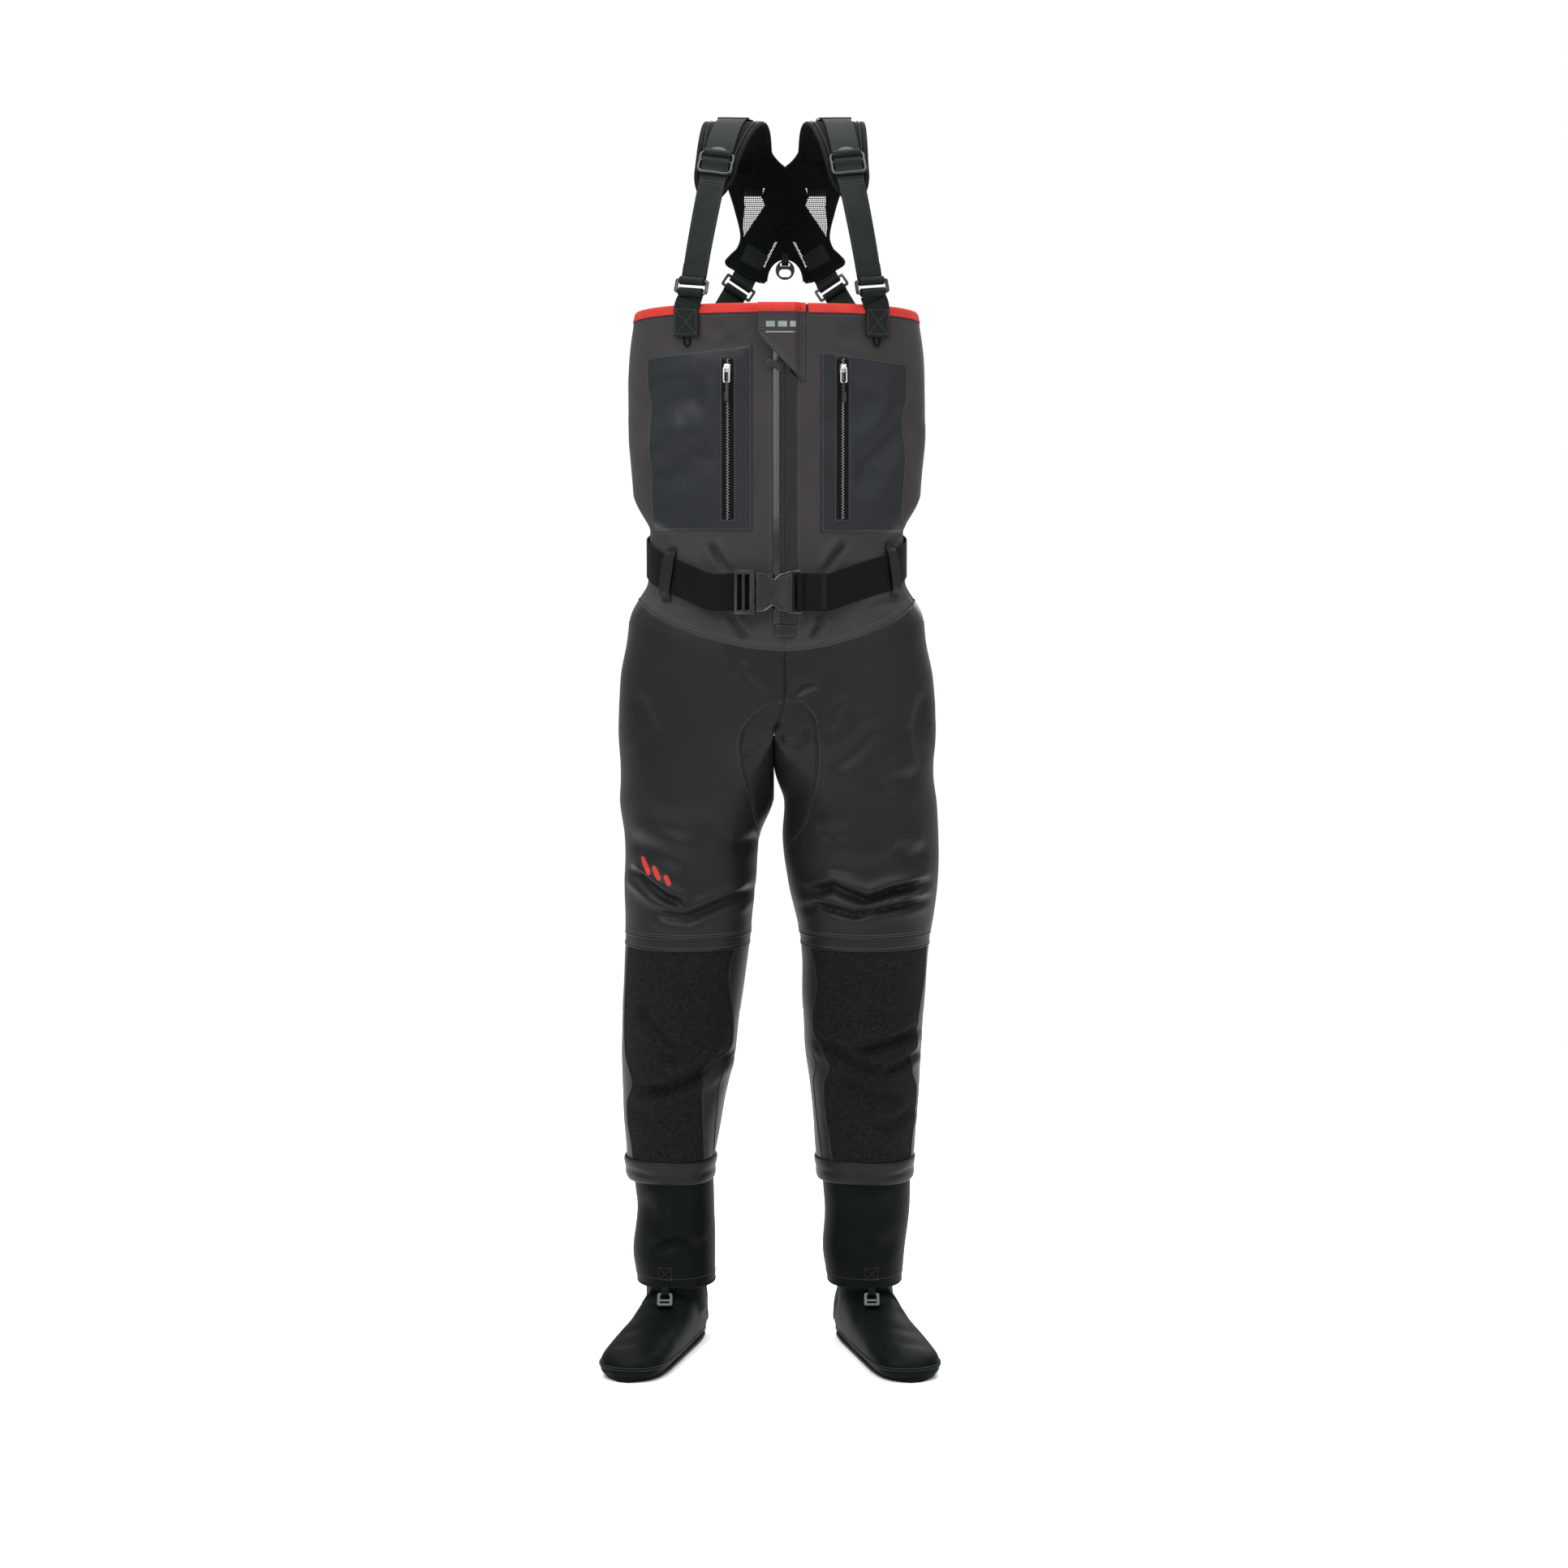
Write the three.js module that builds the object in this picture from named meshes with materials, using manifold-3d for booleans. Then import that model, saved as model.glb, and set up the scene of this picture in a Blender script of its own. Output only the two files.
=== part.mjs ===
// Chest waders with stockingfoot socks and a padded shoulder harness, standing as if worn.
// Millimetres. +X is the wearer's left, -Y is the front, +Z is up, and the soles stand on z = 0.
import * as THREE from "three";
import { mergeVertices } from "three/addons/utils/BufferGeometryUtils.js";
import Module from "manifold-3d";

const wasm = await Module();
wasm.setup();

// ---------------------------------------------------------------- driving dimensions
const CLEAR = 0.4; // gap between pieces that are sewn, glued or laid on each other
const WALL = 2.4; // laminate with its seam allowance
const NEOPRENE = 3.6; // sock and gravel guard wall

// Heights
const SOLE = 5; // sole sheet thickness
const GUARD_HEM = 87; // lower edge of the gravel guards
const CUFF_LOW = 220; // cuff band between the neoprene and the leg
const CUFF_HIGH = 252;
const INSEAM = 798; // sole to crotch
const KNEE_SEAM = 0.615; // share of the leg between cuff and crotch
const YOKE_SEAM = INSEAM + 187; // front end of the seam under the belt
const YOKE_SLOPE = 0.4; // the seam climbs towards the back
const BELT_FRONT = INSEAM + 265; // belt centre at the buckle
const BELT_RISE = 55; // how much higher the belt sits at the back
const CHEST_EDGE = INSEAM + 639; // top edge at the side seams
const EDGE_SLOPE = 0.075; // the top edge falls towards the back
const STRAP_HEIGHT = 1702; // top of the shoulder pads, for this torso
const SHOULDER = STRAP_HEIGHT - 1437; // the same, above the top edge

// Torso section
const TORSO_X = -7; // the body leans a little to the wearer's right
const SQUARENESS = 2.4; // exponent of the superellipse section
const CHEST_HALF = 202;
const WAIST_HALF = 200;
const HIP_HALF = 220;
const FRONT_DEPTH = 122;
const SIDE_CINCH = 0.12; // share of the width that the belt pulls in
const FRONT_CINCH = 0.012;

// Webbing and hardware
const WEBBING = 38; // shoulder webbing width
const WEBBING_THICK = 1.6;
const BELT = 50; // belt webbing width
const BELT_THICK = 1.8;
const BELT_STAND = 2.2; // belt above the laminate
const BAR = 3.6; // side of a buckle's square bar
const EYE_BORE = 2.8; // radius inside webbing turned round a bar
const EYE_WALL = 1.9;
const EYE_STAND = EYE_BORE + EYE_WALL / 2; // bar centre above the webbing's middle
const RUN = 0.5; // running clearance of moving hardware

// Zips
const ZIP_X = 4;
const ZIP_TOP = CHEST_EDGE - 20;
const ZIP_LOW = BELT_FRONT - 43;
const ZIP_TAPE = 31;
const ZIP_CHAIN = 11;
const CHAIN_HIGH = 3.2;
const TAPE_THICK = 1.3;
const SLIDER_REST = CHEST_EDGE - 42; // centre of the main slider when closed
const POCKET_TAPE = 15;
const POCKET_CHAIN = 4.6;
const POCKET_CHAIN_HIGH = 1.8;

// ---------------------------------------------------------------- colours
const paint = (color, roughness = 0.8, metalness = 0) =>
  new THREE.MeshStandardMaterial({ color, roughness, metalness });
const CHEST_CLOTH = paint(0x434041);
const LEG_CLOTH = paint(0x2b2e30);
const KNEE_CLOTH = paint(0x232620, 0.95);
const NEOPRENE_CLOTH = paint(0x141819, 0.75);
const BINDING = paint(0xe8342c, 0.7);
const WEB = paint(0x252b27);
const PAD = paint(0x171b1b, 0.9);
const PLASTIC = paint(0x1c1f1d, 0.45);
const ZIP_RUBBER = paint(0x2a2d2b, 0.3);
const METAL = paint(0xb9bcbb, 0.3, 1);

// ---------------------------------------------------------------- geometry helpers
const vec = (x, y, z) => new THREE.Vector3(x, y, z);
const mix = (a, b, t) => a + (b - a) * t;
const span = (a, b) => [Math.min(a, b), Math.max(a, b)];
const steps = (from, to, count) =>
  Array.from({ length: count + 1 }, (_, i) => mix(from, to, i / count));
const smooth = (t) => {
  const s = Math.min(1, Math.max(0, t));
  return s * s * (3 - 2 * s);
};

const ring = (count, pointAt) => Array.from({ length: count }, (_, i) => pointAt((2 * Math.PI * i) / count));

// A closed geometry, its faces turned outwards whichever way they were listed.
function closed(points, index) {
  let volume = 0;
  for (let i = 0; i < index.length; i += 3) {
    const [a, b, c] = [points[index[i]], points[index[i + 1]], points[index[i + 2]]];
    volume += a.dot(vec(0, 0, 0).crossVectors(b, c));
  }
  if (volume < 0) index.reverse();
  const geometry = new THREE.BufferGeometry().setFromPoints(points);
  geometry.setIndex(index);
  return geometry;
}

// A solid whose skin runs through rings of points, with a fan over each end.
function loft(rings) {
  const count = rings[0].length;
  const points = rings.flat();
  const index = [];
  for (let k = 0; k + 1 < rings.length; k++)
    for (let i = 0; i < count; i++) {
      const a = k * count + i;
      const b = k * count + ((i + 1) % count);
      index.push(a, b, b + count, a, b + count, a + count);
    }
  for (const last of [false, true]) {
    const base = last ? (rings.length - 1) * count : 0;
    const middle = vec(0, 0, 0);
    for (let i = 0; i < count; i++) middle.addScaledVector(points[base + i], 1 / count);
    points.push(middle);
    for (let i = 0; i < count; i++) {
      const pair = [base + i, base + ((i + 1) % count)];
      if (!last) pair.reverse();
      index.push(points.length - 1, ...pair);
    }
  }
  return closed(points, index);
}

// A solid between two grids of points, lower[row][column] and upper[row][column].
function slab(lower, upper) {
  const rows = lower.length;
  const columns = lower[0].length;
  const points = [...lower.flat(), ...upper.flat()];
  const at = (side, r, c) => side * rows * columns + r * columns + c;
  const index = [];
  const quad = (a, b, c, d) => index.push(a, b, c, a, c, d);
  for (let r = 0; r + 1 < rows; r++)
    for (let c = 0; c + 1 < columns; c++) {
      quad(at(1, r, c), at(1, r, c + 1), at(1, r + 1, c + 1), at(1, r + 1, c));
      quad(at(0, r, c), at(0, r + 1, c), at(0, r + 1, c + 1), at(0, r, c + 1));
    }
  for (let r = 0; r + 1 < rows; r++) {
    quad(at(0, r, 0), at(1, r, 0), at(1, r + 1, 0), at(0, r + 1, 0));
    quad(at(0, r, columns - 1), at(0, r + 1, columns - 1), at(1, r + 1, columns - 1), at(1, r, columns - 1));
  }
  for (let c = 0; c + 1 < columns; c++) {
    quad(at(0, 0, c), at(0, 0, c + 1), at(1, 0, c + 1), at(1, 0, c));
    quad(at(0, rows - 1, c), at(1, rows - 1, c), at(1, rows - 1, c + 1), at(0, rows - 1, c + 1));
  }
  return closed(points, index);
}

// A flat strip along a path. across(i) is the direction of its width there, and width may vary with i.
function ribbon(path, across, width, thick) {
  const wide = typeof width === "function" ? width : () => width;
  const lower = [];
  const upper = [];
  path.forEach((point, i) => {
    const ahead = path[Math.min(i + 1, path.length - 1)];
    const along = ahead.clone().sub(path[Math.max(i - 1, 0)]);
    const side = across(i).clone().normalize();
    const face = along.cross(side).normalize();
    const row = (h) => [-1, 1].map((s) => point.clone().addScaledVector(side, (s * wide(i)) / 2).addScaledVector(face, h));
    lower.push(row(-thick / 2));
    upper.push(row(thick / 2));
  });
  return manifold(slab(lower, upper));
}

// A round cord along a path.
function cord(path, radius, sides = 8) {
  const rings = path.map((point, i) => {
    const along = path[Math.min(i + 1, path.length - 1)].clone().sub(path[Math.max(i - 1, 0)]).normalize();
    const out = vec(0, 1, 0.2).cross(along).normalize();
    const up = along.clone().cross(out);
    return ring(sides, (a) =>
      point.clone().addScaledVector(out, radius * Math.cos(a)).addScaledVector(up, radius * Math.sin(a)),
    );
  });
  return manifold(loft(rings));
}

function manifold(geometry) {
  const bare = geometry.index ? geometry.toNonIndexed() : geometry.clone();
  for (const name of Object.keys(bare.attributes)) if (name !== "position") bare.deleteAttribute(name);
  const merged = mergeVertices(bare, 1e-4);
  const triVerts = new Uint32Array(merged.index.array);
  return new wasm.Manifold(new wasm.Mesh({ numProp: 3, vertProperties: merged.attributes.position.array, triVerts }));
}

function geometryOf(solid) {
  const mesh = solid.getMesh();
  const geometry = new THREE.BufferGeometry();
  geometry.setAttribute("position", new THREE.BufferAttribute(mesh.vertProperties, 3));
  geometry.setIndex(new THREE.BufferAttribute(mesh.triVerts, 1));
  return geometry;
}

const union = (first, ...rest) => rest.reduce((sum, s) => sum.add(s), first);

// A box from its low and high corners, as a manifold.
function box(low, high) {
  const size = vec(...high).sub(vec(...low));
  const centre = vec(...high).add(vec(...low)).multiplyScalar(0.5);
  return manifold(new THREE.BoxGeometry(size.x, size.y, size.z).translate(centre.x, centre.y, centre.z));
}

// The space above or below a plane that crosses the Z axis at height z and climbs with y by slope.
const FAR = 4000;
function halfSpace(z, slope, above) {
  const block = new THREE.BoxGeometry(FAR, FAR, FAR).translate(0, 0, above ? FAR / 2 : -FAR / 2);
  return manifold(block.rotateX(Math.atan(slope)).translate(0, 0, z));
}

// A rod between two points.
function rod(from, to, radius, sides = 14) {
  const along = to.clone().sub(from);
  const turn = new THREE.Quaternion().setFromUnitVectors(vec(0, 1, 0), along.clone().normalize());
  const middle = from.clone().add(to).multiplyScalar(0.5);
  const geometry = new THREE.CylinderGeometry(radius, radius, along.length(), sides).applyQuaternion(turn);
  return manifold(geometry.translate(middle.x, middle.y, middle.z));
}

// Webbing turned round a bar: a ring of its width along the bar.
function eye(centre, axis, width) {
  const half = axis.clone().normalize().multiplyScalar(width / 2);
  const inner = EYE_BORE;
  const over = half.clone().multiplyScalar(1.2);
  const tube = rod(centre.clone().sub(half), centre.clone().add(half), inner + EYE_WALL, 12);
  return tube.subtract(rod(centre.clone().sub(over), centre.clone().add(over), inner, 12));
}

// Plates are drawn in their own X (across) and Y (along the strap), and extruded through Z (outwards).
function roundedOutline(width, height, radius, Kind = THREE.Shape, x = 0, y = 0) {
  const [w, h] = [width / 2, height / 2];
  const outline = new Kind();
  outline.moveTo(x - w + radius, y - h);
  outline.lineTo(x + w - radius, y - h);
  outline.absarc(x + w - radius, y - h + radius, radius, -Math.PI / 2, 0, false);
  outline.lineTo(x + w, y + h - radius);
  outline.absarc(x + w - radius, y + h - radius, radius, 0, Math.PI / 2, false);
  outline.lineTo(x - w + radius, y + h);
  outline.absarc(x - w + radius, y + h - radius, radius, Math.PI / 2, Math.PI, false);
  outline.lineTo(x - w, y - h + radius);
  outline.absarc(x - w + radius, y - h + radius, radius, Math.PI, 1.5 * Math.PI, false);
  return outline;
}

function plate(outline, low, high, curveSegments = 4) {
  const geometry = new THREE.ExtrudeGeometry(outline, { depth: high - low, bevelEnabled: false, curveSegments });
  return manifold(geometry.translate(0, 0, low));
}

// Puts a plate's X, Y and Z along across, along and out at a place.
function placed(solid, origin, across, along) {
  const x = across.clone().normalize();
  const out = x.clone().cross(along).normalize();
  const y = out.clone().cross(x);
  const matrix = new THREE.Matrix4().makeBasis(x, y, out).setPosition(origin);
  return manifold(geometryOf(solid).applyMatrix4(matrix));
}

// ---------------------------------------------------------------- the assembly
const waders = new THREE.Group();
function add(name, solid, material) {
  const geometry = solid.isBufferGeometry ? solid : geometryOf(solid);
  geometry.computeVertexNormals();
  const mesh = new THREE.Mesh(geometry, material);
  mesh.name = name;
  waders.add(mesh);
}

// ---------------------------------------------------------------- torso
// Rows of [height, half width, front depth, back depth].
const TORSO = [
  [INSEAM - 20, HIP_HALF, 112, 128],
  [INSEAM + 60, HIP_HALF, 119, 138],
  [INSEAM + 140, HIP_HALF - 4, FRONT_DEPTH, 134],
  [INSEAM + 200, WAIST_HALF + 5, FRONT_DEPTH, 122],
  [INSEAM + 300, WAIST_HALF, FRONT_DEPTH, 110],
  [INSEAM + 380, WAIST_HALF - 3, FRONT_DEPTH, 114],
  [INSEAM + 470, CHEST_HALF, FRONT_DEPTH, 120],
  [CHEST_EDGE - 70, CHEST_HALF, FRONT_DEPTH, 120],
  [CHEST_EDGE - 10, CHEST_HALF - 7, FRONT_DEPTH, 116],
  [CHEST_EDGE + 30, CHEST_HALF - 16, FRONT_DEPTH - 1, 112],
];

// The values of a table at a height, by cubic pieces whose slopes are those of the neighbouring rows.
function profile(table, z) {
  const last = table.length - 1;
  const k = Math.min(last - 1, Math.max(0, table.findIndex((row, i) => i < last && z < table[i + 1][0])));
  const i = z >= table[last][0] ? last - 1 : k;
  const [a, b] = [table[i], table[i + 1]];
  const before = table[Math.max(i - 1, 0)];
  const after = table[Math.min(i + 2, last)];
  const span = b[0] - a[0];
  const t = Math.min(1.4, Math.max(-0.4, (z - a[0]) / span));
  return a.slice(1).map((value, c) => {
    const slopeA = ((b[c + 1] - before[c + 1]) / (b[0] - before[0])) * span;
    const slopeB = ((after[c + 1] - value) / (after[0] - a[0])) * span;
    const [t2, t3] = [t * t, t * t * t];
    return (2 * t3 - 3 * t2 + 1) * value + (t3 - 2 * t2 + t) * slopeA + (3 * t2 - 2 * t3) * b[c + 1] + (t3 - t2) * slopeB;
  });
}

// The belt's centre height round the body. The angle is -90 degrees at the front.
function beltLine(angle) {
  const back = (1 + Math.sin(angle)) / 2;
  return BELT_FRONT + BELT_RISE * (1 - (1 - back) ** 2.5);
}

// 1 under the belt, falling to 0 where the cloth is free again.
const CINCH_FLAT = BELT / 2 + 8;
const CINCH_FADE = 54;
const cinch = (dz) => 1 - smooth((Math.abs(dz) - CINCH_FLAT) / CINCH_FADE);

// A point of the torso at an angle and a height, h outside the laminate's outer face.
function torsoPoint(angle, z, h = 0) {
  const [half, front, back] = profile(TORSO, z);
  const [c, s] = [Math.cos(angle), Math.sin(angle)];
  const power = 2 / SQUARENESS;
  const nip = cinch(z - beltLine(angle));
  const a = half * (1 - SIDE_CINCH * nip);
  const b = (s < 0 ? front : back) * (1 - FRONT_CINCH * nip);
  const raised = (value, p) => Math.sign(value) * Math.abs(value) ** p;
  const normal = vec(raised(c, 2 - power) / a, raised(s, 2 - power) / b, 0).normalize();
  return vec(TORSO_X + a * raised(c, power), b * raised(s, power), z).addScaledVector(normal, h);
}

// The angle at which the torso's front or back face has this x.
function torsoAngle(x, z, side = -1) {
  let angle = (side * Math.PI) / 2;
  for (let turn = 0; turn < 4; turn++) {
    const half = profile(TORSO, z)[0] * (1 - SIDE_CINCH * cinch(z - beltLine(angle)));
    const share = Math.min(1, Math.abs(x - TORSO_X) / half) ** (SQUARENESS / 2) * Math.sign(x - TORSO_X);
    angle = side * Math.acos(share);
  }
  return angle;
}
const front = (x, z, h) => torsoPoint(torsoAngle(x, z, -1), z, h);
const rear = (x, z, h) => torsoPoint(torsoAngle(x, z, 1), z, h);

// Direction of growing x along the front or back face.
const frontAcross = (x, z) => front(x + 8, z, 0).sub(front(x - 8, z, 0)).normalize();
const rearAcross = (x, z) => rear(x + 8, z, 0).sub(rear(x - 8, z, 0)).normalize();

const TORSO_SIDES = 28;
const TORSO_HEIGHTS = [
  ...steps(INSEAM - 16, YOKE_SEAM - 5, 4),
  ...steps(BELT_FRONT - 55, BELT_FRONT + 145, 8),
  ...steps(BELT_FRONT + 210, CHEST_EDGE + 24, 3),
];
const torso = (h) =>
  manifold(
    loft(TORSO_HEIGHTS.map((z, row) => ring(TORSO_SIDES, (angle) => torsoPoint(angle, row ? z : z - h, h)))),
  );

// ---------------------------------------------------------------- legs
const SIDES = ["right", "left"];
const SIGN = { right: -1, left: 1 };
const LEG_TOP = 1.14; // share of the leg length where the leg's loft ends, inside the hips

// Rows of [share of the way from cuff to crotch, centre x, half width, centre y, half depth].
const LEGS = {
  right: [
    [-0.06, -154, 57, 16, 62],
    [0, -157, 61, 15, 67],
    [0.16, -152, 71, 11, 77],
    [0.3, -145, 80, 2, 83],
    [0.42, -140, 82, -6, 85],
    [0.6, -131, 87, -5, 93],
    [0.74, -127, 91, 0, 101],
    [0.86, -125, 94, 4, 107],
    [0.94, -119, 106, 7, 113],
    [1, -115, 108, 8, 118],
    [LEG_TOP, -113, 105, 8, 121],
  ],
  left: [
    [-0.06, 119, 63, 16, 62],
    [0, 117, 67, 15, 67],
    [0.16, 117, 75, 11, 77],
    [0.3, 114, 81, 2, 83],
    [0.42, 114, 85, -6, 85],
    [0.6, 116, 90, -5, 93],
    [0.74, 113, 104, 0, 101],
    [0.86, 109, 108, 4, 107],
    [0.94, 109, 106, 7, 113],
    [1, 106, 105, 8, 118],
    [LEG_TOP, 101, 104, 8, 121],
  ],
};
const GUARD = {
  right: [[GUARD_HEM, -149, 55, 12, 60], [130, -152, 58, 15, 62], [190, -150, 55, 16, 61], [CUFF_HIGH, -154, 57, 16, 62]],
  left: [[GUARD_HEM, 117, 52, 12, 59], [130, 116, 58, 15, 62], [190, 120, 60, 16, 62], [CUFF_HIGH, 119, 63, 16, 63]],
};
const legHeight = (share) => mix(CUFF_HIGH, INSEAM, share);

function tube(table, heights, sides, h, heightOf = (z) => z) {
  return manifold(
    loft(
      heights.map((t) => {
        const [x, half, y, deep] = profile(table, t);
        return ring(sides, (a) => vec(x + (half + h) * Math.cos(a), y + (deep + h) * Math.sin(a), heightOf(t)));
      }),
    ),
  );
}
const LEG_SIDES = 16;
const leg = (side, h) => tube(LEGS[side], [...steps(-0.06, 0.88, 9), ...steps(0.94, LEG_TOP, 2)], LEG_SIDES, h, legHeight);

// ---------------------------------------------------------------- the laminate shell and its panels
const skinOut = union(torso(0), leg("right", 0), leg("left", 0));
const skinIn = union(torso(-WALL), leg("right", -WALL), leg("left", -WALL));
const shell = skinOut.subtract(skinIn);

const belowYokeSeam = halfSpace(YOKE_SEAM + FRONT_DEPTH * YOKE_SLOPE - CLEAR / 2, YOKE_SLOPE, false);
const aboveYokeSeam = halfSpace(YOKE_SEAM + FRONT_DEPTH * YOKE_SLOPE + CLEAR / 2, YOKE_SLOPE, true);
const below = (z, slope = 0) => halfSpace(z, slope, false);
const above = (z, slope = 0) => halfSpace(z, slope, true);
const kneeZ = legHeight(KNEE_SEAM);

function chestPanels() {
  const chest = shell.intersect(aboveYokeSeam).intersect(below(CHEST_EDGE, -EDGE_SLOPE));
  const zipSlot = box([ZIP_X - ZIP_TAPE / 2 + 4, -FAR / 8, ZIP_LOW + 3], [ZIP_X + ZIP_TAPE / 2 - 4, 0, FAR / 2]);
  const seam = CLEAR / 2;
  const frontHalf = chest.intersect(box([-FAR, -FAR, 0], [FAR, -seam, FAR])).subtract(zipSlot);
  add("chest_front_right", frontHalf.intersect(box([-FAR, -FAR, 0], [ZIP_X - seam, 0, FAR])), CHEST_CLOTH);
  add("chest_front_left", frontHalf.intersect(box([ZIP_X + seam, -FAR, 0], [FAR, 0, FAR])), CHEST_CLOTH);
  add("chest_back", chest.intersect(box([-FAR, seam, 0], [FAR, FAR, FAR])), CHEST_CLOTH);
}

// The gusset is the part of the hips inside a pointed arch that runs from front to back.
const CROTCH_X = -11; // where the legs part
const GUSSET_X = -2;
const GUSSET_HALF = 47;
const GUSSET_TOP = INSEAM + 114;
const GUSSET_LOW = INSEAM - 95;
function arch(grow) {
  const outline = new THREE.Shape();
  const half = GUSSET_HALF + grow;
  outline.moveTo(CROTCH_X - half + 20, GUSSET_LOW - grow);
  outline.lineTo(CROTCH_X + half - 20, GUSSET_LOW - grow);
  outline.lineTo(GUSSET_X + half, INSEAM + 25);
  outline.quadraticCurveTo(GUSSET_X + half - 4, GUSSET_TOP - 14, GUSSET_X, GUSSET_TOP + grow);
  outline.quadraticCurveTo(GUSSET_X - half + 4, GUSSET_TOP - 14, GUSSET_X - half, INSEAM + 25);
  const geometry = new THREE.ExtrudeGeometry(outline, { depth: 400, bevelEnabled: false, curveSegments: 5 });
  return manifold(geometry.rotateX(Math.PI / 2).translate(0, 200, 0));
}

function legPanels() {
  const trousers = shell.intersect(belowYokeSeam);
  const aboveKnee = trousers.intersect(above(kneeZ + CLEAR / 2));
  const belowKnee = trousers.intersect(below(kneeZ - CLEAR / 2)).intersect(above(CUFF_HIGH + CLEAR));
  add("crotch_gusset", aboveKnee.intersect(arch(-CLEAR / 2)), LEG_CLOTH);
  const thighs = aboveKnee.subtract(arch(CLEAR / 2));
  for (const side of SIDES) {
    const reach = SIGN[side] * FAR;
    const near = CROTCH_X + (SIGN[side] * CLEAR) / 2;
    const half = box([Math.min(near, reach), -FAR, 0], [Math.max(near, reach), FAR, FAR]);
    add(`${side}_thigh`, thighs.intersect(half), LEG_CLOTH);
    const shin = belowKnee.intersect(half);
    add(`${side}_knee_panel`, shin.intersect(box([-FAR, -FAR, 0], [FAR, -CLEAR / 2, FAR])), KNEE_CLOTH);
    add(`${side}_calf_panel`, shin.intersect(box([-FAR, CLEAR / 2, 0], [FAR, FAR, FAR])), LEG_CLOTH);
  }
}

// ---------------------------------------------------------------- socks, soles, guards and cuff bands
const SOCK_INSET = 12; // sock ankle inside the gravel guard's outer face
const TOE_OUT = THREE.MathUtils.degToRad(17);
// Rows of [distance ahead of the ankle, half width, top height].
const FOOT = [
  [-64, 9, 34],
  [-56, 24, 58],
  [-38, 34, 84],
  [-4, 39, 96],
  [36, 41, 84],
  [80, 43, 64],
  [122, 45, 54],
  [162, 46, 45],
  [196, 43, 38],
  [215, 32, 32],
  [225, 14, 24],
];
const footForward = (side) => vec(SIGN[side] * Math.sin(TOE_OUT), -Math.cos(TOE_OUT), 0);
const footAcross = (side) => vec(Math.cos(TOE_OUT), SIGN[side] * Math.sin(TOE_OUT), 0);
const ankle = (side) => {
  const [x, , y] = profile(GUARD[side], GUARD_HEM);
  return vec(x, y, 0);
};

function foot(side, h) {
  const rows = FOOT.map(([ahead, half, top]) => {
    const middle = 0.45 * top;
    const moved = ahead * (1 + h / 140);
    const centre = ankle(side).addScaledVector(footForward(side), moved);
    return ring(14, (a) => {
      const across = (half + h) * Math.sign(Math.cos(a)) * Math.abs(Math.cos(a)) ** 0.8;
      const up = (Math.sin(a) < 0 ? middle + 7 : top - middle + h) * Math.sign(Math.sin(a)) * Math.abs(Math.sin(a)) ** 0.8;
      return centre.clone().addScaledVector(footAcross(side), across).add(vec(0, 0, middle + up));
    });
  });
  return manifold(loft(rows));
}

const UNDER_BAND = CUFF_LOW - CLEAR;
const GUARD_STEPS = [GUARD_HEM, 108, 130, 160, 190, UNDER_BAND];

function feet() {
  for (const side of SIDES) {
    const shaft = (h, low, high) => tube(GUARD[side], [low, 130, 190, high], LEG_SIDES, h - SOCK_INSET);
    const outer = union(foot(side, 0), shaft(0, 55, UNDER_BAND));
    const inner = union(foot(side, -NEOPRENE), shaft(-NEOPRENE, 58, CUFF_HIGH));
    const grounded = outer.intersect(above(0));
    add(`${side}_sole`, foot(side, 0).intersect(above(0)).intersect(below(SOLE)), NEOPRENE_CLOTH);
    add(`${side}_sock`, grounded.intersect(above(SOLE + CLEAR)).subtract(inner), NEOPRENE_CLOTH);

    const guard = tube(GUARD[side], GUARD_STEPS, LEG_SIDES, 0).subtract(
      tube(GUARD[side], [GUARD_HEM - 5, ...GUARD_STEPS.slice(1, -1), CUFF_HIGH], LEG_SIDES, -NEOPRENE),
    );
    add(`${side}_gravel_guard`, union(guard, hookTab(side)), NEOPRENE_CLOTH);

    const band = (h) => tube(LEGS[side], steps(-0.06, 0.005, 4), LEG_SIDES, h, legHeight);
    const bandOut = band(4).intersect(above(CUFF_LOW)).intersect(below(CUFF_HIGH));
    const bore = tube(GUARD[side], [CUFF_LOW - 20, CUFF_HIGH + 20], LEG_SIDES, -SOCK_INSET - NEOPRENE);
    add(`${side}_cuff_band`, bandOut.subtract(bore), LEG_CLOTH);
  }
}

// ---------------------------------------------------------------- gravel guard hooks
const HOOK_WIDE = 21;
const HOOK_LONG = 20;
const HOOK_THICK = 3.6;
const HOOK_SLOPE = THREE.MathUtils.degToRad(43); // the hook lies along the instep
const HOOK_OFFSET = -14; // each elastic is sewn towards the toe's side of the shin
function hookPlace(side) {
  const [x, , y, deep] = profile(GUARD[side], GUARD_HEM);
  const origin = vec(x + (side === "right" ? HOOK_OFFSET : -HOOK_OFFSET * 0.6), y - deep - 5.5, GUARD_HEM - 5);
  return { origin, across: vec(1, 0, 0), down: vec(0, -Math.sin(HOOK_SLOPE), -Math.cos(HOOK_SLOPE)) };
}

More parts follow.
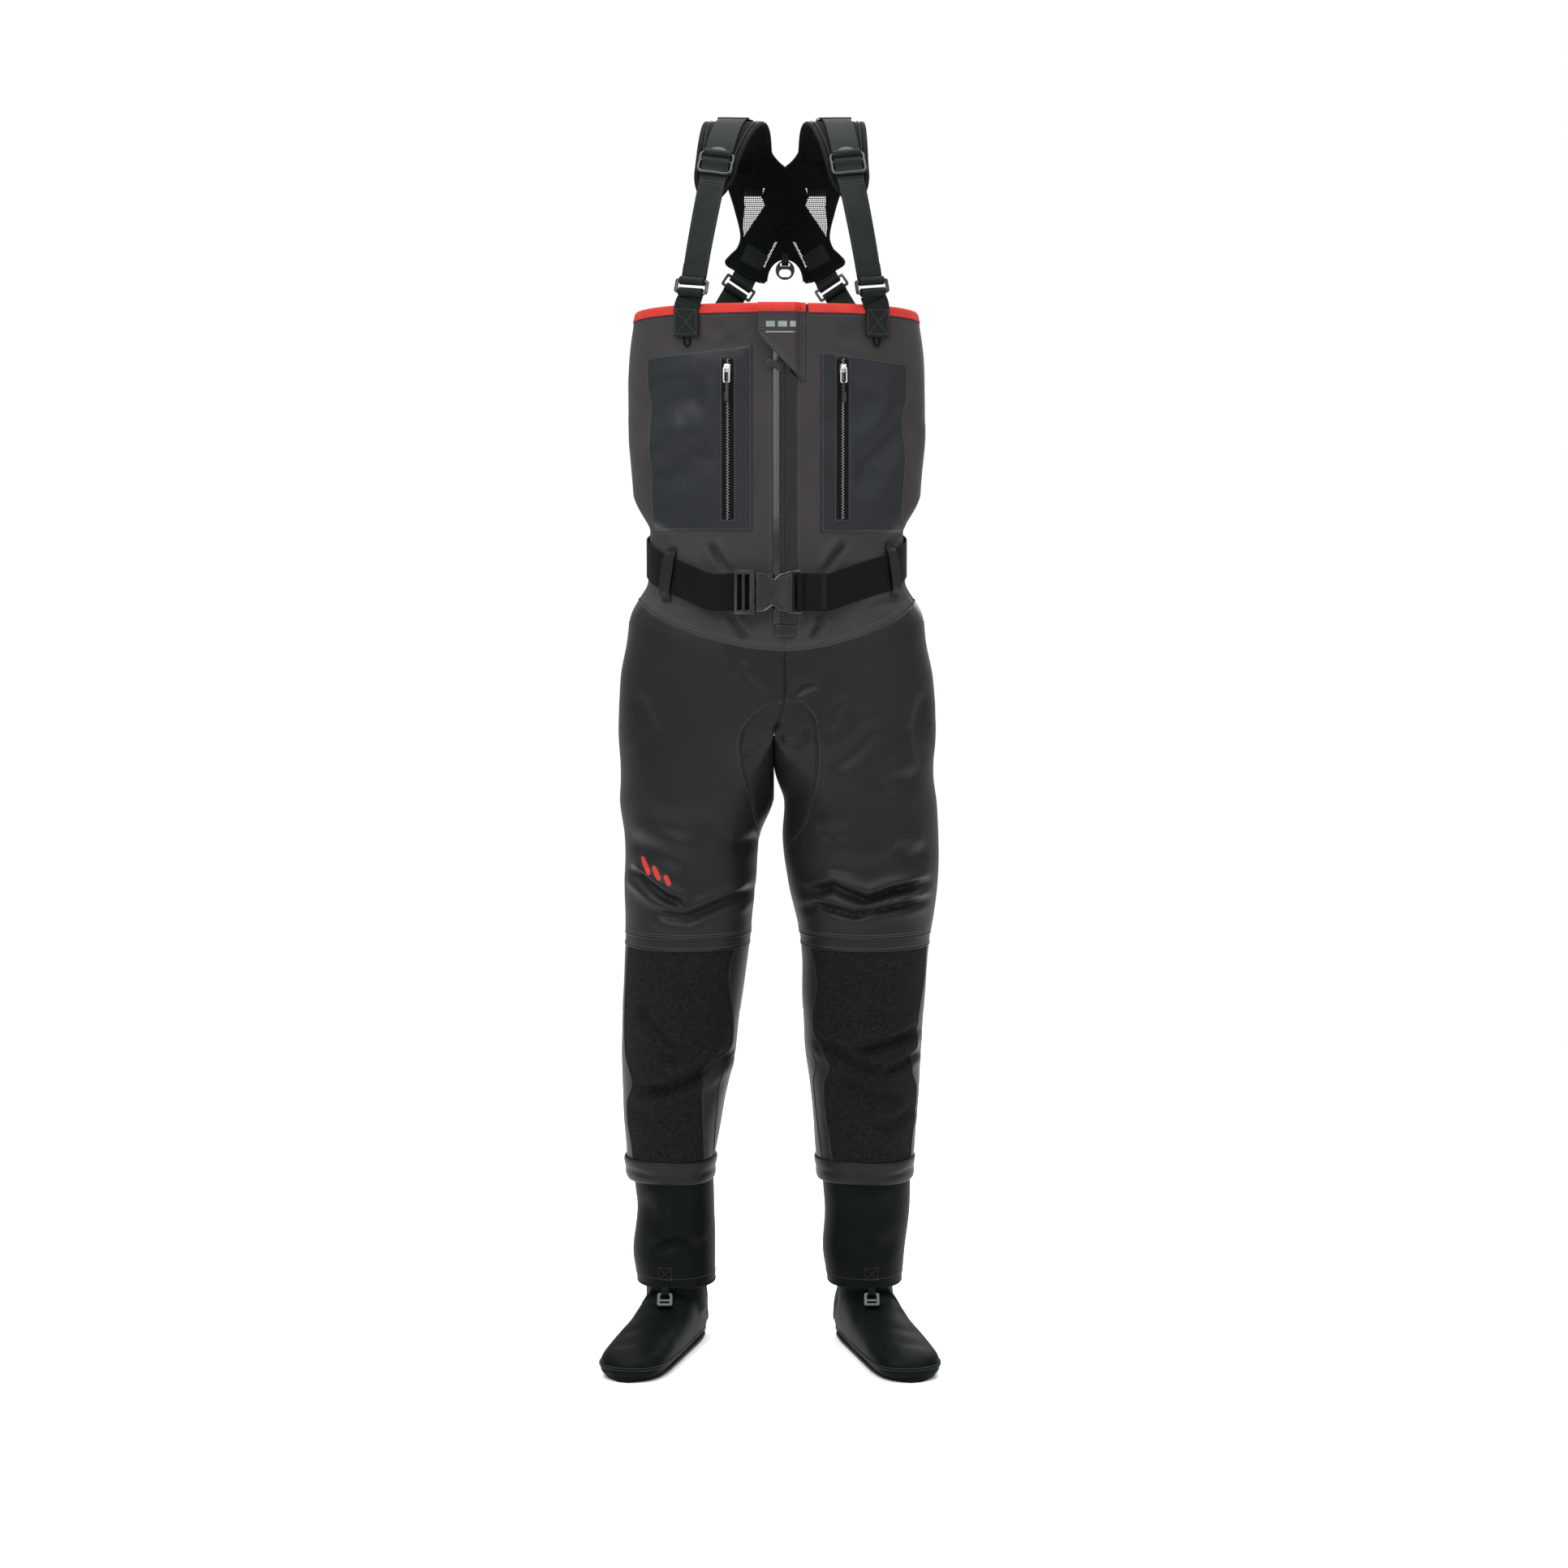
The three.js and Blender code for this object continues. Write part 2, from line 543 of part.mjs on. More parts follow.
// The elastic under the guard's hem, with the eye that the hook's bar turns in.
function hookTab(side) {
  const { origin } = hookPlace(side);
  const wide = HOOK_WIDE - 2 * BAR - 2;
  const strip = box([origin.x - wide / 2, origin.y + BAR / 2 + 2 * RUN, origin.z - 1], [origin.x + wide / 2, origin.y + 10, origin.z + 14]);
  const bore = rod(origin.clone().add(vec(-20, 0, 0)), origin.clone().add(vec(20, 0, 0)), EYE_BORE, 14);
  const inside = tube(GUARD[side], [GUARD_HEM - 20, ...GUARD_STEPS], LEG_SIDES, -SOCK_INSET + CLEAR + 2);
  return union(strip.subtract(inside), eye(origin, vec(1, 0, 0), wide)).subtract(bore);
}

function guardHooks() {
  for (const side of SIDES) {
    const { origin, across, down } = hookPlace(side);
    const outline = roundedOutline(HOOK_WIDE, HOOK_LONG, 3, THREE.Shape, 0, BAR / 2 - HOOK_LONG / 2);
    outline.holes.push(roundedOutline(HOOK_WIDE - 2 * BAR, 6.4, 1, THREE.Path, 0, -BAR / 2 - 3.2));
    outline.holes.push(roundedOutline(HOOK_WIDE - 2 * BAR, 3, 1, THREE.Path, 0, -BAR / 2 - 11));
    const body = plate(outline, -HOOK_THICK / 2, HOOK_THICK / 2, 3);
    add(`${side}_lace_hook`, placed(body, origin, across, down.clone().negate()), PLASTIC);
  }
}

// ---------------------------------------------------------------- chest binding
const BIND_DEEP = 12;
const BIND_THICK = 1.4;
const FLAP_SWING = 2.8; // room beside the flap's hinged edge for the flap when it stands open
function chestBinding() {
  const outside = torso(CLEAR + BIND_THICK).subtract(torso(-WALL - CLEAR - BIND_THICK));
  const band = outside
    .intersect(above(CHEST_EDGE - BIND_DEEP, -EDGE_SLOPE))
    .intersect(below(CHEST_EDGE + CLEAR + BIND_THICK, -EDGE_SLOPE));
  const core = torso(CLEAR).subtract(torso(-WALL - CLEAR)).intersect(below(CHEST_EDGE + CLEAR, -EDGE_SLOPE));
  const gap = box([ZIP_X - ZIP_TAPE / 2 + 2, -FAR / 8, 0], [FLAP_HALF + FLAP_SWING, 0, FAR]);
  add("chest_binding", band.subtract(core).subtract(gap), BINDING);
}

// ---------------------------------------------------------------- patches on the torso
// The torso's front as it is faceted: a point and the direction of growing x at this x.
function facet(x, z) {
  const corners = ring(TORSO_SIDES, (angle) => torsoPoint(angle, z)).filter((p) => p.y < 0);
  const i = corners.findIndex((p, k) => k + 1 < corners.length && p.x <= x && corners[k + 1].x > x);
  const [a, b] = [corners[i], corners[i + 1]];
  const t = (x - a.x) / (b.x - a.x);
  return { point: a.clone().lerp(b, t), across: b.clone().sub(a).setZ(0).normalize() };
}

// A layer of the torso's front between two heights above the laminate, cut to an outline in X and Z.
const torsoAt = new Map();
function torsoSkin(h) {
  if (!torsoAt.has(h)) torsoAt.set(h, torso(h));
  return torsoAt.get(h);
}
function frontPatch(outline, low, high) {
  const cutter = new THREE.ExtrudeGeometry(outline, { depth: FAR / 8, bevelEnabled: false, curveSegments: 3 });
  return frontLayer(manifold(cutter.rotateX(Math.PI / 2)), low, high);
}
const frontLayer = (prism, low, high) => torsoSkin(high).subtract(torsoSkin(low)).intersect(prism);
const rectangle = (x, z, width, height, radius) => roundedOutline(width, height, radius, THREE.Shape, x, z);
const upright = (x, low, high, width, radius = 0.6) => rectangle(x, (low + high) / 2, width, high - low, radius);

const POCKET_LOW = 0.5; // pocket panel's inner face above the laminate
const POCKET_HIGH = 2.1;
const POCKET = {
  right: { inner: -38, outer: -182, low: CHEST_EDGE - 294, high: CHEST_EDGE - 44 },
  left: { inner: 51, outer: 170, low: CHEST_EDGE - 296, high: CHEST_EDGE - 52 },
};
const POCKET_ZIP_X = { right: -72, left: 81 };
const POCKET_ZIP_HIGH = CHEST_EDGE - 64;
const POCKET_ZIP_LOW = CHEST_EDGE - 276;
const TAPE_BASE = POCKET_HIGH + CLEAR;
const TAPE_FACE = TAPE_BASE + 1.2;

// A zip's tape with its chain of teeth as one raised strip.
function zipStrip(x, low, high, tape, chain, base, face, chainTop) {
  const { point, across } = facet(x, (low + high) / 2);
  const turn = Math.atan2(across.y, across.x);
  const prism = (width) => {
    const block = new THREE.BoxGeometry(width, 60, high - low).rotateZ(turn);
    return manifold(block.translate(point.x, point.y, (low + high) / 2));
  };
  return frontLayer(prism(tape), base, face).add(frontLayer(prism(chain), base, chainTop));
}

// A slider rides over the chain on two flanges. It is drawn flat on a vertical face at the front.
function slider(x, z, base, chain, chainTop, wide, long, roof) {
  const { point: at, across } = facet(x, z);
  const hollow = chain / 2 + RUN;
  const profileShape = new THREE.Shape();
  const top = chainTop + RUN + roof;
  const low = base + RUN;
  profileShape.moveTo(-wide / 2, low);
  profileShape.lineTo(-hollow, low);
  profileShape.lineTo(-hollow, chainTop + RUN);
  profileShape.lineTo(hollow, chainTop + RUN);
  profileShape.lineTo(hollow, low);
  profileShape.lineTo(wide / 2, low);
  profileShape.lineTo(wide / 2, top - 1);
  profileShape.lineTo(wide / 2 - 1, top);
  profileShape.lineTo(1 - wide / 2, top);
  profileShape.lineTo(-wide / 2, top - 1);
  const channel = plate(profileShape, -long / 2, long / 2);
  const out = across.clone().cross(vec(0, 0, 1));
  return { solid: placed(channel, at, across, out), at, across, out, top };
}

function pocketOutline(side) {
  const { inner, outer, low, high } = POCKET[side];
  const fall = 14; // the top edge falls towards the side
  const outline = new THREE.Shape();
  outline.moveTo(inner, low);
  outline.lineTo(inner, high);
  outline.lineTo(outer, high - fall);
  outline.quadraticCurveTo(mix(outer, inner, 0.02), mix(low, high, 0.6), mix(outer, inner, 0.05), low);
  return outline;
}

// The two ears of a pocket slider, each a post with the bore of the pull's pin.
const EAR = 2.6;
const PULL_PIN = 0.7;
function ears(made, pivot) {
  return [-1, 1].map((s) => {
    const at = (d) => pivot.clone().addScaledVector(made.across, s * EAR + d);
    const foot = plate(roundedOutline(1.4, 4, 0.4), made.top - 0.3, made.top + 1.6);
    const leaf = placed(foot, made.at.clone().addScaledVector(made.across, s * EAR), made.across, vec(0, 0, 1));
    return rod(at(-0.7), at(0.7), 2.2, 8).add(leaf);
  });
}

function pockets() {
  for (const side of SIDES) {
    add(`${side}_pocket_panel`, frontPatch(pocketOutline(side), POCKET_LOW, POCKET_HIGH), LEG_CLOTH);

    const x = POCKET_ZIP_X[side];
    const chainTop = TAPE_FACE + POCKET_CHAIN_HIGH;
    const strip = [x, POCKET_ZIP_LOW, POCKET_ZIP_HIGH, POCKET_TAPE, POCKET_CHAIN, TAPE_BASE, TAPE_FACE, chainTop];
    add(`${side}_pocket_zip`, zipStrip(...strip), ZIP_RUBBER);

    const made = slider(x, POCKET_ZIP_HIGH - 12, TAPE_FACE, POCKET_CHAIN, chainTop, 9, 11, 1.4);
    const pivot = made.at.clone().addScaledVector(made.out, made.top + 2.3);
    const end = (s) => pivot.clone().addScaledVector(made.across, 6 * s);
    const bore = rod(end(-1), end(1), PULL_PIN + 0.45, 8);
    add(`${side}_pocket_slider`, union(made.solid, ...ears(made, pivot)).subtract(bore), METAL);
    add(`${side}_pocket_pull`, pocketPull(pivot, made.across), METAL);
  }
}

// A wire loop on a cross pin, with a cord and a moulded end.
const PULL_LONG = 20;
const PULL_WIDE = 9.4;
function pocketPull(pivot, across) {
  const outline = roundedOutline(PULL_WIDE, PULL_LONG, 2, THREE.Shape, 0, 0.8 - PULL_LONG / 2);
  outline.holes.push(roundedOutline(PULL_WIDE - 3.6, PULL_LONG - 5, 1, THREE.Path, 0, -PULL_LONG / 2 - 0.6));
  const notch = box([-3.7, -3, -4], [3.7, 3, 4]);
  const loop = plate(outline, -0.8, 0.8, 2).subtract(notch);
  const pin = rod(vec(-PULL_WIDE / 2 + 0.4, 0, 0), vec(PULL_WIDE / 2 - 0.4, 0, 0), PULL_PIN, 8);
  const cord = box([-1.5, -PULL_LONG - 13, -0.9], [1.5, -PULL_LONG + 3, 0.9]);
  const grip = plate(roundedOutline(6, 13, 2, THREE.Shape, 0, -PULL_LONG - 18), -1.8, 1.8, 2);
  return placed(union(loop, pin, cord, grip), pivot, across, vec(0, 0, 1));
}

// ---------------------------------------------------------------- main zip
const MAIN_BASE = 0.7;
const MAIN_FACE = MAIN_BASE + TAPE_THICK;
const MAIN_TOP = MAIN_FACE + CHAIN_HIGH;
const TOGGLE_WIDE = 24;
const TOGGLE_DROP = 30;
const TOGGLE_LEAN = THREE.MathUtils.degToRad(25);
function mainZip() {
  const strip = [ZIP_X, ZIP_LOW, ZIP_TOP, ZIP_TAPE, ZIP_CHAIN, MAIN_BASE, MAIN_FACE, MAIN_TOP];
  add("main_zip", zipStrip(...strip), ZIP_RUBBER);
  add("main_zip_dock", frontPatch(upright(ZIP_X, ZIP_LOW - 17, ZIP_LOW - CLEAR, 26, 7), MAIN_BASE, MAIN_TOP), ZIP_RUBBER);

  const made = slider(ZIP_X, SLIDER_REST, MAIN_FACE, ZIP_CHAIN, MAIN_TOP, 17, 26, 1.3);
  const post = made.at.clone().addScaledVector(made.out, made.top);
  const pin = rod(post.clone().addScaledVector(made.out, -0.3), post.clone().addScaledVector(made.out, 2.4), 2, 14);
  add("main_slider", made.solid.add(pin), PLASTIC);

  // The toggle hangs in the plane of the chest, on an eye round the slider's post.
  const shank = box([-1.8, -TOGGLE_DROP, 0], [1.8, -3, 1.6]);
  const loop = plate(roundedOutline(8.4, 8.4, 4.1), 0, 1.6, 4);
  const hole = rod(vec(0, 0, -1), vec(0, 0, 3), 2 + RUN, 14);
  const bar = plate(roundedOutline(TOGGLE_WIDE, 9, 3.5, THREE.Shape, 0, -TOGGLE_DROP - 3), -0.6, 2.2, 4);
  const toggle = union(shank, loop, bar).subtract(hole);
  const lean = vec(Math.sin(TOGGLE_LEAN), 0, Math.cos(TOGGLE_LEAN));
  const side = vec(Math.cos(TOGGLE_LEAN), 0, -Math.sin(TOGGLE_LEAN));
  add("main_toggle", placed(toggle, post.clone().addScaledVector(made.out, 0.7), side, lean), ZIP_RUBBER);
}

// ---------------------------------------------------------------- storm flap
const FLAP_HALF = 32;
const FLAP_SHORT = 44; // left edge
const FLAP_LONG = 100; // hinged edge
const FLAP_THICK = 1.6;
const FLAP_CROWN = MAIN_TOP + 6.2; // inner face over the slider and toggle
function stormFlap() {
  const top = CHEST_EDGE + 6;
  const y = front(ZIP_X, SLIDER_REST, 0).y;
  const seat = y - facet(FLAP_HALF, top - FLAP_LONG).point.y + CLEAR;
  const section = [
    [FLAP_HALF - ZIP_X, seat],
    [ZIP_TAPE / 2 + 4, seat + 1.4],
    [16, FLAP_CROWN],
    [-15, FLAP_CROWN],
    [-FLAP_HALF - ZIP_X, FLAP_CROWN - 0.6],
  ];
  const layer = (h) => [top, top - FLAP_LONG].map((z) => section.map(([x, s]) => vec(ZIP_X + x, y - s - h, z)));
  const sheet = manifold(slab(layer(0), layer(FLAP_THICK)));
  const corner = new THREE.Shape();
  corner.moveTo(-FLAP_HALF - 10, top - FLAP_SHORT + 6);
  corner.lineTo(FLAP_HALF - 3, top - FLAP_LONG);
  corner.lineTo(-FLAP_HALF - 10, top - FLAP_LONG - 20);
  const cutter = new THREE.ExtrudeGeometry(corner, { depth: 60, bevelEnabled: false }).rotateX(Math.PI / 2);
  add("storm_flap", sheet.subtract(manifold(cutter.translate(0, y + 30, 0))), CHEST_CLOTH);
}

// ---------------------------------------------------------------- belt, loops and buckle
const BUCKLE_THICK = 12;
const BUCKLE_Y = -(FRONT_DEPTH + MAIN_TOP + BUCKLE_THICK / 2); // middle of the buckle's thickness
const SOCKET_LOW = -36;
const SOCKET_HIGH = 14;
const SOCKET_BAR = SOCKET_HIGH + 11; // centre of the bar that the belt is sewn to
const BUCKLE_TALL = BELT + 9;
const LATCH_LONG = 27;
const LATCH_TRAVEL = 30;
const PRONG_LONG = 24;
const PRONG_Z = 19; // prong centre above and below the buckle's middle
const PRONG_PRESS = 3.2; // how far each prong is squeezed in
const BELT_Y = BUCKLE_Y + EYE_STAND;
const LOOP_ANGLE = { right: -2.48, left: -0.53 };

// The belt's middle line: straight through the latch, round the body, then straight to the socket's bar.
function beltPath() {
  const z = BELT_FRONT;
  const start = [SOCKET_LOW - 3, -68, -100].map((x) => vec(x, BELT_Y, z));
  const stand = BELT_STAND + BELT_THICK / 2;
  const wrapped = steps(-2.45, -2 * Math.PI - 0.62, 28).map((angle) => torsoPoint(angle, beltLine(angle), stand));
  const bridge = vec(-118, mix(BELT_Y, wrapped[0].y, 0.35), mix(z, wrapped[0].z, 0.45));
  const last = wrapped[wrapped.length - 1];
  const back = vec(mix(last.x, 62, 0.55), mix(last.y, BELT_Y, 0.72), mix(last.z, z, 0.75));
  return [...start, bridge, ...wrapped, back, vec(62, BELT_Y, z), vec(SOCKET_BAR, BELT_Y, z)];
}

function belt() {
  const bar = vec(SOCKET_BAR, BUCKLE_Y, BELT_FRONT);
  add("waist_belt", ribbon(beltPath(), () => vec(0, 0, 1), BELT, BELT_THICK).add(eye(bar, vec(0, 0, 1), BELT)), WEB);

  for (const side of SIDES) {
    const angle = LOOP_ANGLE[side];
    const middle = beltLine(angle);
    const reach = BELT / 2 + 5;
    const sewn = 7;
    const rise = [-reach - sewn, -reach - 1, -reach + 4, reach - 4, reach + 1, reach + sewn];
    const over = BELT_STAND + BELT_THICK + 1.8;
    const stand = [0.9, 1.1, over, over, 1.1, 0.9];
    const path = rise.map((dz, i) => torsoPoint(angle, middle + dz, stand[i]));
    const tangent = torsoPoint(angle + 0.03, middle, 0).sub(torsoPoint(angle - 0.03, middle, 0));
    add(`${side}_belt_loop`, ribbon(path, () => tangent, 9, 1.4).subtract(torsoSkin(CLEAR)), WEB);
  }
}

// The socket is a flat box open towards the latch, with windows above and below that show the prongs.
function buckle() {
  const z = BELT_FRONT;
  const half = BUCKLE_THICK / 2;
  const y = (low, high) => [BUCKLE_Y + low, BUCKLE_Y + high];
  const block = (x0, x1, dy0, dy1, z0, z1) => box([x0, y(dy0, dy1)[0], z + z0], [x1, y(dy0, dy1)[1], z + z1]);
  const tall = BUCKLE_TALL / 2;
  const shellBox = block(SOCKET_LOW, SOCKET_HIGH, -half, half - 1, -tall + 4, tall - 4);
  const throat = block(SOCKET_LOW - 5, SOCKET_HIGH - 4, -half + 2, half - 3, -PRONG_Z - 6, PRONG_Z + 6);
  const window = block(SOCKET_LOW + 12, SOCKET_HIGH - 14, -half - 2, half + 2, PRONG_Z + 3, tall + 3);
  const lowWindow = block(SOCKET_LOW + 12, SOCKET_HIGH - 14, -half - 2, half + 2, -tall - 3, -PRONG_Z - 3);
  const arm = (s) => block(SOCKET_HIGH - 1, SOCKET_BAR + BAR / 2, -BAR / 2, BAR / 2, ...span(s * 26, s * 29.5));
  const heel = (s) => block(SOCKET_HIGH - 6, SOCKET_HIGH + 1, -BAR / 2, BAR / 2, ...span(s * 20, s * 29.5));
  const bar = block(SOCKET_BAR - BAR / 2, SOCKET_BAR + BAR / 2, -BAR / 2, BAR / 2, -29, 29);
  const hollow = shellBox.subtract(throat).subtract(window).subtract(lowWindow);
  add("buckle_socket", union(hollow, arm(1), arm(-1), heel(1), heel(-1), bar), PLASTIC);

  // The latch carries the webbing in a slot behind its ladder bars.
  const right = SOCKET_LOW - RUN;
  const left = right - LATCH_LONG;
  const body = block(left, right, -half + 1, half, -tall, tall);
  const slot = block(left - 5, right + 5, EYE_STAND - BELT_THICK / 2 - RUN, EYE_STAND + BELT_THICK / 2 + 0.4, -BELT / 2 - 1, BELT / 2 + 1);
  const ladder = [left + 4, left + 14].map((x) => block(x, x + 6, -half - 1, EYE_STAND, -BELT / 2 + 1, BELT / 2 - 1));
  const tongue = block(right - 1, right + PRONG_LONG - 4, -2, 1.2, -6, 6);
  const frame = body.subtract(slot).subtract(ladder[0]).subtract(ladder[1]);
  const reach = PRONG_PRESS + 3;
  const bay = (s) => block(right - 4, right + 1, -2.6, 1.8, ...span(s * (PRONG_Z - reach), s * (PRONG_Z + 2.8)));
  add("buckle_latch", frame.subtract(bay(1)).subtract(bay(-1)).add(tongue), PLASTIC);
  for (const [name, s] of [["upper", 1], ["lower", -1]]) {
    const low = s * PRONG_Z;
    const stem = block(right - 3.6, right + PRONG_LONG, -2, 1.2, low - 2.2, low + 2.2);
    const pad = block(right + 13, right + PRONG_LONG, -2, 1.2, ...span(s * (PRONG_Z - 2), s * (PRONG_Z + 5)));
    add(`buckle_${name}_prong`, stem.add(pad), PLASTIC);
  }
}

// ---------------------------------------------------------------- shoulder harness
// Middle line of each strap's webbing from the front buckle over the shoulder to the back yoke.
const STRAP = {
  right: [
    [-119, -108, -238],
    [-111, -101, -188],
    [-100, -87, -128],
    [-90, -66, -78],
    [-80, -36, -34],
    [-70, 2, -6],
    [-62, 42, 0],
    [-55, 82, -11],
    [-50, 117, -32],
    [-47, 134, -56],
    [-46, 143, -84],
    [-46, 145.5, -108],
  ],
  left: [
    [119, -108, -238],
    [111, -101, -188],
    [100, -87, -128],
    [90, -66, -78],
    [83, -36, -34],
    [76, 2, -6],
    [70, 42, 0],
    [64, 82, -11],
    [59, 117, -32],
    [56, 134, -56],
    [55, 143, -84],
    [55, 145.5, -108],
  ],
};
const HARNESS_TOP = CHEST_EDGE + SHOULDER + 5;
const strapCurve = {};
for (const side of SIDES)
  strapCurve[side] = new THREE.CatmullRomCurve3(STRAP[side].map(([x, y, dz]) => vec(x, y, HARNESS_TOP + dz)));

// Place, directions and outward side of a strap at a share of its curve.
function strapAt(side, t) {
  const point = strapCurve[side].getPoint(t);
  const along = strapCurve[side].getTangent(t);
  const twist = SIGN[side] * mix(0.42, 0, smooth(t / 0.36));
  const across = vec(1, twist, 0).addScaledVector(along, -along.dot(vec(1, twist, 0))).normalize();
  return { point, along, across, out: across.clone().cross(along).normalize() };
}
// Everything on a strap is laid over the same stations, so that its layers stay parallel.
const STATIONS = steps(0, 1, 28);
const stations = (from, to) => [from, ...STATIONS.filter((t) => t > from + 0.012 && t < to - 0.012), to];
const strapPath = (side, shares, h) =>
  shares.map((t) => {
    const { point, out } = strapAt(side, t);
    return point.addScaledVector(out, h);
  });
function strapRibbon(side, from, to, h, width, thick) {
  const shares = stations(from, to);
  const wide = typeof width === "function" ? (i) => width(shares[i]) : width;
  return ribbon(strapPath(side, shares, h), (i) => strapAt(side, shares[i]).across, wide, thick);
}

const FRAME_WIDE = WEBBING + 2 * BAR + 3;
const FRAME_SLOT = 11.6;
const FRAME_BAR = (FRAME_SLOT + BAR) / 2; // from the frame's middle to each bar
function gatedFrame(centre, across, along) {
  const outline = roundedOutline(FRAME_WIDE, FRAME_SLOT + 2 * BAR, 3);
  outline.holes.push(roundedOutline(WEBBING + 3, FRAME_SLOT, 1, THREE.Path));
  return placed(plate(outline, -BAR / 2, BAR / 2, 2), centre, across, along);
}

const LOCK_T = 0.285; // where the ladder lock sits along the strap
const LOCK_TALL = 34;
const LOCK_BAR = LOCK_TALL / 2 - BAR / 2;
const PAD_THICK = 8;
const PAD_FRONT = 0.2;
const PAD_BACK = 0.77;
const PAD_STAND = -(WEBBING_THICK / 2 + 2 * CLEAR + PAD_THICK / 2);

function frontHarness(side) {
  const s = SIGN[side];
  const start = strapAt(side, 0);
  const centre = start.point.clone().addScaledVector(start.out, EYE_STAND);
  add(`${side}_front_buckle`, gatedFrame(centre, start.across, start.along), PLASTIC);

  // The tab is sewn over the binding and turned round the buckle's lower bar.
  const lowBar = centre.clone().addScaledVector(start.along, -FRAME_BAR);
  const tabAt = (z) => front(s * 126, z, TAB_STAND);
  const under = lowBar.clone().addScaledVector(start.out, -EYE_STAND);
  const tabPath = [tabAt(CHEST_EDGE - 34), tabAt(CHEST_EDGE - 10), tabAt(CHEST_EDGE + 4), under];
  const tabAcross = (i) => (i < 3 ? frontAcross(s * 126, CHEST_EDGE - 20) : start.across);
  const tab = ribbon(tabPath, tabAcross, WEBBING - 3, WEBBING_THICK);
  const cordAt = cordLoop(tabPath[0], frontAcross(s * 126, CHEST_EDGE - 34));
  add(`${side}_front_tab`, union(tab, eye(lowBar, start.across, WEBBING - 3), cordAt), WEB);

  const lock = strapAt(side, LOCK_T);
  const lockCentre = lock.point.clone().addScaledVector(lock.out, EYE_STAND);
  const plateShape = roundedOutline(WEBBING + 10, LOCK_TALL, 4);
  plateShape.holes.push(roundedOutline(WEBBING + 2, 6, 1, THREE.Path, 0, LOCK_BAR - BAR / 2 - 3));
  plateShape.holes.push(roundedOutline(WEBBING + 2, 6, 1, THREE.Path, 0, LOCK_BAR - BAR / 2 - 12.5));
  const upperBar = vec(0, LOCK_BAR, 0);
  const reach = vec(WEBBING / 2 + 0.9, 0, 0);
  const eyeRoom = rod(upperBar.clone().sub(reach), upperBar.clone().add(reach), EYE_BORE + EYE_WALL + RUN, 12);
  const barRod = box([-22, LOCK_BAR - BAR / 2, -BAR / 2], [22, LOCK_BAR + BAR / 2, BAR / 2]);
  const bridge = plate(roundedOutline(20, 20, 4, THREE.Shape, 0, LOCK_TALL / 2 + 1), 5.4, 6.8, 3);
  const ears = [-1, 1].map((e) => box([e * 22 - 1.8, LOCK_BAR - 2, -BAR / 2], [e * 22 + 1.8, LOCK_BAR + 2, 6.8]));
  const yokeBar = box([-23.8, LOCK_BAR - 2, 5.4], [23.8, LOCK_BAR + 2, 6.8]);
  const body = union(plate(plateShape, -BAR / 2, BAR / 2, 2).subtract(eyeRoom), barRod, bridge, ...ears, yokeBar);
  add(`${side}_ladder_lock`, placed(body, lockCentre, lock.across, lock.along), PLASTIC);

  // The upper webbing starts round the lock's top bar, with the lower strap's end under the lock.
  const topEye = lockCentre.clone().addScaledVector(lock.along, LOCK_BAR);
  const webShares = stations(LOCK_T + 0.05, 0.94);
  const webPath = [topEye.clone().addScaledVector(lock.out, -EYE_STAND), ...strapPath(side, webShares, 0)];
  const web = ribbon(webPath, (i) => (i ? strapAt(side, webShares[i - 1]) : lock).across, WEBBING, WEBBING_THICK);
  const keeper = strapRibbon(side, 0.5, 0.56, 0.7, WEBBING + 5, WEBBING_THICK + 1.2);
  add(`${side}_upper_webbing`, union(web, keeper, eye(topEye, lock.across, WEBBING)), WEB);

  const startBar = centre.clone().addScaledVector(start.along, FRAME_BAR);
  const lowShares = stations(0.03, LOCK_T + 0.012);
  const lowPath = [startBar.clone().addScaledVector(start.out, -EYE_STAND), ...strapPath(side, lowShares, 0)];
  const lower = ribbon(lowPath, (i) => (i ? strapAt(side, lowShares[i - 1]) : start).across, WEBBING - 2, WEBBING_THICK);
  add(`${side}_lower_strap`, lower.add(eye(startBar, start.across, WEBBING - 2)), WEB);

  const wide = (t) => mix(46, 74, smooth((t - PAD_FRONT) / 0.34)) * mix(1, 0.86, smooth((t - 0.58) / 0.2));
  const pad = strapRibbon(side, PAD_FRONT, PAD_BACK, PAD_STAND, wide, PAD_THICK);
  add(`${side}_shoulder_pad`, pad.subtract(box([-FAR, 90, 0], [FAR, FAR, YOKE_TOP + CLEAR])), PAD);
}

const TAB_STAND = CLEAR + BIND_THICK + CLEAR + WEBBING_THICK / 2;
function cordLoop(at, across) {
  const half = across.clone().multiplyScalar(4.2);
  const drop = (d, k) => at.clone().addScaledVector(half, k).add(vec(0, 0, -d));
  const path = [drop(-4, -1), drop(8, -1), drop(12, -0.72), drop(13.6, 0), drop(12, 0.72), drop(8, 1), drop(-4, 1)];
  return cord(path, 1.3, 6);
}

// The yoke follows the line of the webbing that is sewn down its back.
const YOKE_TOP = HARNESS_TOP - 33;
const YOKE_MIDDLE = 4.5;
const YOKE_THICK = 3;
const YOKE_Y = 146;
const yokeDepth = (z) => YOKE_Y - 0.0048 * Math.max(0, z - (HARNESS_TOP - 108)) ** 2;
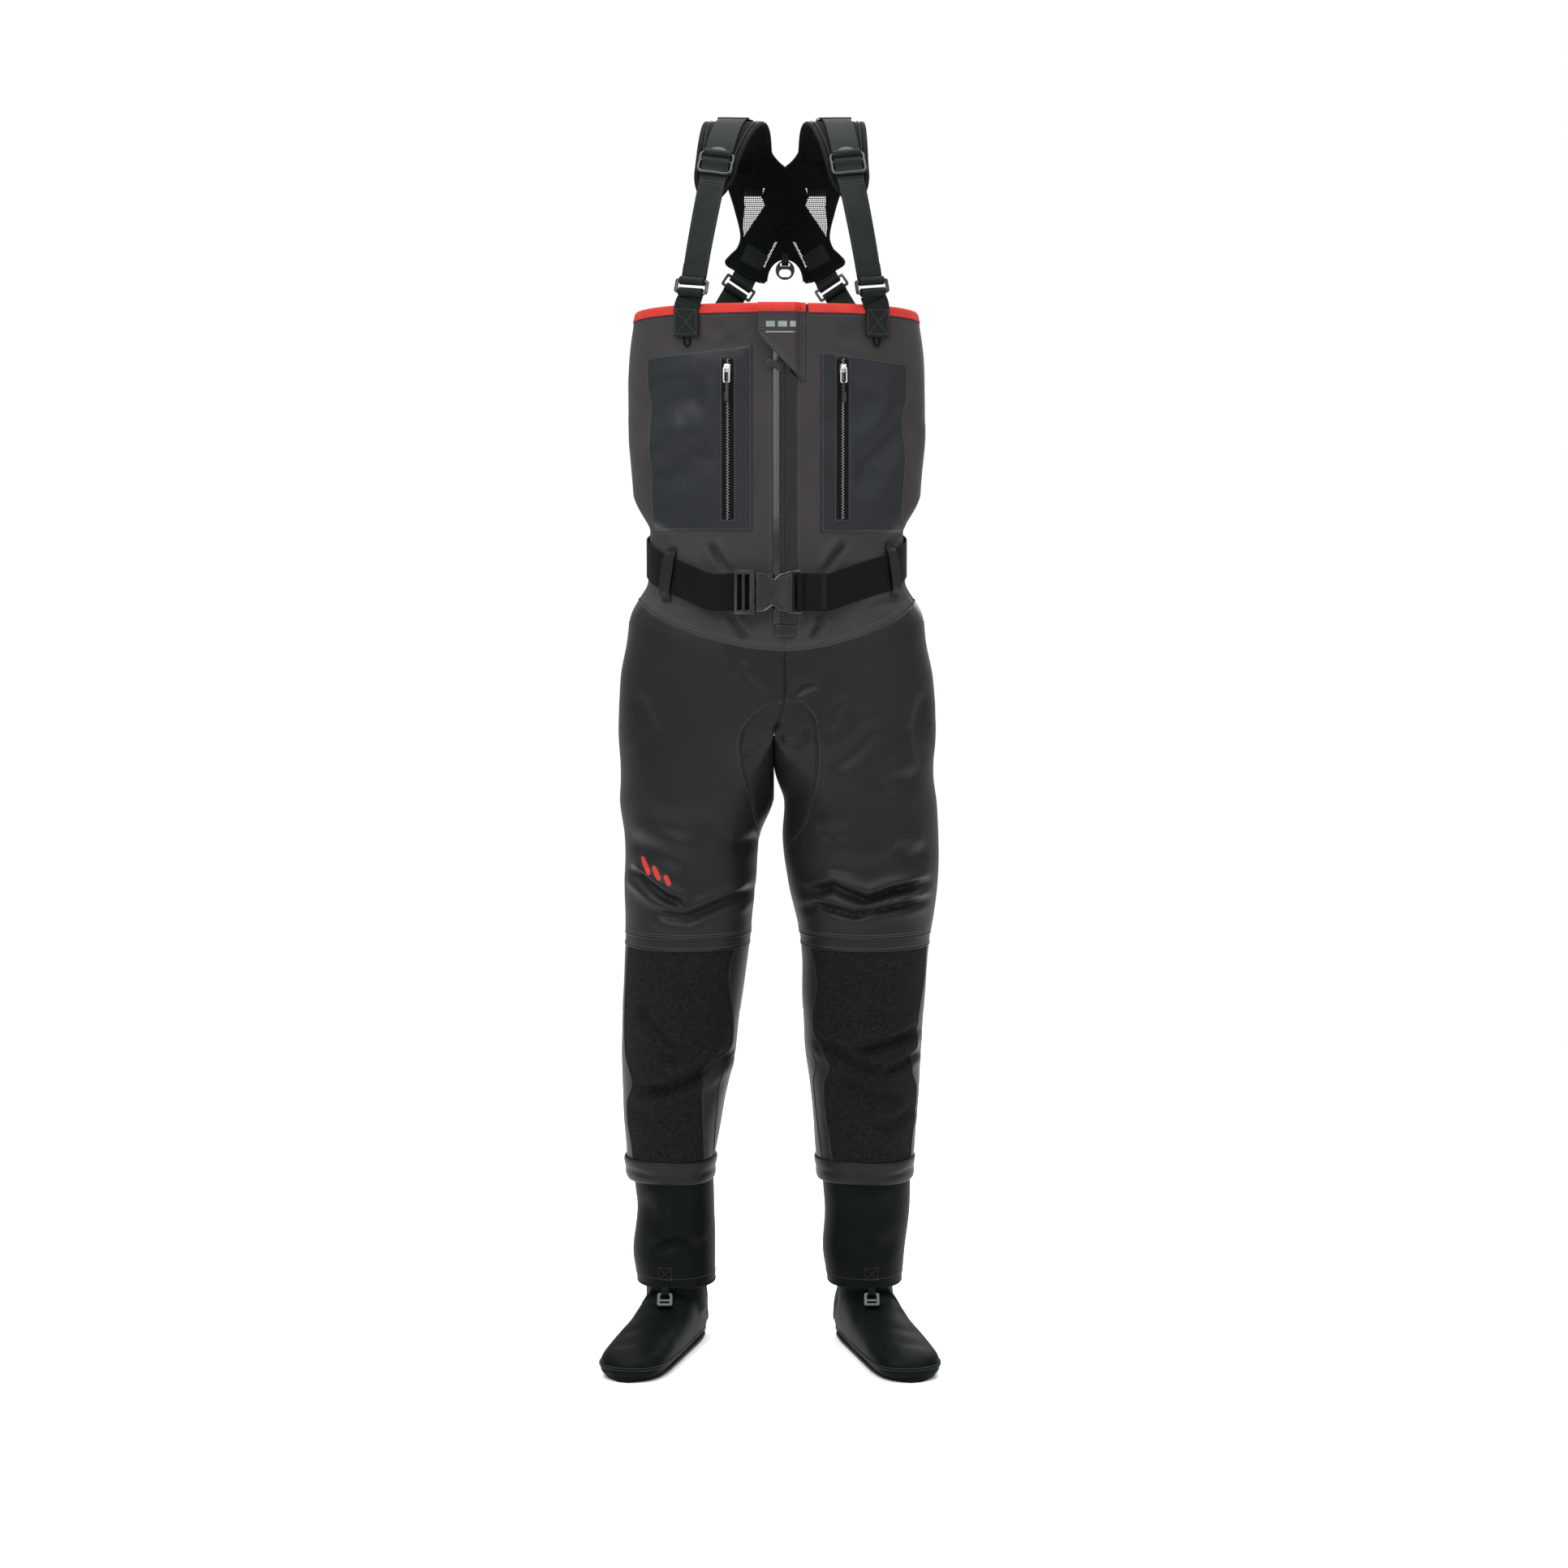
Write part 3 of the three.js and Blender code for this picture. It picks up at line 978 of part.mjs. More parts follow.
// Half of the yoke's outline as [x from the middle, height below the harness top], from the neck down.
const YOKE_HALF = [
  [0, -56],
  [22, -33],
  [80, -33],
  [84, -62],
  [70, -112],
  [62, -148],
  [64, -166],
  [84, -186],
  [30, -215],
  [25, -198],
  [17, -185],
  [0, -178],
];
function yokeSheet() {
  const outline = new THREE.Shape();
  YOKE_HALF.forEach(([x, z], i) => outline[i ? "lineTo" : "moveTo"](YOKE_MIDDLE + x, HARNESS_TOP + z));
  for (const [x, z] of YOKE_HALF.slice(1, -1).reverse()) outline.lineTo(YOKE_MIDDLE - x, HARNESS_TOP + z);
  const prism = new THREE.ExtrudeGeometry(outline, { depth: 400, bevelEnabled: false });
  const heights = [-225, -190, -150, -110, -95, -80, -65, -50, -30].map((dz) => HARNESS_TOP + dz);
  const layer = (h) => heights.map((z) => [-110, 120].map((x) => vec(x, yokeDepth(z) - h * (1 + Math.max(0, z - HARNESS_TOP + 108) / 60), z)));
  const stand = WEBBING_THICK / 2 + CLEAR;
  const sheet = manifold(slab(layer(stand), layer(stand + YOKE_THICK)));
  return sheet.intersect(manifold(prism.rotateX(Math.PI / 2).translate(0, 250, 0)));
}

const BACK_BUCKLE = { x: 66, y: 141, dz: -221 };
const BACK_ALONG = (s) => vec(-0.54 * s, 0.2, 0.81).normalize();
const RING_DROP = 6.5; // the ring's bar below the top of the yoke's arch
function backHarness() {
  const parts = [yokeSheet()];
  for (const side of SIDES) {
    const s = SIGN[side];
    const centre = vec(YOKE_MIDDLE + BACK_BUCKLE.x * s, BACK_BUCKLE.y, HARNESS_TOP + BACK_BUCKLE.dz);
    const along = BACK_ALONG(s);
    const across = vec(-0.83, 0, -0.55 * s).normalize();
    const out = across.clone().cross(along).normalize();
    add(`${side}_back_buckle`, gatedFrame(centre, across, along), PLASTIC);
    const high = centre.clone().addScaledVector(along, FRAME_BAR);
    const low = centre.clone().addScaledVector(along, -FRAME_BAR);
    const highFoot = high.clone().addScaledVector(out, EYE_STAND);
    const sewn = vec(YOKE_MIDDLE + 36 * s, YOKE_Y - 1.2, HARNESS_TOP - 170);
    const bend = highFoot.clone().lerp(sewn, 0.4).setY(YOKE_Y + 0.2);
    const strap = ribbon([highFoot, bend, sewn], () => across, WEBBING - 4, WEBBING_THICK);
    parts.push(strap, eye(high, across, WEBBING - 4));

    const lowFoot = low.clone().addScaledVector(out, EYE_STAND);
    const x = YOKE_MIDDLE + (BACK_BUCKLE.x + 31) * s;
    const edge = CHEST_EDGE - EDGE_SLOPE * 110;
    const tabAt = (z) => rear(x - 0.3 * s * (z - edge), z, TAB_STAND);
    const path = [tabAt(edge - 40), tabAt(edge - 12), tabAt(edge + 4), lowFoot];
    const tab = ribbon(path, (i) => (i < 3 ? rearAcross(x, edge - 20).negate() : across), WEBBING - 4, WEBBING_THICK);
    add(`${side}_back_tab`, tab.add(eye(low, across, WEBBING - 4)), WEB);
  }
  const archTop = HARNESS_TOP - 178;
  const ringBar = vec(YOKE_MIDDLE, YOKE_Y - 2.6, archTop - RING_DROP);
  const stub = box([YOKE_MIDDLE - 5, YOKE_Y - 4.1, archTop - RING_DROP + 3.4], [YOKE_MIDDLE + 5, YOKE_Y - 1.3, archTop + 4]);
  const hang = cord(
    [vec(-9, YOKE_Y - 3, -64), vec(-8, YOKE_Y + 3, -72), vec(0, YOKE_Y + 5, -76), vec(8, YOKE_Y + 3, -72), vec(9, YOKE_Y - 3, -64)].map(
      (p) => p.add(vec(YOKE_MIDDLE, 0, HARNESS_TOP - 68)),
    ),
    1.6,
  );
  add("back_yoke", union(...parts, stub, hang, eye(ringBar, vec(1, 0, 0), 10)), PAD);

  const disc = roundedOutline(27, 27, 13.4, THREE.Shape, 0, -27 / 2 + BAR / 2);
  disc.holes.push(roundedOutline(14, 4.4, 1.6, THREE.Path, 0, -BAR / 2 - 2.2));
  disc.holes.push(roundedOutline(17, 11, 5.4, THREE.Path, 0, -BAR / 2 - 14.2));
  add("net_ring", placed(plate(disc, -BAR / 2, BAR / 2, 4), ringBar, vec(-1, 0, 0), vec(0, 0, 1)), PLASTIC);
}

chestPanels();
legPanels();
feet();
guardHooks();
chestBinding();
pockets();
mainZip();
stormFlap();
belt();
buckle();
for (const side of SIDES) frontHarness(side);
backHarness();

// The origin stands at the middle of the floor under the object.
const bounds = new THREE.Box3().setFromObject(waders);
const middle = bounds.getCenter(vec(0, 0, 0));
waders.position.set(-middle.x, -middle.y, -bounds.min.z);

export default waders;
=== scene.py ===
import math

import bmesh
import bpy
import numpy as np
from bpy.props import FloatProperty, FloatVectorProperty, PointerProperty
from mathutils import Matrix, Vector
from mathutils.bvhtree import BVHTree


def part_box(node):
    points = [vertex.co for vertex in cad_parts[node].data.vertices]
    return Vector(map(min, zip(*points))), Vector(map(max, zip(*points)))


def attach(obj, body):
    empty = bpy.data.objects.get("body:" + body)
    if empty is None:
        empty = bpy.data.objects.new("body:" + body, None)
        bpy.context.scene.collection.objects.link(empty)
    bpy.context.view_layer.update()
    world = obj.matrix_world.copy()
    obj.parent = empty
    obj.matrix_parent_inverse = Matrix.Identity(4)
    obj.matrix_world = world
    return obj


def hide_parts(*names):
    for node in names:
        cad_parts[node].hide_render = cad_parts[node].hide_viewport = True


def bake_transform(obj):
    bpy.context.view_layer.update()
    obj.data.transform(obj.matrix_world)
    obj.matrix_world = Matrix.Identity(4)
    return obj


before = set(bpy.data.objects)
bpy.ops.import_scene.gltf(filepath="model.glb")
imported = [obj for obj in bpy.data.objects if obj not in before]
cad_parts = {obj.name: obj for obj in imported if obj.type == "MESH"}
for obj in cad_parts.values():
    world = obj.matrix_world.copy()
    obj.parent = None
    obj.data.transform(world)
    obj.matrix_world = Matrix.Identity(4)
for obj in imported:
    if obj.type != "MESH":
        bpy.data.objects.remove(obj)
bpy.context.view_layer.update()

bl_info = {
    "name": "Chest waders",
    "version": (1, 0, 0),
    "blender": (4, 5, 0),
    "location": "View3D > Sidebar > Waders",
    "description": "Builds the cloth, webbing and trim of a pair of chest waders around their frame",
    "category": "Object",
}

# ---------------------------------------------------------------- places
# Shapes are worked out in millimetres from the middle of the torso's front panel, then put in the frame.
MM = 0.001
ROOT = "waders"
SIDES = {"right": -1, "left": 1}
ZIP_X = 4.0
ZIP_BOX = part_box("main_zip")
ORIGIN = np.array([(ZIP_BOX[0][0] + ZIP_BOX[1][0]) / 2 - ZIP_X * MM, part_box("chest_back")[0][1] - 0.2 * MM,
                   0.0])
CREASED = 1.0  # share of the fold depths that is applied

INSEAM = 798.0
CUFF_HIGH = 252.0
KNEE_SEAM = 587.8
PANEL_TOP = 572.0
BELT_FRONT = 1063.0
BELT = 50.0
CHEST_EDGE = 1437.0
EDGE_SLOPE = 0.075
YOKE_SEAM = 985.0
YOKE_SLOPE = 0.4
HARNESS_TOP = 1707.0
CROTCH_X = -11.0


def linear(code):
    """An sRGB hex colour as linear red, green and blue."""
    parts = [int(code[i : i + 2], 16) / 255 for i in (1, 3, 5)]
    return [v / 12.92 if v <= 0.04045 else ((v + 0.055) / 1.055) ** 2.4 for v in parts]


def ease(t):
    """0 below 0, 1 above 1 and a smooth S between."""
    t = np.clip(t, 0, 1)
    return t * t * (3 - 2 * t)


def mix(a, b, t):
    return a + (b - a) * t


def unit(v):
    return v / np.maximum(np.linalg.norm(v, axis=-1, keepdims=True), 1e-9)


def signed_power(value, power):
    return np.sign(value) * np.abs(value) ** power


def rows_at(table, z):
    """The columns of a table at height z: cubic pieces whose slopes are those of the neighbouring rows."""
    table = np.asarray(table, float)
    z = np.asarray(z, float)
    last = len(table) - 1
    i = np.clip(np.searchsorted(table[:, 0], z, side="right") - 1, 0, last - 1)
    a, b = table[i], table[i + 1]
    before, after = table[np.maximum(i - 1, 0)], table[np.minimum(i + 2, last)]
    step = (b[..., :1] - a[..., :1])
    t = np.clip((z[..., None] - a[..., :1]) / step, -0.4, 1.4)
    slope_a = (b - before) / (b[..., :1] - before[..., :1]) * step
    slope_b = (after - a) / (after[..., :1] - a[..., :1]) * step
    t2, t3 = t * t, t * t * t
    value = (2 * t3 - 3 * t2 + 1) * a + (t3 - 2 * t2 + t) * slope_a + (3 * t2 - 2 * t3) * b + (t3
            - t2) * slope_b
    return [value[..., c] for c in range(1, table.shape[1])]


# ---------------------------------------------------------------- folds
def crease(x, z, route, width, depth, lip=0.55):
    """A fold along a route in the front view. Across the route the height is a valley, minus the depth times
    a bell, with a lower bell on either side where the cloth rolls up. It fades out towards both ends."""
    route = np.asarray(route, float)
    ends = route[1:] - route[:-1]
    lengths = np.linalg.norm(ends, axis=1)
    total = lengths.sum()
    best = np.full(np.shape(x), 1e9)
    side = np.zeros_like(best)
    share = np.zeros_like(best)
    run = 0.0
    for start, way, length in zip(route[:-1], ends, lengths):
        t = np.clip(((x - start[0]) * way[0] + (z - start[1]) * way[1]) / length**2, 0, 1)
        dx, dz = x - start[0] - t * way[0], z - start[1] - t * way[1]
        gap = np.hypot(dx, dz)
        near = gap < best
        best = np.where(near, gap, best)
        side = np.where(near, np.sign(way[0] * dz - way[1] * dx) * np.sign(way[0] + 1e-6), side)
        share = np.where(near, (run + t * length) / total, share)
        run += length
    d = best * side / width
    fade = ease(share / 0.22) * ease((1 - share) / 0.22)
    roll = np.exp(-(((d - 1.7) / 1.1) ** 2)) + 0.5 * np.exp(-(((d + 1.8) / 1.2) ** 2))
    return depth * fade * (lip * roll - np.exp(-(d**2)))


def creases(x, z, table):
    return CREASED * sum(crease(x, z, *row) for row in table)


def ripple(x, z, wide, tall, seed):
    """Low uneven waves: the sum of four sines whose directions and phases come from a seeded draw."""
    draw = np.random.default_rng(seed)
    total = 0.0
    for k in range(4):
        turn, phase = draw.uniform(-0.6, 0.6), draw.uniform(0, 6.28)
        total = total + np.sin((x / wide + turn * z / tall) * (1 + 0.37 * k)
                               + phase) * np.cos(z / tall * (1 + 0.31 * k) + turn)
    return total / 4


# Rows of [route of (x, z) points, half width, depth], and sometimes the height of the lips.
CHEST_FOLDS = [
    ([(-98, 1130), (-85, 1108), (-72, 1086)], 5.5, 8.5),
    ([(88, 1132), (70, 1110), (58, 1084)], 5.5, 8.5),
    ([(-72, 1042), (-65, 1022), (-45, 996)], 5.5, 8.0),
    ([(50, 1046), (53, 1022), (38, 996)], 5.5, 8.0),
    ([(-182, 1150), (-160, 1136), (-150, 1128)], 8, 3.5),
    ([(176, 1142), (156, 1132), (140, 1124)], 8, 3.5),
    ([(-178, 1062), (-150, 1052), (-120, 1046)], 6, 4.0),
    ([(170, 1054), (140, 1048), (118, 1040)], 6, 4.0),
    ([(-96, 1420), (-78, 1404), (-66, 1390)], 12, 3.0),
    ([(120, 1424), (96, 1406), (70, 1402)], 13, 3.4),
    ([(-190, 1372), (-184, 1300), (-186, 1240)], 12, 2.5),
    ([(186, 1360), (180, 1290), (183, 1220)], 12, 2.5),
    ([(-30, 1330), (-24, 1250), (-30, 1170)], 9, 1.2),
    ([(36, 1340), (30, 1260), (37, 1170)], 9, 1.2),
    ([(-186, 1296), (-150, 1322), (-96, 1326)], 20, 5.5),
    ([(-186, 1212), (-140, 1230), (-100, 1266)], 22, 6.5),
    ([(182, 1322), (150, 1272), (116, 1236), (102, 1186)], 19, 7.0),
    ([(44, 1290), (100, 1296), (134, 1330)], 17, 4.5),
    ([(-124, 1398), (-84, 1384), (-48, 1396)], 10, 2.6),
]
CHEST_BACK_FOLDS = [
    ([(-120, 1150), (-100, 1180), (-92, 1220)], 10, 4.5),
    ([(-40, 1150), (-36, 1190), (-44, 1240)], 9, 3.5),
    ([(44, 1152), (34, 1190), (40, 1250)], 9, 3.5),
    ([(118, 1150), (96, 1184), (90, 1230)], 10, 4.5),
    ([(-150, 1360), (-60, 1330), (0, 1338), (80, 1326), (150, 1350)], 16, 3.0),
]
HIP_FOLDS = [
    ([(-66, 964), (-44, 940), (-20, 918)], 6, 4.0),
    ([(14, 922), (30, 934), (50, 938)], 5, 4.5),
    ([(58, 872), (70, 900), (88, 926)], 9, 3.5),
    ([(60, 822), (96, 846), (140, 890)], 13, 6.0),
    ([(130, 792), (155, 806), (190, 806)], 12, 3.5),
    ([(-200, 930), (-180, 880), (-190, 830)], 12, 3.5),
    ([(196, 930), (186, 880), (196, 820)], 10, 4.0),
    ([(-52, 850), (-34, 843), (-8, 826)], 6, 6.0),
    ([(-8, 888), (-3, 872), (2, 852)], 5, 5.0),
    ([(40, 886), (26, 864), (8, 850)], 6, 6.0),
    ([(-185, 752), (-130, 742), (-80, 754)], 16, 3.5),
    ([(-66, 708), (-50, 716), (-30, 722)], 10, 3.0),
    ([(44, 738), (66, 732), (92, 742)], 10, 3.5),
    ([(150, 720), (176, 700), (204, 706)], 12, 4.0),
    ([(-70, 1000), (-60, 975), (-62, 950)], 9, 2.0),
    ([(56, 1000), (48, 975), (52, 946)], 9, 2.0),
]
KNEE_FOLDS = [
    ([(-216, 682), (-190, 668), (-160, 646), (-122, 630)], 7.5, 10.0, 0.8),
    ([(-182, 634), (-158, 622), (-128, 618), (-90, 632), (-30, 654)], 8, 8.5, 0.7),
    ([(-216, 716), (-180, 712), (-120, 690)], 14, 4.5),
    ([(22, 646), (70, 660), (116, 642), (150, 654), (214, 664)], 7, 9.5, 0.8),
    ([(22, 618), (46, 634), (100, 622), (150, 632), (212, 640)], 6, 7.5, 0.7),
    ([(60, 690), (110, 684), (170, 694)], 14, 3.5),
]
SHIN_FOLDS = [
    ([(-196, 500), (-182, 470), (-160, 446), (-132, 420)], 8, 5.5),
    ([(-206, 384), (-190, 372), (-157, 377), (-113, 398), (-62, 428)], 9, 10.5, 0.8),
    ([(-170, 428), (-150, 416), (-128, 408)], 7, 4.0),
    ([(-214, 346), (-180, 330), (-140, 334)], 12, 3.5),
    ([(-196, 300), (-160, 290), (-120, 302)], 12, 2.5),
    ([(88, 426), (137, 440), (196, 458)], 8, 8.0, 0.8),
    ([(40, 444), (70, 432), (99, 416), (140, 400)], 8, 7.5, 0.7),
    ([(134, 396), (162, 408), (196, 424)], 6, 5.5),
    ([(74, 390), (121, 367), (168, 360)], 9, 6.0),
    ([(120, 316), (160, 326), (188, 346)], 9, 4.0),
    ([(60, 520), (110, 510), (150, 516)], 16, 2.5),
]
GUARD_FOLDS = [
    ([(-186, 138), (-148, 152), (-106, 140)], 9, 5.0),
    ([(-206, 214), (-178, 190), (-150, 196)], 16, 2.4),
    ([(70, 152), (118, 142), (166, 156)], 12, 2.6),
    ([(84, 214), (120, 190), (166, 204)], 16, 2.4),
]
CUFF_FOLDS = [
    ([(-214, 254), (-180, 248), (-130, 246), (-96, 252)], 3.4, 1.6),
    ([(54, 252), (90, 250), (140, 246), (182, 254)], 3.4, 1.6),
]
BACK_LEG_FOLDS = [
    ([(-210, 640), (-130, 622), (-40, 640)], 9, 7.0),
    ([(-206, 560), (-130, 575), (-50, 558)], 9, 6.0),
    ([(-206, 500), (-130, 520), (-60, 500)], 10, 5.0),
    ([(30, 640), (110, 620), (200, 642)], 9, 7.0),
    ([(34, 560), (110, 574), (196, 556)], 9, 6.0),
    ([(34, 500), (110, 520), (190, 498)], 10, 5.0),
    ([(-180, 850), (-110, 820), (-30, 800)], 12, 5.0),
    ([(180, 850), (100, 820), (20, 800)], 12, 5.0),
    ([(-160, 780), (-100, 762), (-40, 756)], 12, 4.0),
    ([(160, 780), (90, 762), (30, 756)], 12, 4.0),
]

# ---------------------------------------------------------------- torso
TORSO_X = -7.0
SQUARENESS = 2.4
SIDE_CINCH = 0.12
FRONT_CINCH = 0.012
# Rows of [height, half width, front depth, back depth].
TORSO = [
    [778, 220, 112, 128],
    [858, 220, 119, 138],
    [938, 216, 122, 134],
    [998, 205, 122, 122],
    [1098, 200, 122, 110],
    [1178, 197, 122, 114],
    [1268, 202, 122, 120],
    [1367, 202, 122, 120],
    [1427, 195, 122, 116],
    [1467, 186, 121, 112],
]


def belt_line(angle):
    """The belt's centre height: level at the front and rising to the back."""
    back = (1 + np.sin(angle)) / 2
    return BELT_FRONT + 55 * (1 - (1 - back) ** 2.5)


def cinch(dz):
    """1 under the belt, falling to 0 where the cloth is free again."""
    return 1 - ease((np.abs(dz) - BELT / 2 - 8) / 54)


def torso_at(angle, z, h=0.0, folded=True):
    """A superellipse section whose half width and depth follow the height, drawn in under the belt; h is the
    distance outside it, to which the folds are added."""
    angle, z = np.broadcast_arrays(np.asarray(angle, float), np.asarray(z, float))
    half, front, back = rows_at(TORSO, z)
    c, s = np.cos(angle), np.sin(angle)
    dz = z - belt_line(angle)
    nip = cinch(dz)
    a = half * (1 - SIDE_CINCH * nip)
    b = np.where(s < 0, front, back) * (1 - FRONT_CINCH * nip)
    power = 2 / SQUARENESS
    normal = unit(np.stack([signed_power(c, 2 - power) / a, signed_power(s, 2 - power) / b, np.zeros_like(z)],
                           -1))
    point = np.stack([TORSO_X + a * signed_power(c, power), b * signed_power(s, power), z], -1)
    lift = h
    if folded:
        x = point[..., 0]
        before = ease((0.25 - s) / 0.5)
        free = 1 - np.exp(-((dz / 34) ** 4))
        gathers = np.exp(-(((np.abs(dz) - 52) / 22) ** 2)) * np.sin(angle * 23 + 2 * np.sin(angle * 3))
        ease_off = ease((np.abs(x - ZIP_X) - 18) / 30)
        beside_zips = np.exp(-(((x + 72) / 15) ** 2)) + np.exp(-(((x - 81) / 15) ** 2))
        free = free * (1 - 0.94 * before * beside_zips * ease((z - 1130) / 24) * ease((1394 - z) / 16))
        fold = before * creases(x, z, CHEST_FOLDS + HIP_FOLDS) + (1 - before) * creases(x, z,
                CHEST_BACK_FOLDS)
        lift = h + free * (fold + (0.4 + 1.4 * (1 - before)) * gathers * ease_off
                           + 1.3 * ripple(x, z, 34, 46, 3) * ease_off)
    return point + normal * np.asarray(lift)[..., None]


def torso_angle(x, z, side=-1):
    """The angle at which the front (side -1) or back has this x."""
    x, z = np.broadcast_arrays(np.asarray(x, float), np.asarray(z, float))
    angle = np.full(x.shape, side * math.pi / 2)
    for _ in range(5):
        half = rows_at(TORSO, z)[0] * (1 - SIDE_CINCH * cinch(z - belt_line(angle)))
        share = np.minimum(1, np.abs(x - TORSO_X) / half) ** (SQUARENESS / 2) * np.sign(x - TORSO_X)
        angle = side * np.arccos(share)
    return angle


def front_at(x, z, h=0.0, folded=True):
    return torso_at(torso_angle(x, z, -1), z, h, folded)


def rear_at(x, z, h=0.0, folded=True):
    return torso_at(torso_angle(x, z, 1), z, h, folded)


def seam_at(x, y):
    """Height of the seam under the belt: it slopes up to the back, and at the front curves up to the hips."""
    hips = 34 * (1 - np.exp(-(((x - ZIP_X) / 150) ** 2))) * ease((60 - y) / 120)
    return YOKE_SEAM + YOKE_SLOPE * (y + 122) + hips


def seam_height(angle):
    """Where that seam crosses the torso at this angle."""
    z = np.full(np.shape(angle), YOKE_SEAM)
    for _ in range(6):
        point = torso_at(angle, z, 0, False)
        z = seam_at(point[..., 0], point[..., 1])
    return z


def edge_height(angle):
    z = np.full(np.shape(angle), CHEST_EDGE)
    for _ in range(4):
        z = CHEST_EDGE - EDGE_SLOPE * torso_at(angle, z, 0, False)[..., 1]
    return z


# ---------------------------------------------------------------- legs
# Rows of [share of the way from cuff to crotch, centre x, half width, centre y, half depth].
LEGS = {
    "right": [
        [-0.06, -154, 57, 16, 62],
        [0, -157, 61, 15, 67],
        [0.16, -152, 71, 11, 77],
        [0.3, -145, 80, 2, 83],
        [0.42, -140, 82, -6, 85],
        [0.6, -131, 87, -5, 93],
        [0.74, -127, 91, 0, 101],
        [0.86, -125, 94, 4, 107],
        [0.94, -119, 106, 7, 113],
        [1, -115, 108, 8, 118],
        [1.14, -113, 105, 8, 121],
    ],
    "left": [
        [-0.06, 119, 63, 16, 62],
        [0, 117, 67, 15, 67],
        [0.16, 117, 75, 11, 77],
        [0.3, 114, 81, 2, 83],
        [0.42, 114, 85, -6, 85],
        [0.6, 116, 90, -5, 93],
        [0.74, 113, 104, 0, 101],
        [0.86, 109, 108, 4, 107],
        [0.94, 109, 106, 7, 113],
        [1, 106, 105, 8, 118],
        [1.14, 101, 104, 8, 121],
    ],
}
GUARD = {
    "right": [[87, -149, 55, 12, 60], [130, -152, 58, 15, 62], [190, -150, 55, 16, 61],
              [252, -154, 57, 16, 62]],
    "left": [[87, 117, 52, 12, 59], [130, 116, 58, 15, 62], [190, 120, 60, 16, 62], [252, 119, 63, 16, 63]],
}
CORNER = math.radians(52)  # a leg's front inner corner, where the hips begin


def tube_at(table, theta, z, h=0.0):
    """An ellipse whose centre and halves follow the height."""
    x, half, y, deep = rows_at(table, z)
    return np.stack([x + (half + h) * np.cos(theta), y + (deep + h) * np.sin(theta),
                     np.broadcast_to(z, x.shape)], -1)


def leg_at(side, theta, z, h=0.0, folded=True):
    """The leg below the hips, with its folds pushed out from its middle line."""
    theta, z = np.broadcast_arrays(np.asarray(theta, float), np.asarray(z, float))
    share = np.clip((z - CUFF_HIGH) / (INSEAM - CUFF_HIGH), -0.06, 1.14)
    point = tube_at(LEGS[side], theta, share)
    x = point[..., 0]
    lift = np.asarray(h, float)
    if folded:
        before = ease((0.2 - np.sin(theta)) / 0.5)
        fold = before * creases(x, z, SHIN_FOLDS + KNEE_FOLDS + HIP_FOLDS) + (1 - before) * creases(x, z,
                BACK_LEG_FOLDS)
        tied = ease((z - CUFF_HIGH) / 26) * (1 - 0.85 * np.exp(-(((z - KNEE_SEAM + 6) / 13) ** 2)))
        lift = h + tied * (fold + 1.6 * ripple(x + 40 * np.sin(theta), z, 26, 38, 11))
    away = np.stack([np.cos(theta), np.sin(theta), np.zeros_like(z)], -1)
    point = np.concatenate([point[..., :2], z[..., None]], -1)
    return point + away * np.asarray(lift)[..., None]


def divide_at(z):
    """The upright plane between the legs, which leans over to the front seam above the gusset."""
    return mix(CROTCH_X, 4.0, ease((z - 862) / 60))


def hip_ring(side, u, z, h=0.0):
    """Round one leg of the trousers: u runs 0 to 1 from the front middle round the outer side to the back
    middle, then 1 to 2 back along the plane between the legs. Each ring blends the leg's ellipse into the
    torso's section over the height of the crotch, and never crosses that plane."""
    s = SIDES[side]
    outer = u <= 1
    turn = np.where(outer, mix(CORNER, 2 * math.pi - CORNER, u), mix(-CORNER, CORNER, u - 1))
    theta = np.where(s < 0, -turn, turn - math.pi)
    leg = leg_at(side, theta, z, h)
    inner_wall = np.sin(math.pi * np.clip(u - 1, 0, 1))
    blend = ease((z - mix(786, 768, inner_wall)) / mix(92, 52, inner_wall))
    plane = divide_at(z)
    a_front, a_back = torso_angle(plane, z, -1), torso_angle(plane, z, 1)
    if s < 0:
        around = mix(a_front, a_back - 2 * math.pi, np.clip(u, 0, 1))
    else:
        around = mix(a_front, a_back, np.clip(u, 0, 1))
    body = torso_at(around, z, h)
    back = torso_at(a_back, z, h)
    fore = torso_at(a_front, z, h)
    inside = mix(back, fore, np.clip(u - 1, 0, 1)[..., None])
    inside[..., 0] = plane
    body = np.where(outer[..., None], body, inside)
    point = mix(leg, body, blend[..., None])
    near = plane + s * 0.02
    point[..., 0] = np.where(z > 700, np.minimum(point[..., 0], near)
                             if s < 0 else np.maximum(point[..., 0], near), point[..., 0])
    return point


HIP_OUTER = 150
HIP_INNER = 44
HIP_ROWS = 150


def hip_grid(side):
    """Rows from the knee seam up to the sloping seam under the belt."""
    u = np.concatenate([np.linspace(0, 1, HIP_OUTER), np.linspace(1, 2, HIP_INNER + 1)[1:-1]])
    top = np.full(u.shape, YOKE_SEAM)
    for _ in range(6):
        point = hip_ring(side, u, top)
        top = seam_at(point[..., 0], point[..., 1]) - 0.3
    z = mix(KNEE_SEAM + 0.3, top[None, :], np.linspace(0, 1, HIP_ROWS)[:, None])
    return hip_ring(side, np.broadcast_to(u, z.shape), z)


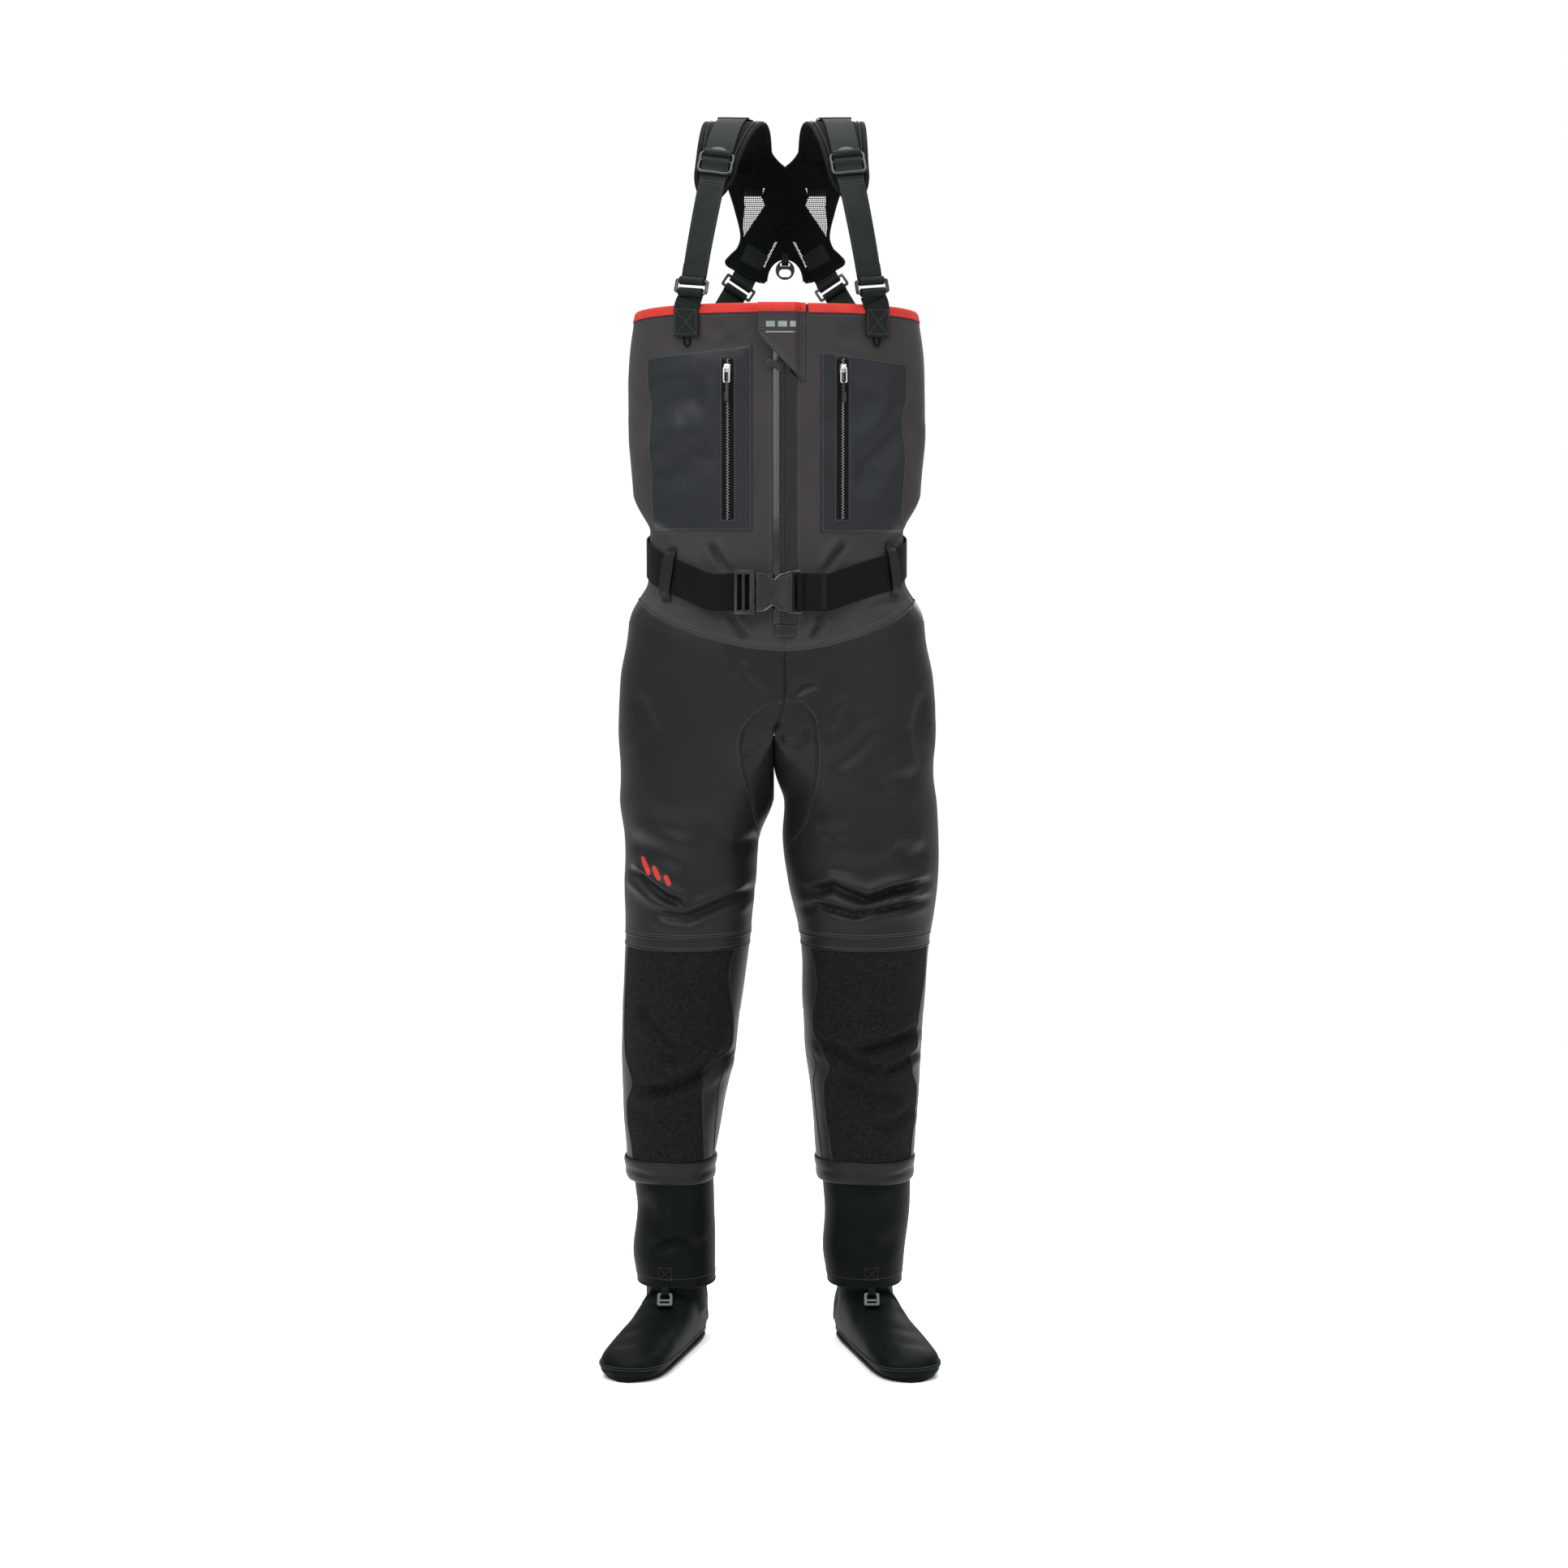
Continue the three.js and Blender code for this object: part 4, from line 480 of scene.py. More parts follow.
def on_grid(points, x, z, h=0.0):
    """Places with this x and z on the front of a grid that was worked out before, h in front of it. The
    nearest front point is refined with its neighbours' slopes."""
    pool = points.reshape(-1, 3)
    pool = pool[pool[:, 1] < 0]
    out = np.empty((len(x), 3))
    for k, (a, b) in enumerate(zip(x, z)):
        gap = (pool[:, 0] - a) ** 2 + (pool[:, 2] - b) ** 2
        close = np.argpartition(gap, 12)[:12]
        near = pool[close]
        weight = 1 / (gap[close] + 0.05)
        flat = np.stack([np.ones(12), near[:, 0] - a, near[:, 2] - b], 1) * np.sqrt(weight)[:, None]
        solved = np.linalg.lstsq(flat, near[:, 1] * np.sqrt(weight), rcond=None)[0]
        tilt = np.clip(solved[1:], -2, 2)
        depth = np.clip(solved[0], near[:, 1].min() - 0.5, near[:, 1].max() + 0.5)
        normal = unit(np.array([tilt[0], -1.0, tilt[1]]))
        out[k] = np.array([a, depth, b]) + normal * h
    return out


# ---------------------------------------------------------------- mesh parts
def grid(points, wrap=False, keep=None, closed=False, uv=None):
    """Quads between neighbouring points[row, column]. UV is the distance along rows and columns in metres."""
    rows, columns = points.shape[:2]
    index = np.arange(rows * columns).reshape(rows, columns)
    if uv is None:
        along = np.linalg.norm(np.diff(points, axis=1), axis=2).mean(0)
        up = np.linalg.norm(np.diff(points, axis=0), axis=2).mean(1)
        ends = np.linalg.norm(points[:, 0] - points[:, -1], axis=1).mean()
        u = np.concatenate([[0], np.cumsum(along), [np.sum(along) + ends]])
        v = np.concatenate([[0], np.cumsum(up)])
        uv = np.stack(np.meshgrid(u, v), -1) * MM
    if wrap:
        index = np.concatenate([index, index[:, :1]], 1)
    else:
        uv = uv[:, :columns]

    def corners(a):
        return np.stack([a[:-1, :-1], a[:-1, 1:], a[1:, 1:], a[1:, :-1]], 2)

    quads, places = corners(index), corners(uv)
    if keep is None:
        keep = np.ones(quads.shape[:2], bool)
    return {"points": points.reshape(-1, 3), "faces": [(quads[keep], places[keep])], "closed": closed}


def sweep(path, across, out, section, loop=False):
    """A closed section of (across, out) offsets carried along a path, with a flat cap over each end."""
    path, section = np.asarray(path, float), np.asarray(section, float)
    if section.ndim == 2:
        section = np.broadcast_to(section, (len(path), *section.shape))
    points = path[:, None] + across[:, None] * section[..., :1] + out[:, None] * section[..., 1:]
    if loop:
        points = np.concatenate([points, points[:1]])
    part = grid(points, wrap=True, closed=True)
    if not loop:
        count = section.shape[1]
        last = (len(path) - 1) * count
        for ring in (np.arange(count)[::-1], last + np.arange(count)):
            part["faces"].append((ring[None], np.zeros((1, count, 2))))
    return part


def directions(path, loop=False):
    path = np.asarray(path, float)
    if loop:
        return unit(np.roll(path, -1, 0) - np.roll(path, 1, 0))
    return unit(np.gradient(path, axis=0))


def smooth_path(points, count, loop=False):
    """A curve through the points: each point is joined to the next by a cubic with neighbour slopes."""
    points = np.asarray(points, float)
    if loop:
        points = np.concatenate([points[-1:], points, points[:2]])
    table = np.concatenate([np.arange(len(points))[:, None], points], 1)
    t = np.linspace(1, len(points) - 2, count + 1)[:-1] if loop else np.linspace(0, len(points) - 1, count)
    return np.stack(rows_at(table, t), -1)


def evenly(path, pitch, loop=False):
    """The path resampled at an even pitch."""
    path = np.asarray(path, float)
    if loop:
        path = np.concatenate([path, path[:1]])
    run = np.concatenate([[0], np.cumsum(np.linalg.norm(np.diff(path, axis=0), axis=1))])
    count = max(2, int(run[-1] / pitch) + 1)
    at = np.linspace(0, run[-1], count)
    return np.stack([np.interp(at, run, path[:, k]) for k in range(3)], -1)


def circle(radius, sides=8, flat=1.0):
    a = np.linspace(0, 2 * math.pi, sides, endpoint=False)
    return np.stack([radius * np.cos(a), radius * flat * np.sin(a)], -1)


def strap_section(width, thick, round_off=0.5, rows=9):
    """A flat band with rounded edges, as a closed outline."""
    x = np.linspace(-1, 1, rows) * (width / 2 - round_off * thick / 2)
    top = np.stack([x, np.full(rows, thick / 2)], -1)
    low = np.stack([x[::-1], np.full(rows, -thick / 2)], -1)
    return np.concatenate([top, [[width / 2, 0.22 * thick], [width / 2, -0.22 * thick]], low,
                           [[-width / 2, -0.22 * thick], [-width / 2, 0.22 * thick]]])


def tube(path, radius, sides=8, loop=False, up=(0.13, 0.2, 1)):
    along = directions(path, loop)
    across = unit(np.cross(along, np.asarray(up, float)))
    return sweep(path, across, np.cross(across, along), circle(radius, sides), loop)


def spindles(centres, along, out, length, wide, high):
    """A stitch at each centre: a six-sided spindle lying along the seam."""
    across = np.cross(along, out)
    ring = circle(1, 6) * [wide / 2, high]
    local = [(-0.5, 0, 0)] + [(-0.22, a, b) for a, b in ring] + [(0.22, a, b) for a,
            b in ring] + [(0.5, 0, 0)]
    local = np.array(local)
    points = (centres[:, None] + along[:, None] * (local[:, :1] * length)
              + across[:, None] * local[:, 1:2] + out[:, None] * local[:, 2:3])
    k = np.arange(6)
    n = (k + 1) % 6
    ends = np.concatenate([np.stack([np.zeros(6, int), 1 + n, 1 + k], 1),
                           np.stack([np.full(6, 13), 7 + k, 7 + n], 1)])
    sides = np.stack([1 + k, 1 + n, 7 + n, 7 + k], 1)
    shift = np.arange(len(centres))[:, None, None] * len(local)
    faces = [((ends[None] + shift).reshape(-1, 3), None), ((sides[None] + shift).reshape(-1, 4), None)]
    return {"points": points.reshape(-1, 3), "faces": faces, "closed": True}


def stitched(path, out, pitch=3.4, length=2.3, wide=0.75, high=0.45, loop=False):
    """Stitches along a path whose outward directions are given at the same points."""
    both = np.concatenate([np.asarray(path, float), np.asarray(out, float)], 1)
    run = np.concatenate([[0], np.cumsum(np.linalg.norm(np.diff(both[:, :3], axis=0), axis=1))])
    count = max(2, int(run[-1] / pitch))
    at = (np.arange(count) + 0.5) * run[-1] / count
    places = np.stack([np.interp(at, run, both[:, k]) for k in range(6)], -1)
    centres, normal = places[:, :3], unit(places[:, 3:])
    along = directions(centres, loop)
    normal = unit(normal - along * np.sum(normal * along, 1, keepdims=True))
    return spindles(centres, along, normal, length, wide, high)


def laid(surface, a, z, h=0.0):
    """Points of a surface along two lists of its own parameters, h above it, with the outward directions."""
    low = surface(a, z, np.zeros(len(a)))
    out = unit(surface(a, z, np.ones(len(a))) - low)
    return low + out * h, out


def welt(path, out, wide, high):
    """A low rounded ridge lying on a surface along a path."""
    along = directions(path)
    across = unit(np.cross(out, along))
    a = np.linspace(0, math.pi, 6)
    section = np.concatenate([np.stack([np.cos(a) * wide / 2, np.sin(a) * high], -1),
                              [[-wide / 3, -0.4], [wide / 3, -0.4]]])
    return sweep(path, across, out, section)


def volume(points, faces):
    """Six times the signed volume inside closed faces, each fanned from its first corner."""
    total = 0.0
    for index, _ in faces:
        for k in range(1, index.shape[1] - 1):
            a, b, c = points[index[:, 0]], points[index[:, k]], points[index[:, k + 1]]
            total += np.sum(a * np.cross(b, c))
    return total


def outward_share(part, middle):
    """Positive where the faces of an open part point away from a middle line along z."""
    points = part["points"]
    index = part["faces"][0][0]
    a, b, c = points[index[:, 0]], points[index[:, 1]], points[index[:, 2]]
    away = (a + b + c) / 3 - np.array([*middle, 0.0])
    away[:, 2] = 0
    return np.sum(np.cross(b - a, c - a) * away)


def build(name, parts, material, body=ROOT, stands_for=(), middle=(TORSO_X, 0.0), wall=0.0, sharp=50):
    """One object from parts in millimetres. Closed parts are turned outwards by their volume and open ones
    by the middle line they stand round; an open part then gets its wall, inwards."""
    points, faces, places, start = [], [], [], 0
    for part in parts:
        turned = (volume(part["points"], part["faces"])
                  if part["closed"] else outward_share(part, middle)) < 0
        for index, uv in part["faces"]:
            uv = np.zeros((*index.shape, 2)) if uv is None else uv
            if turned:
                index, uv = index[:, ::-1], uv[:, ::-1]
            faces += (index + start).tolist()
            places.append(uv.reshape(-1, 2))
        points.append(part["points"])
        start += len(part["points"])
    mesh = bpy.data.meshes.new(name)
    mesh.from_pydata((np.concatenate(points) * MM + ORIGIN).tolist(), [], faces)
    mesh.uv_layers.new(name="UVMap").data.foreach_set("uv", np.concatenate(places).ravel())
    mesh.shade_smooth()
    mesh.set_sharp_from_angle(angle=math.radians(sharp))
    made = bpy.data.objects.new(name, mesh)
    bpy.context.scene.collection.objects.link(made)
    mesh.materials.append(material)
    if wall:
        solid = made.modifiers.new("Wall", "SOLIDIFY")
        solid.thickness = wall * MM
        solid.offset = -1
    if body:
        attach(made, body)
    if stands_for:
        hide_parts(*stands_for)
    return made


def softened(node, material, body, radius=0.5, segments=3, upper=None):
    """A moulded piece: a merged copy of its node with rounded edges. Its top may be of another material."""
    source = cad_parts[node]
    work = bmesh.new()
    work.from_mesh(source.data)
    bmesh.ops.remove_doubles(work, verts=work.verts, dist=1e-6)
    bmesh.ops.dissolve_limit(work, angle_limit=math.radians(1.0), verts=work.verts, edges=work.edges)
    bmesh.ops.recalc_face_normals(work, faces=work.faces)
    mesh = bpy.data.meshes.new(f"{node}_moulded")
    work.to_mesh(mesh)
    work.free()
    mesh.materials.clear()
    mesh.materials.append(material)
    if upper:
        mesh.materials.append(upper[0])
        heights = np.array([p.center.z for p in mesh.polygons])
        split = heights.max() - upper[1] * MM
        mesh.polygons.foreach_set("material_index", (heights > split).astype(np.int32))
    mesh.shade_smooth()
    made = bpy.data.objects.new(f"{node}_moulded", mesh)
    bpy.context.scene.collection.objects.link(made)
    edge = made.modifiers.new("Rounded edges", "BEVEL")
    edge.width = radius * MM
    edge.segments = segments
    edge.limit_method = "ANGLE"
    edge.angle_limit = math.radians(32)
    edge.harden_normals = True
    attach(made, body)
    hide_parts(node)
    return made


# ---------------------------------------------------------------- materials
def add_node(tree, kind, settings=None, inputs=None):
    """Adds a node with its settings, and links or sets each named input."""
    made = tree.nodes.new(kind)
    for key, value in (settings or {}).items():
        setattr(made, key, value)
    for key, value in (inputs or {}).items():
        socket = made.inputs[key]
        if isinstance(value, bpy.types.NodeSocket):
            tree.links.new(value, socket)
        else:
            socket.default_value = value
    return made


CLOTH_SHINE = 0.08  # yarn scatters most of the light that would mirror off a smooth face
WAVE_PERIOD = 0.314  # a wave texture of scale 1 repeats at this distance


def blank(name, roughness, **shader):
    """A material with only its shader: uniform numbers go on the shader's own sockets."""
    material = bpy.data.materials.new(name)
    material.use_nodes = True
    tree = material.node_tree
    tree.nodes.clear()
    made = add_node(tree, "ShaderNodeBsdfPrincipled", inputs={"Roughness": roughness})
    for key, value in shader.items():
        made.inputs[key.replace("_", " ")].default_value = value
    add_node(tree, "ShaderNodeOutputMaterial", inputs={"Surface": made.outputs["BSDF"]})
    return material, tree, made


def tone(tree, vector, low, high, scale, detail=4.0, rough=0.6):
    """Two colours mixed by noise of this scale."""
    noise = add_node(tree, "ShaderNodeTexNoise", inputs={"Vector": vector, "Scale": scale, "Detail": detail,
                                                         "Roughness": rough})
    spread = add_node(tree, "ShaderNodeMapRange",
                      inputs={"Value": noise.outputs["Fac"], "From Min": 0.3, "From Max": 0.7})
    mixed = add_node(tree, "ShaderNodeMix", {"data_type": "RGBA"}, {0: spread.outputs["Result"]})
    mixed.inputs[6].default_value = (*low, 1)
    mixed.inputs[7].default_value = (*high, 1)
    return mixed.outputs[2]


def shade(tree, colour, factor, depth):
    """A colour darkened where the factor is low, by up to this depth."""
    level = add_node(tree, "ShaderNodeMapRange", inputs={"Value": factor, "To Min": 1 - depth, "To Max": 1.0})
    mixed = add_node(tree, "ShaderNodeMix", {"data_type": "RGBA", "blend_type": "MULTIPLY"},
                     {0: 1.0, 6: colour})
    tree.links.new(level.outputs["Result"], mixed.inputs[7])
    return mixed.outputs[2]


def woven(name, low, high, thread, style, relief, roughness, fibre_tone_and_gap_shade=0.25, patch=5.0, **shader):
    """Woven cloth. Two sets of bands follow the UV map, whose unit is a metre: 'plain' crosses them, 'twill'
    runs one set on the diagonal, 'rib' runs one across the band, and 'chevron' bends the diagonal back and
    forth. The bands set the relief, and the colour is darkened with painted shade in the gaps between
    threads."""
    material, tree, surface = blank(name, roughness, **{"Specular_IOR_Level": CLOTH_SHINE, **shader})
    place = add_node(tree, "ShaderNodeTexCoord")
    uv = place.outputs["UV"]
    scale = WAVE_PERIOD / (thread * MM)

    def bands(direction, vector, size, bend=0.0):
        made = add_node(tree, "ShaderNodeTexWave", {"bands_direction": direction, "wave_profile": "SIN"},
                        {"Vector": vector, "Scale": size, "Distortion": bend, "Detail": 1.0})
        return made.outputs["Fac"]

    if style == "plain":
        height = add_node(tree, "ShaderNodeMath", {"operation": "MULTIPLY"},
                          {0: bands("X", uv, scale), 1: bands("Y", uv, scale)}).outputs[0]
    elif style == "rib":
        height = add_node(tree, "ShaderNodeMath", {"operation": "MULTIPLY_ADD"},
                          {0: bands("X", uv, scale * 1.6), 1: 0.25, 2: bands("Y", uv, scale)}).outputs[0]
    elif style == "chevron":
        split = add_node(tree, "ShaderNodeSeparateXYZ", inputs={"Vector": uv})
        fold = add_node(tree, "ShaderNodeMath", {"operation": "PINGPONG"},
                        {0: split.outputs["X"], 1: 3.2 * MM})
        bent = add_node(tree, "ShaderNodeCombineXYZ", inputs={"X": fold.outputs[0], "Y": split.outputs["Y"]})
        height = bands("DIAGONAL", bent.outputs["Vector"], scale)
    else:
        height = bands("DIAGONAL", uv, scale)
    colour = tone(tree, place.outputs["Object"], low, high, patch)
    fibre = add_node(tree, "ShaderNodeTexNoise", inputs={"Vector": place.outputs["Object"], "Scale": 900.0,
                                                         "Detail": 2.0})
    colour = shade(tree, colour, fibre.outputs["Fac"], fibre_tone_and_gap_shade * 0.7)
    # Painted shade: the colour is darkened in the low gaps between the threads, following the same bands as
    # the relief.
    colour = shade(tree, colour, height, fibre_tone_and_gap_shade)
    tree.links.new(colour, surface.inputs["Base Color"])
    bump = add_node(tree, "ShaderNodeBump", inputs={"Height": height, "Strength": relief,
                                                    "Distance": 0.3 * MM})
    soft = add_node(tree, "ShaderNodeTexNoise", inputs={"Vector": place.outputs["Object"], "Scale": 60.0,
                                                        "Detail": 3.0})
    puckers = add_node(tree, "ShaderNodeBump",
                       inputs={"Height": soft.outputs["Fac"], "Strength": 0.25, "Distance": 0.6 * MM,
                               "Normal": bump.outputs["Normal"]})
    tree.links.new(puckers.outputs["Normal"], surface.inputs["Normal"])
    return material


def chest_laminate(look):
    """Brown-grey nylon three-layer laminate: a fine plain weave with a faint dry sheen and soft mottling.
    Its real thread is 0.3 mm apart, drawn at 1.1 mm so that it shows."""
    low, high = (np.array(look.chest) * k for k in (0.86, 1.12))
    return woven("Nylon laminate, brown-grey", low, high, 1.1, "plain", 0.22, 0.7, 0.18, 7.0,
                 Sheen_Weight=0.02)


def leg_laminate(look):
    """Charcoal nylon laminate, the same weave a little smoother, so that folds catch a soft grey light."""
    low, high = (np.array(look.legs) * k for k in (0.84, 1.14))
    return woven("Nylon laminate, charcoal", low, high, 1.1, "plain", 0.2, 0.44, 0.16, 6.0,
                 Specular_IOR_Level=0.13)


def pocket_laminate(look):
    """Slate coated nylon on the pockets, cooler and flatter than the chest."""
    low, high = (np.array(look.pockets) * k for k in (0.9, 1.1))
    return woven("Coated nylon, slate", low, high, 1.0, "twill", 0.16, 0.44, 0.14, 9.0,
                 Specular_IOR_Level=0.13)


def webbing(look):
    """Olive-black nylon webbing whose chevron twill repeats every 6 mm across."""
    low, high = (np.array(look.webbing) * k for k in (0.8, 1.2))
    return woven("Nylon webbing, chevron", low, high, 1.9, "chevron", 0.9, 0.6, 0.5, 30.0)


def strap_twill(look):
    """Smooth elastic strapping with a fine diagonal twill."""
    low, high = (np.array(look.webbing) * k for k in (0.85, 1.12))
    return woven("Elastic strapping, twill", low, high, 1.7, "twill", 0.6, 0.66, 0.35, 30.0)


def ribbed_webbing(look):
    """Tab webbing with heavy cross ribs 2.4 mm apart."""
    low, high = (np.array(look.webbing) * k for k in (0.62, 0.95))
    return woven("Nylon webbing, ribbed", low, high, 2.4, "rib", 1.0, 0.64, 0.45, 30.0)


def belt_webbing(look):
    """Dense black belt webbing with a dull face."""
    low, high = (np.array(look.belt) * k for k in (0.85, 1.2))
    return woven("Nylon belt webbing", low, high, 1.2, "plain", 0.5, 0.68, 0.3, 24.0)


def red_tape(look):
    """Red woven binding tape, matt and saturated, with a cross rib."""
    low, high = (np.array(look.binding) * k for k in (0.86, 1.05))
    return woven("Woven tape, red", low, high, 1.5, "rib", 0.4, 0.72, 0.2, 14.0)


def piping(look):
    """Black knitted edge binding on the shoulder pads and yoke."""
    low, high = (np.array(look.padding) * k for k in (0.8, 1.3))
    return woven("Knitted binding, black", low, high, 1.5, "rib", 0.6, 0.7, 0.3, 20.0)


def garment_print(name, colour):
    """Matt ink printed on the cloth: flat and slightly broken where the weave shows through."""
    low, high = (np.array(colour) * k for k in (0.82, 1.05))
    return woven(name, low, high, 1.1, "plain", 0.15, 0.6, 0.12, 40.0)


def knee_cloth(look):
    """Abrasion-proof knee cloth: a matt olive-black base under a crackle of raised resin dots 2 to 4 mm
    across, paler on top."""
    material, tree, surface = blank("Textured abrasion cloth", 0.85, Specular_IOR_Level=CLOTH_SHINE)
    place = add_node(tree, "ShaderNodeTexCoord").outputs["Object"]
    cells = add_node(tree, "ShaderNodeTexNoise", inputs={"Vector": place, "Scale": 330.0, "Detail": 3.0,
                                                         "Roughness": 0.7, "Distortion": 1.4})
    crackle = add_node(tree, "ShaderNodeMapRange",
                       inputs={"Value": cells.outputs["Fac"], "From Min": 0.42, "From Max": 0.6})
    dark, pale = (np.array(look.knees) * k for k in (0.42, 1.75))
    ink = add_node(tree, "ShaderNodeMix", {"data_type": "RGBA"},
                   {0: crackle.outputs["Result"], 6: (*dark, 1), 7: (*pale, 1)})
    patch = add_node(tree, "ShaderNodeTexNoise", inputs={"Vector": place, "Scale": 9.0, "Detail": 3.0})
    colour = shade(tree, ink.outputs[2], patch.outputs["Fac"], 0.35)
    tree.links.new(colour, surface.inputs["Base Color"])
    bump = add_node(tree, "ShaderNodeBump", inputs={"Height": crackle.outputs["Result"], "Strength": 0.7,
                                                    "Distance": 0.5 * MM})
    tree.links.new(bump.outputs["Normal"], surface.inputs["Normal"])
    return material


def neoprene(look):
    """Neoprene faced with fine jersey: green-black, smooth, with a wide soft sheen and faint dimples."""
    material, tree, surface = blank("Jersey-faced neoprene", 0.5, Specular_IOR_Level=0.05)
    place = add_node(tree, "ShaderNodeTexCoord").outputs["Object"]
    low, high = (np.array(look.neoprene) * k for k in (0.75, 1.3))
    colour = tone(tree, place, low, high, 13.0)
    knit = add_node(tree, "ShaderNodeTexNoise", inputs={"Vector": place, "Scale": 1100.0, "Detail": 2.0})
    tree.links.new(shade(tree, colour, knit.outputs["Fac"], 0.3), surface.inputs["Base Color"])
    soft = add_node(tree, "ShaderNodeTexNoise", inputs={"Vector": place, "Scale": 42.0, "Detail": 3.0})
    fine = add_node(tree, "ShaderNodeBump", inputs={"Height": knit.outputs["Fac"], "Strength": 0.3,
                                                    "Distance": 0.2 * MM})
    bump = add_node(tree, "ShaderNodeBump",
                    inputs={"Height": soft.outputs["Fac"], "Strength": 0.3, "Distance": 1.2 * MM,
                            "Normal": fine.outputs["Normal"]})
    tree.links.new(bump.outputs["Normal"], surface.inputs["Normal"])
    return material


def spacer_mesh(look):
    """Black polyester spacer mesh: rows of round holes 2.6 mm apart on a matt face, with painted shade
    darkening each hole towards its middle.
    """
    material, tree, surface = blank("Polyester spacer mesh", 0.8, Specular_IOR_Level=CLOTH_SHINE)
    place = add_node(tree, "ShaderNodeTexCoord")
    holes = add_node(tree, "ShaderNodeTexVoronoi", {"feature": "F1"},
                     {"Vector": place.outputs["UV"], "Scale": 1 / (2.6 * MM), "Randomness": 0.15})
    rim = add_node(tree, "ShaderNodeMapRange", inputs={"Value": holes.outputs["Distance"], "From Min": 0.18,
                                                       "From Max": 0.5})
    low, high = (np.array(look.padding) * k for k in (0.9, 1.6))
    colour = tone(tree, place.outputs["Object"], low, high, 30.0)
    # Painted shade: the colour is darkened inside each hole, by the same distance that sets the hole's
    # relief.
    tree.links.new(shade(tree, colour, rim.outputs["Result"], 0.75), surface.inputs["Base Color"])
    bump = add_node(tree, "ShaderNodeBump", inputs={"Height": rim.outputs["Result"], "Strength": 0.9,
                                                    "Distance": 0.8 * MM})
    tree.links.new(bump.outputs["Normal"], surface.inputs["Normal"])
    return material


def moulding(name, colour, roughness, speck=0.12, **shader):
    """A moulded or coated surface: its colour varies a little, its gloss is broken by fine handling marks."""
    material, tree, surface = blank(name, roughness, **shader)
    place = add_node(tree, "ShaderNodeTexCoord").outputs["Object"]
    low, high = (np.array(colour) * k for k in (1 - speck, 1 + speck))
    tree.links.new(tone(tree, place, low, high, 55.0), surface.inputs["Base Color"])
    marks = add_node(tree, "ShaderNodeTexNoise", inputs={"Vector": place, "Scale": 240.0, "Detail": 4.0})
    gloss = add_node(tree, "ShaderNodeMapRange",
                     inputs={"Value": marks.outputs["Fac"], "From Min": 0.3, "From Max": 0.7,
                             "To Min": roughness * 0.9, "To Max": min(1.0, roughness * 1.15)})
    tree.links.new(gloss.outputs["Result"], surface.inputs["Roughness"])
    bump = add_node(tree, "ShaderNodeBump", inputs={"Height": marks.outputs["Fac"], "Strength": 0.06,
                                                    "Distance": 0.1 * MM})
    tree.links.new(bump.outputs["Normal"], surface.inputs["Normal"])
    return material


def acetal(look):
    """Injection-moulded black acetal buckles: satin, with bright lines along their rounded edges."""
    return moulding("Moulded acetal, black", look.plastic, 0.3)


def zip_rubber(look):
    """The urethane coating on the waterproof zip's tape, smooth and wet-looking."""
    return moulding("Urethane zip coating", np.array(look.plastic) * 0.6, 0.2, Coat_Weight=0.25)


def zip_teeth(look):
    """Chunky moulded zip teeth in black polymer."""
    return moulding("Moulded zip teeth", np.array(look.plastic) * 1.2, 0.35)


def zip_metal(look):
    """Nickel-plated pocket zip metal, bright with a brushed dullness."""
    return moulding("Nickel-plated brass", look.metal, 0.42, 0.05, Metallic=1.0)


def thread(name, colour):
    """Polyester sewing thread, a little shiny."""
    return moulding(name, colour, 0.55)


MATERIALS = {}


class WADERS_PG_looks(bpy.types.PropertyGroup):
    """Colours of the cloth, webbing and trim."""

    chest: FloatVectorProperty(name="Chest", description="Laminate of the chest", subtype="COLOR",
                               default=linear("#353233"))
    legs: FloatVectorProperty(name="Legs", description="Laminate of the legs", subtype="COLOR",
                              default=linear("#17191a"))
    pockets: FloatVectorProperty(name="Pockets", description="Coated pocket panels", subtype="COLOR",
                                 default=linear("#1f2224"))
    knees: FloatVectorProperty(name="Knees", description="Textured knee cloth", subtype="COLOR",
                               default=linear("#131511"))
    neoprene: FloatVectorProperty(name="Neoprene", description="Socks and gravel guards", subtype="COLOR",
                                  default=linear("#060b0b"))
    webbing: FloatVectorProperty(name="Webbing", description="Shoulder webbing", subtype="COLOR",
                                 default=linear("#1c221e"))
    belt: FloatVectorProperty(name="Belt", description="Belt webbing", subtype="COLOR",
                              default=linear("#090a0a"))
    binding: FloatVectorProperty(name="Binding", description="Top edge binding", subtype="COLOR",
                                 default=linear("#b4352f"))
    padding: FloatVectorProperty(name="Padding", description="Pads and yoke", subtype="COLOR",
                                 default=linear("#070808"))
    plastic: FloatVectorProperty(name="Plastic", description="Buckles and zip", subtype="COLOR",
                                 default=linear("#0a0c0b"))
    metal: FloatVectorProperty(name="Metal", description="Pocket zips", subtype="COLOR",
                               default=linear("#bcbebe"))
    grey_ink: FloatVectorProperty(name="Grey print", description="Print on the flap", subtype="COLOR",
                                  default=linear("#7b8483"))
    red_ink: FloatVectorProperty(name="Red print", description="Mark on the thigh", subtype="COLOR",
                                 default=linear("#a6302b"))


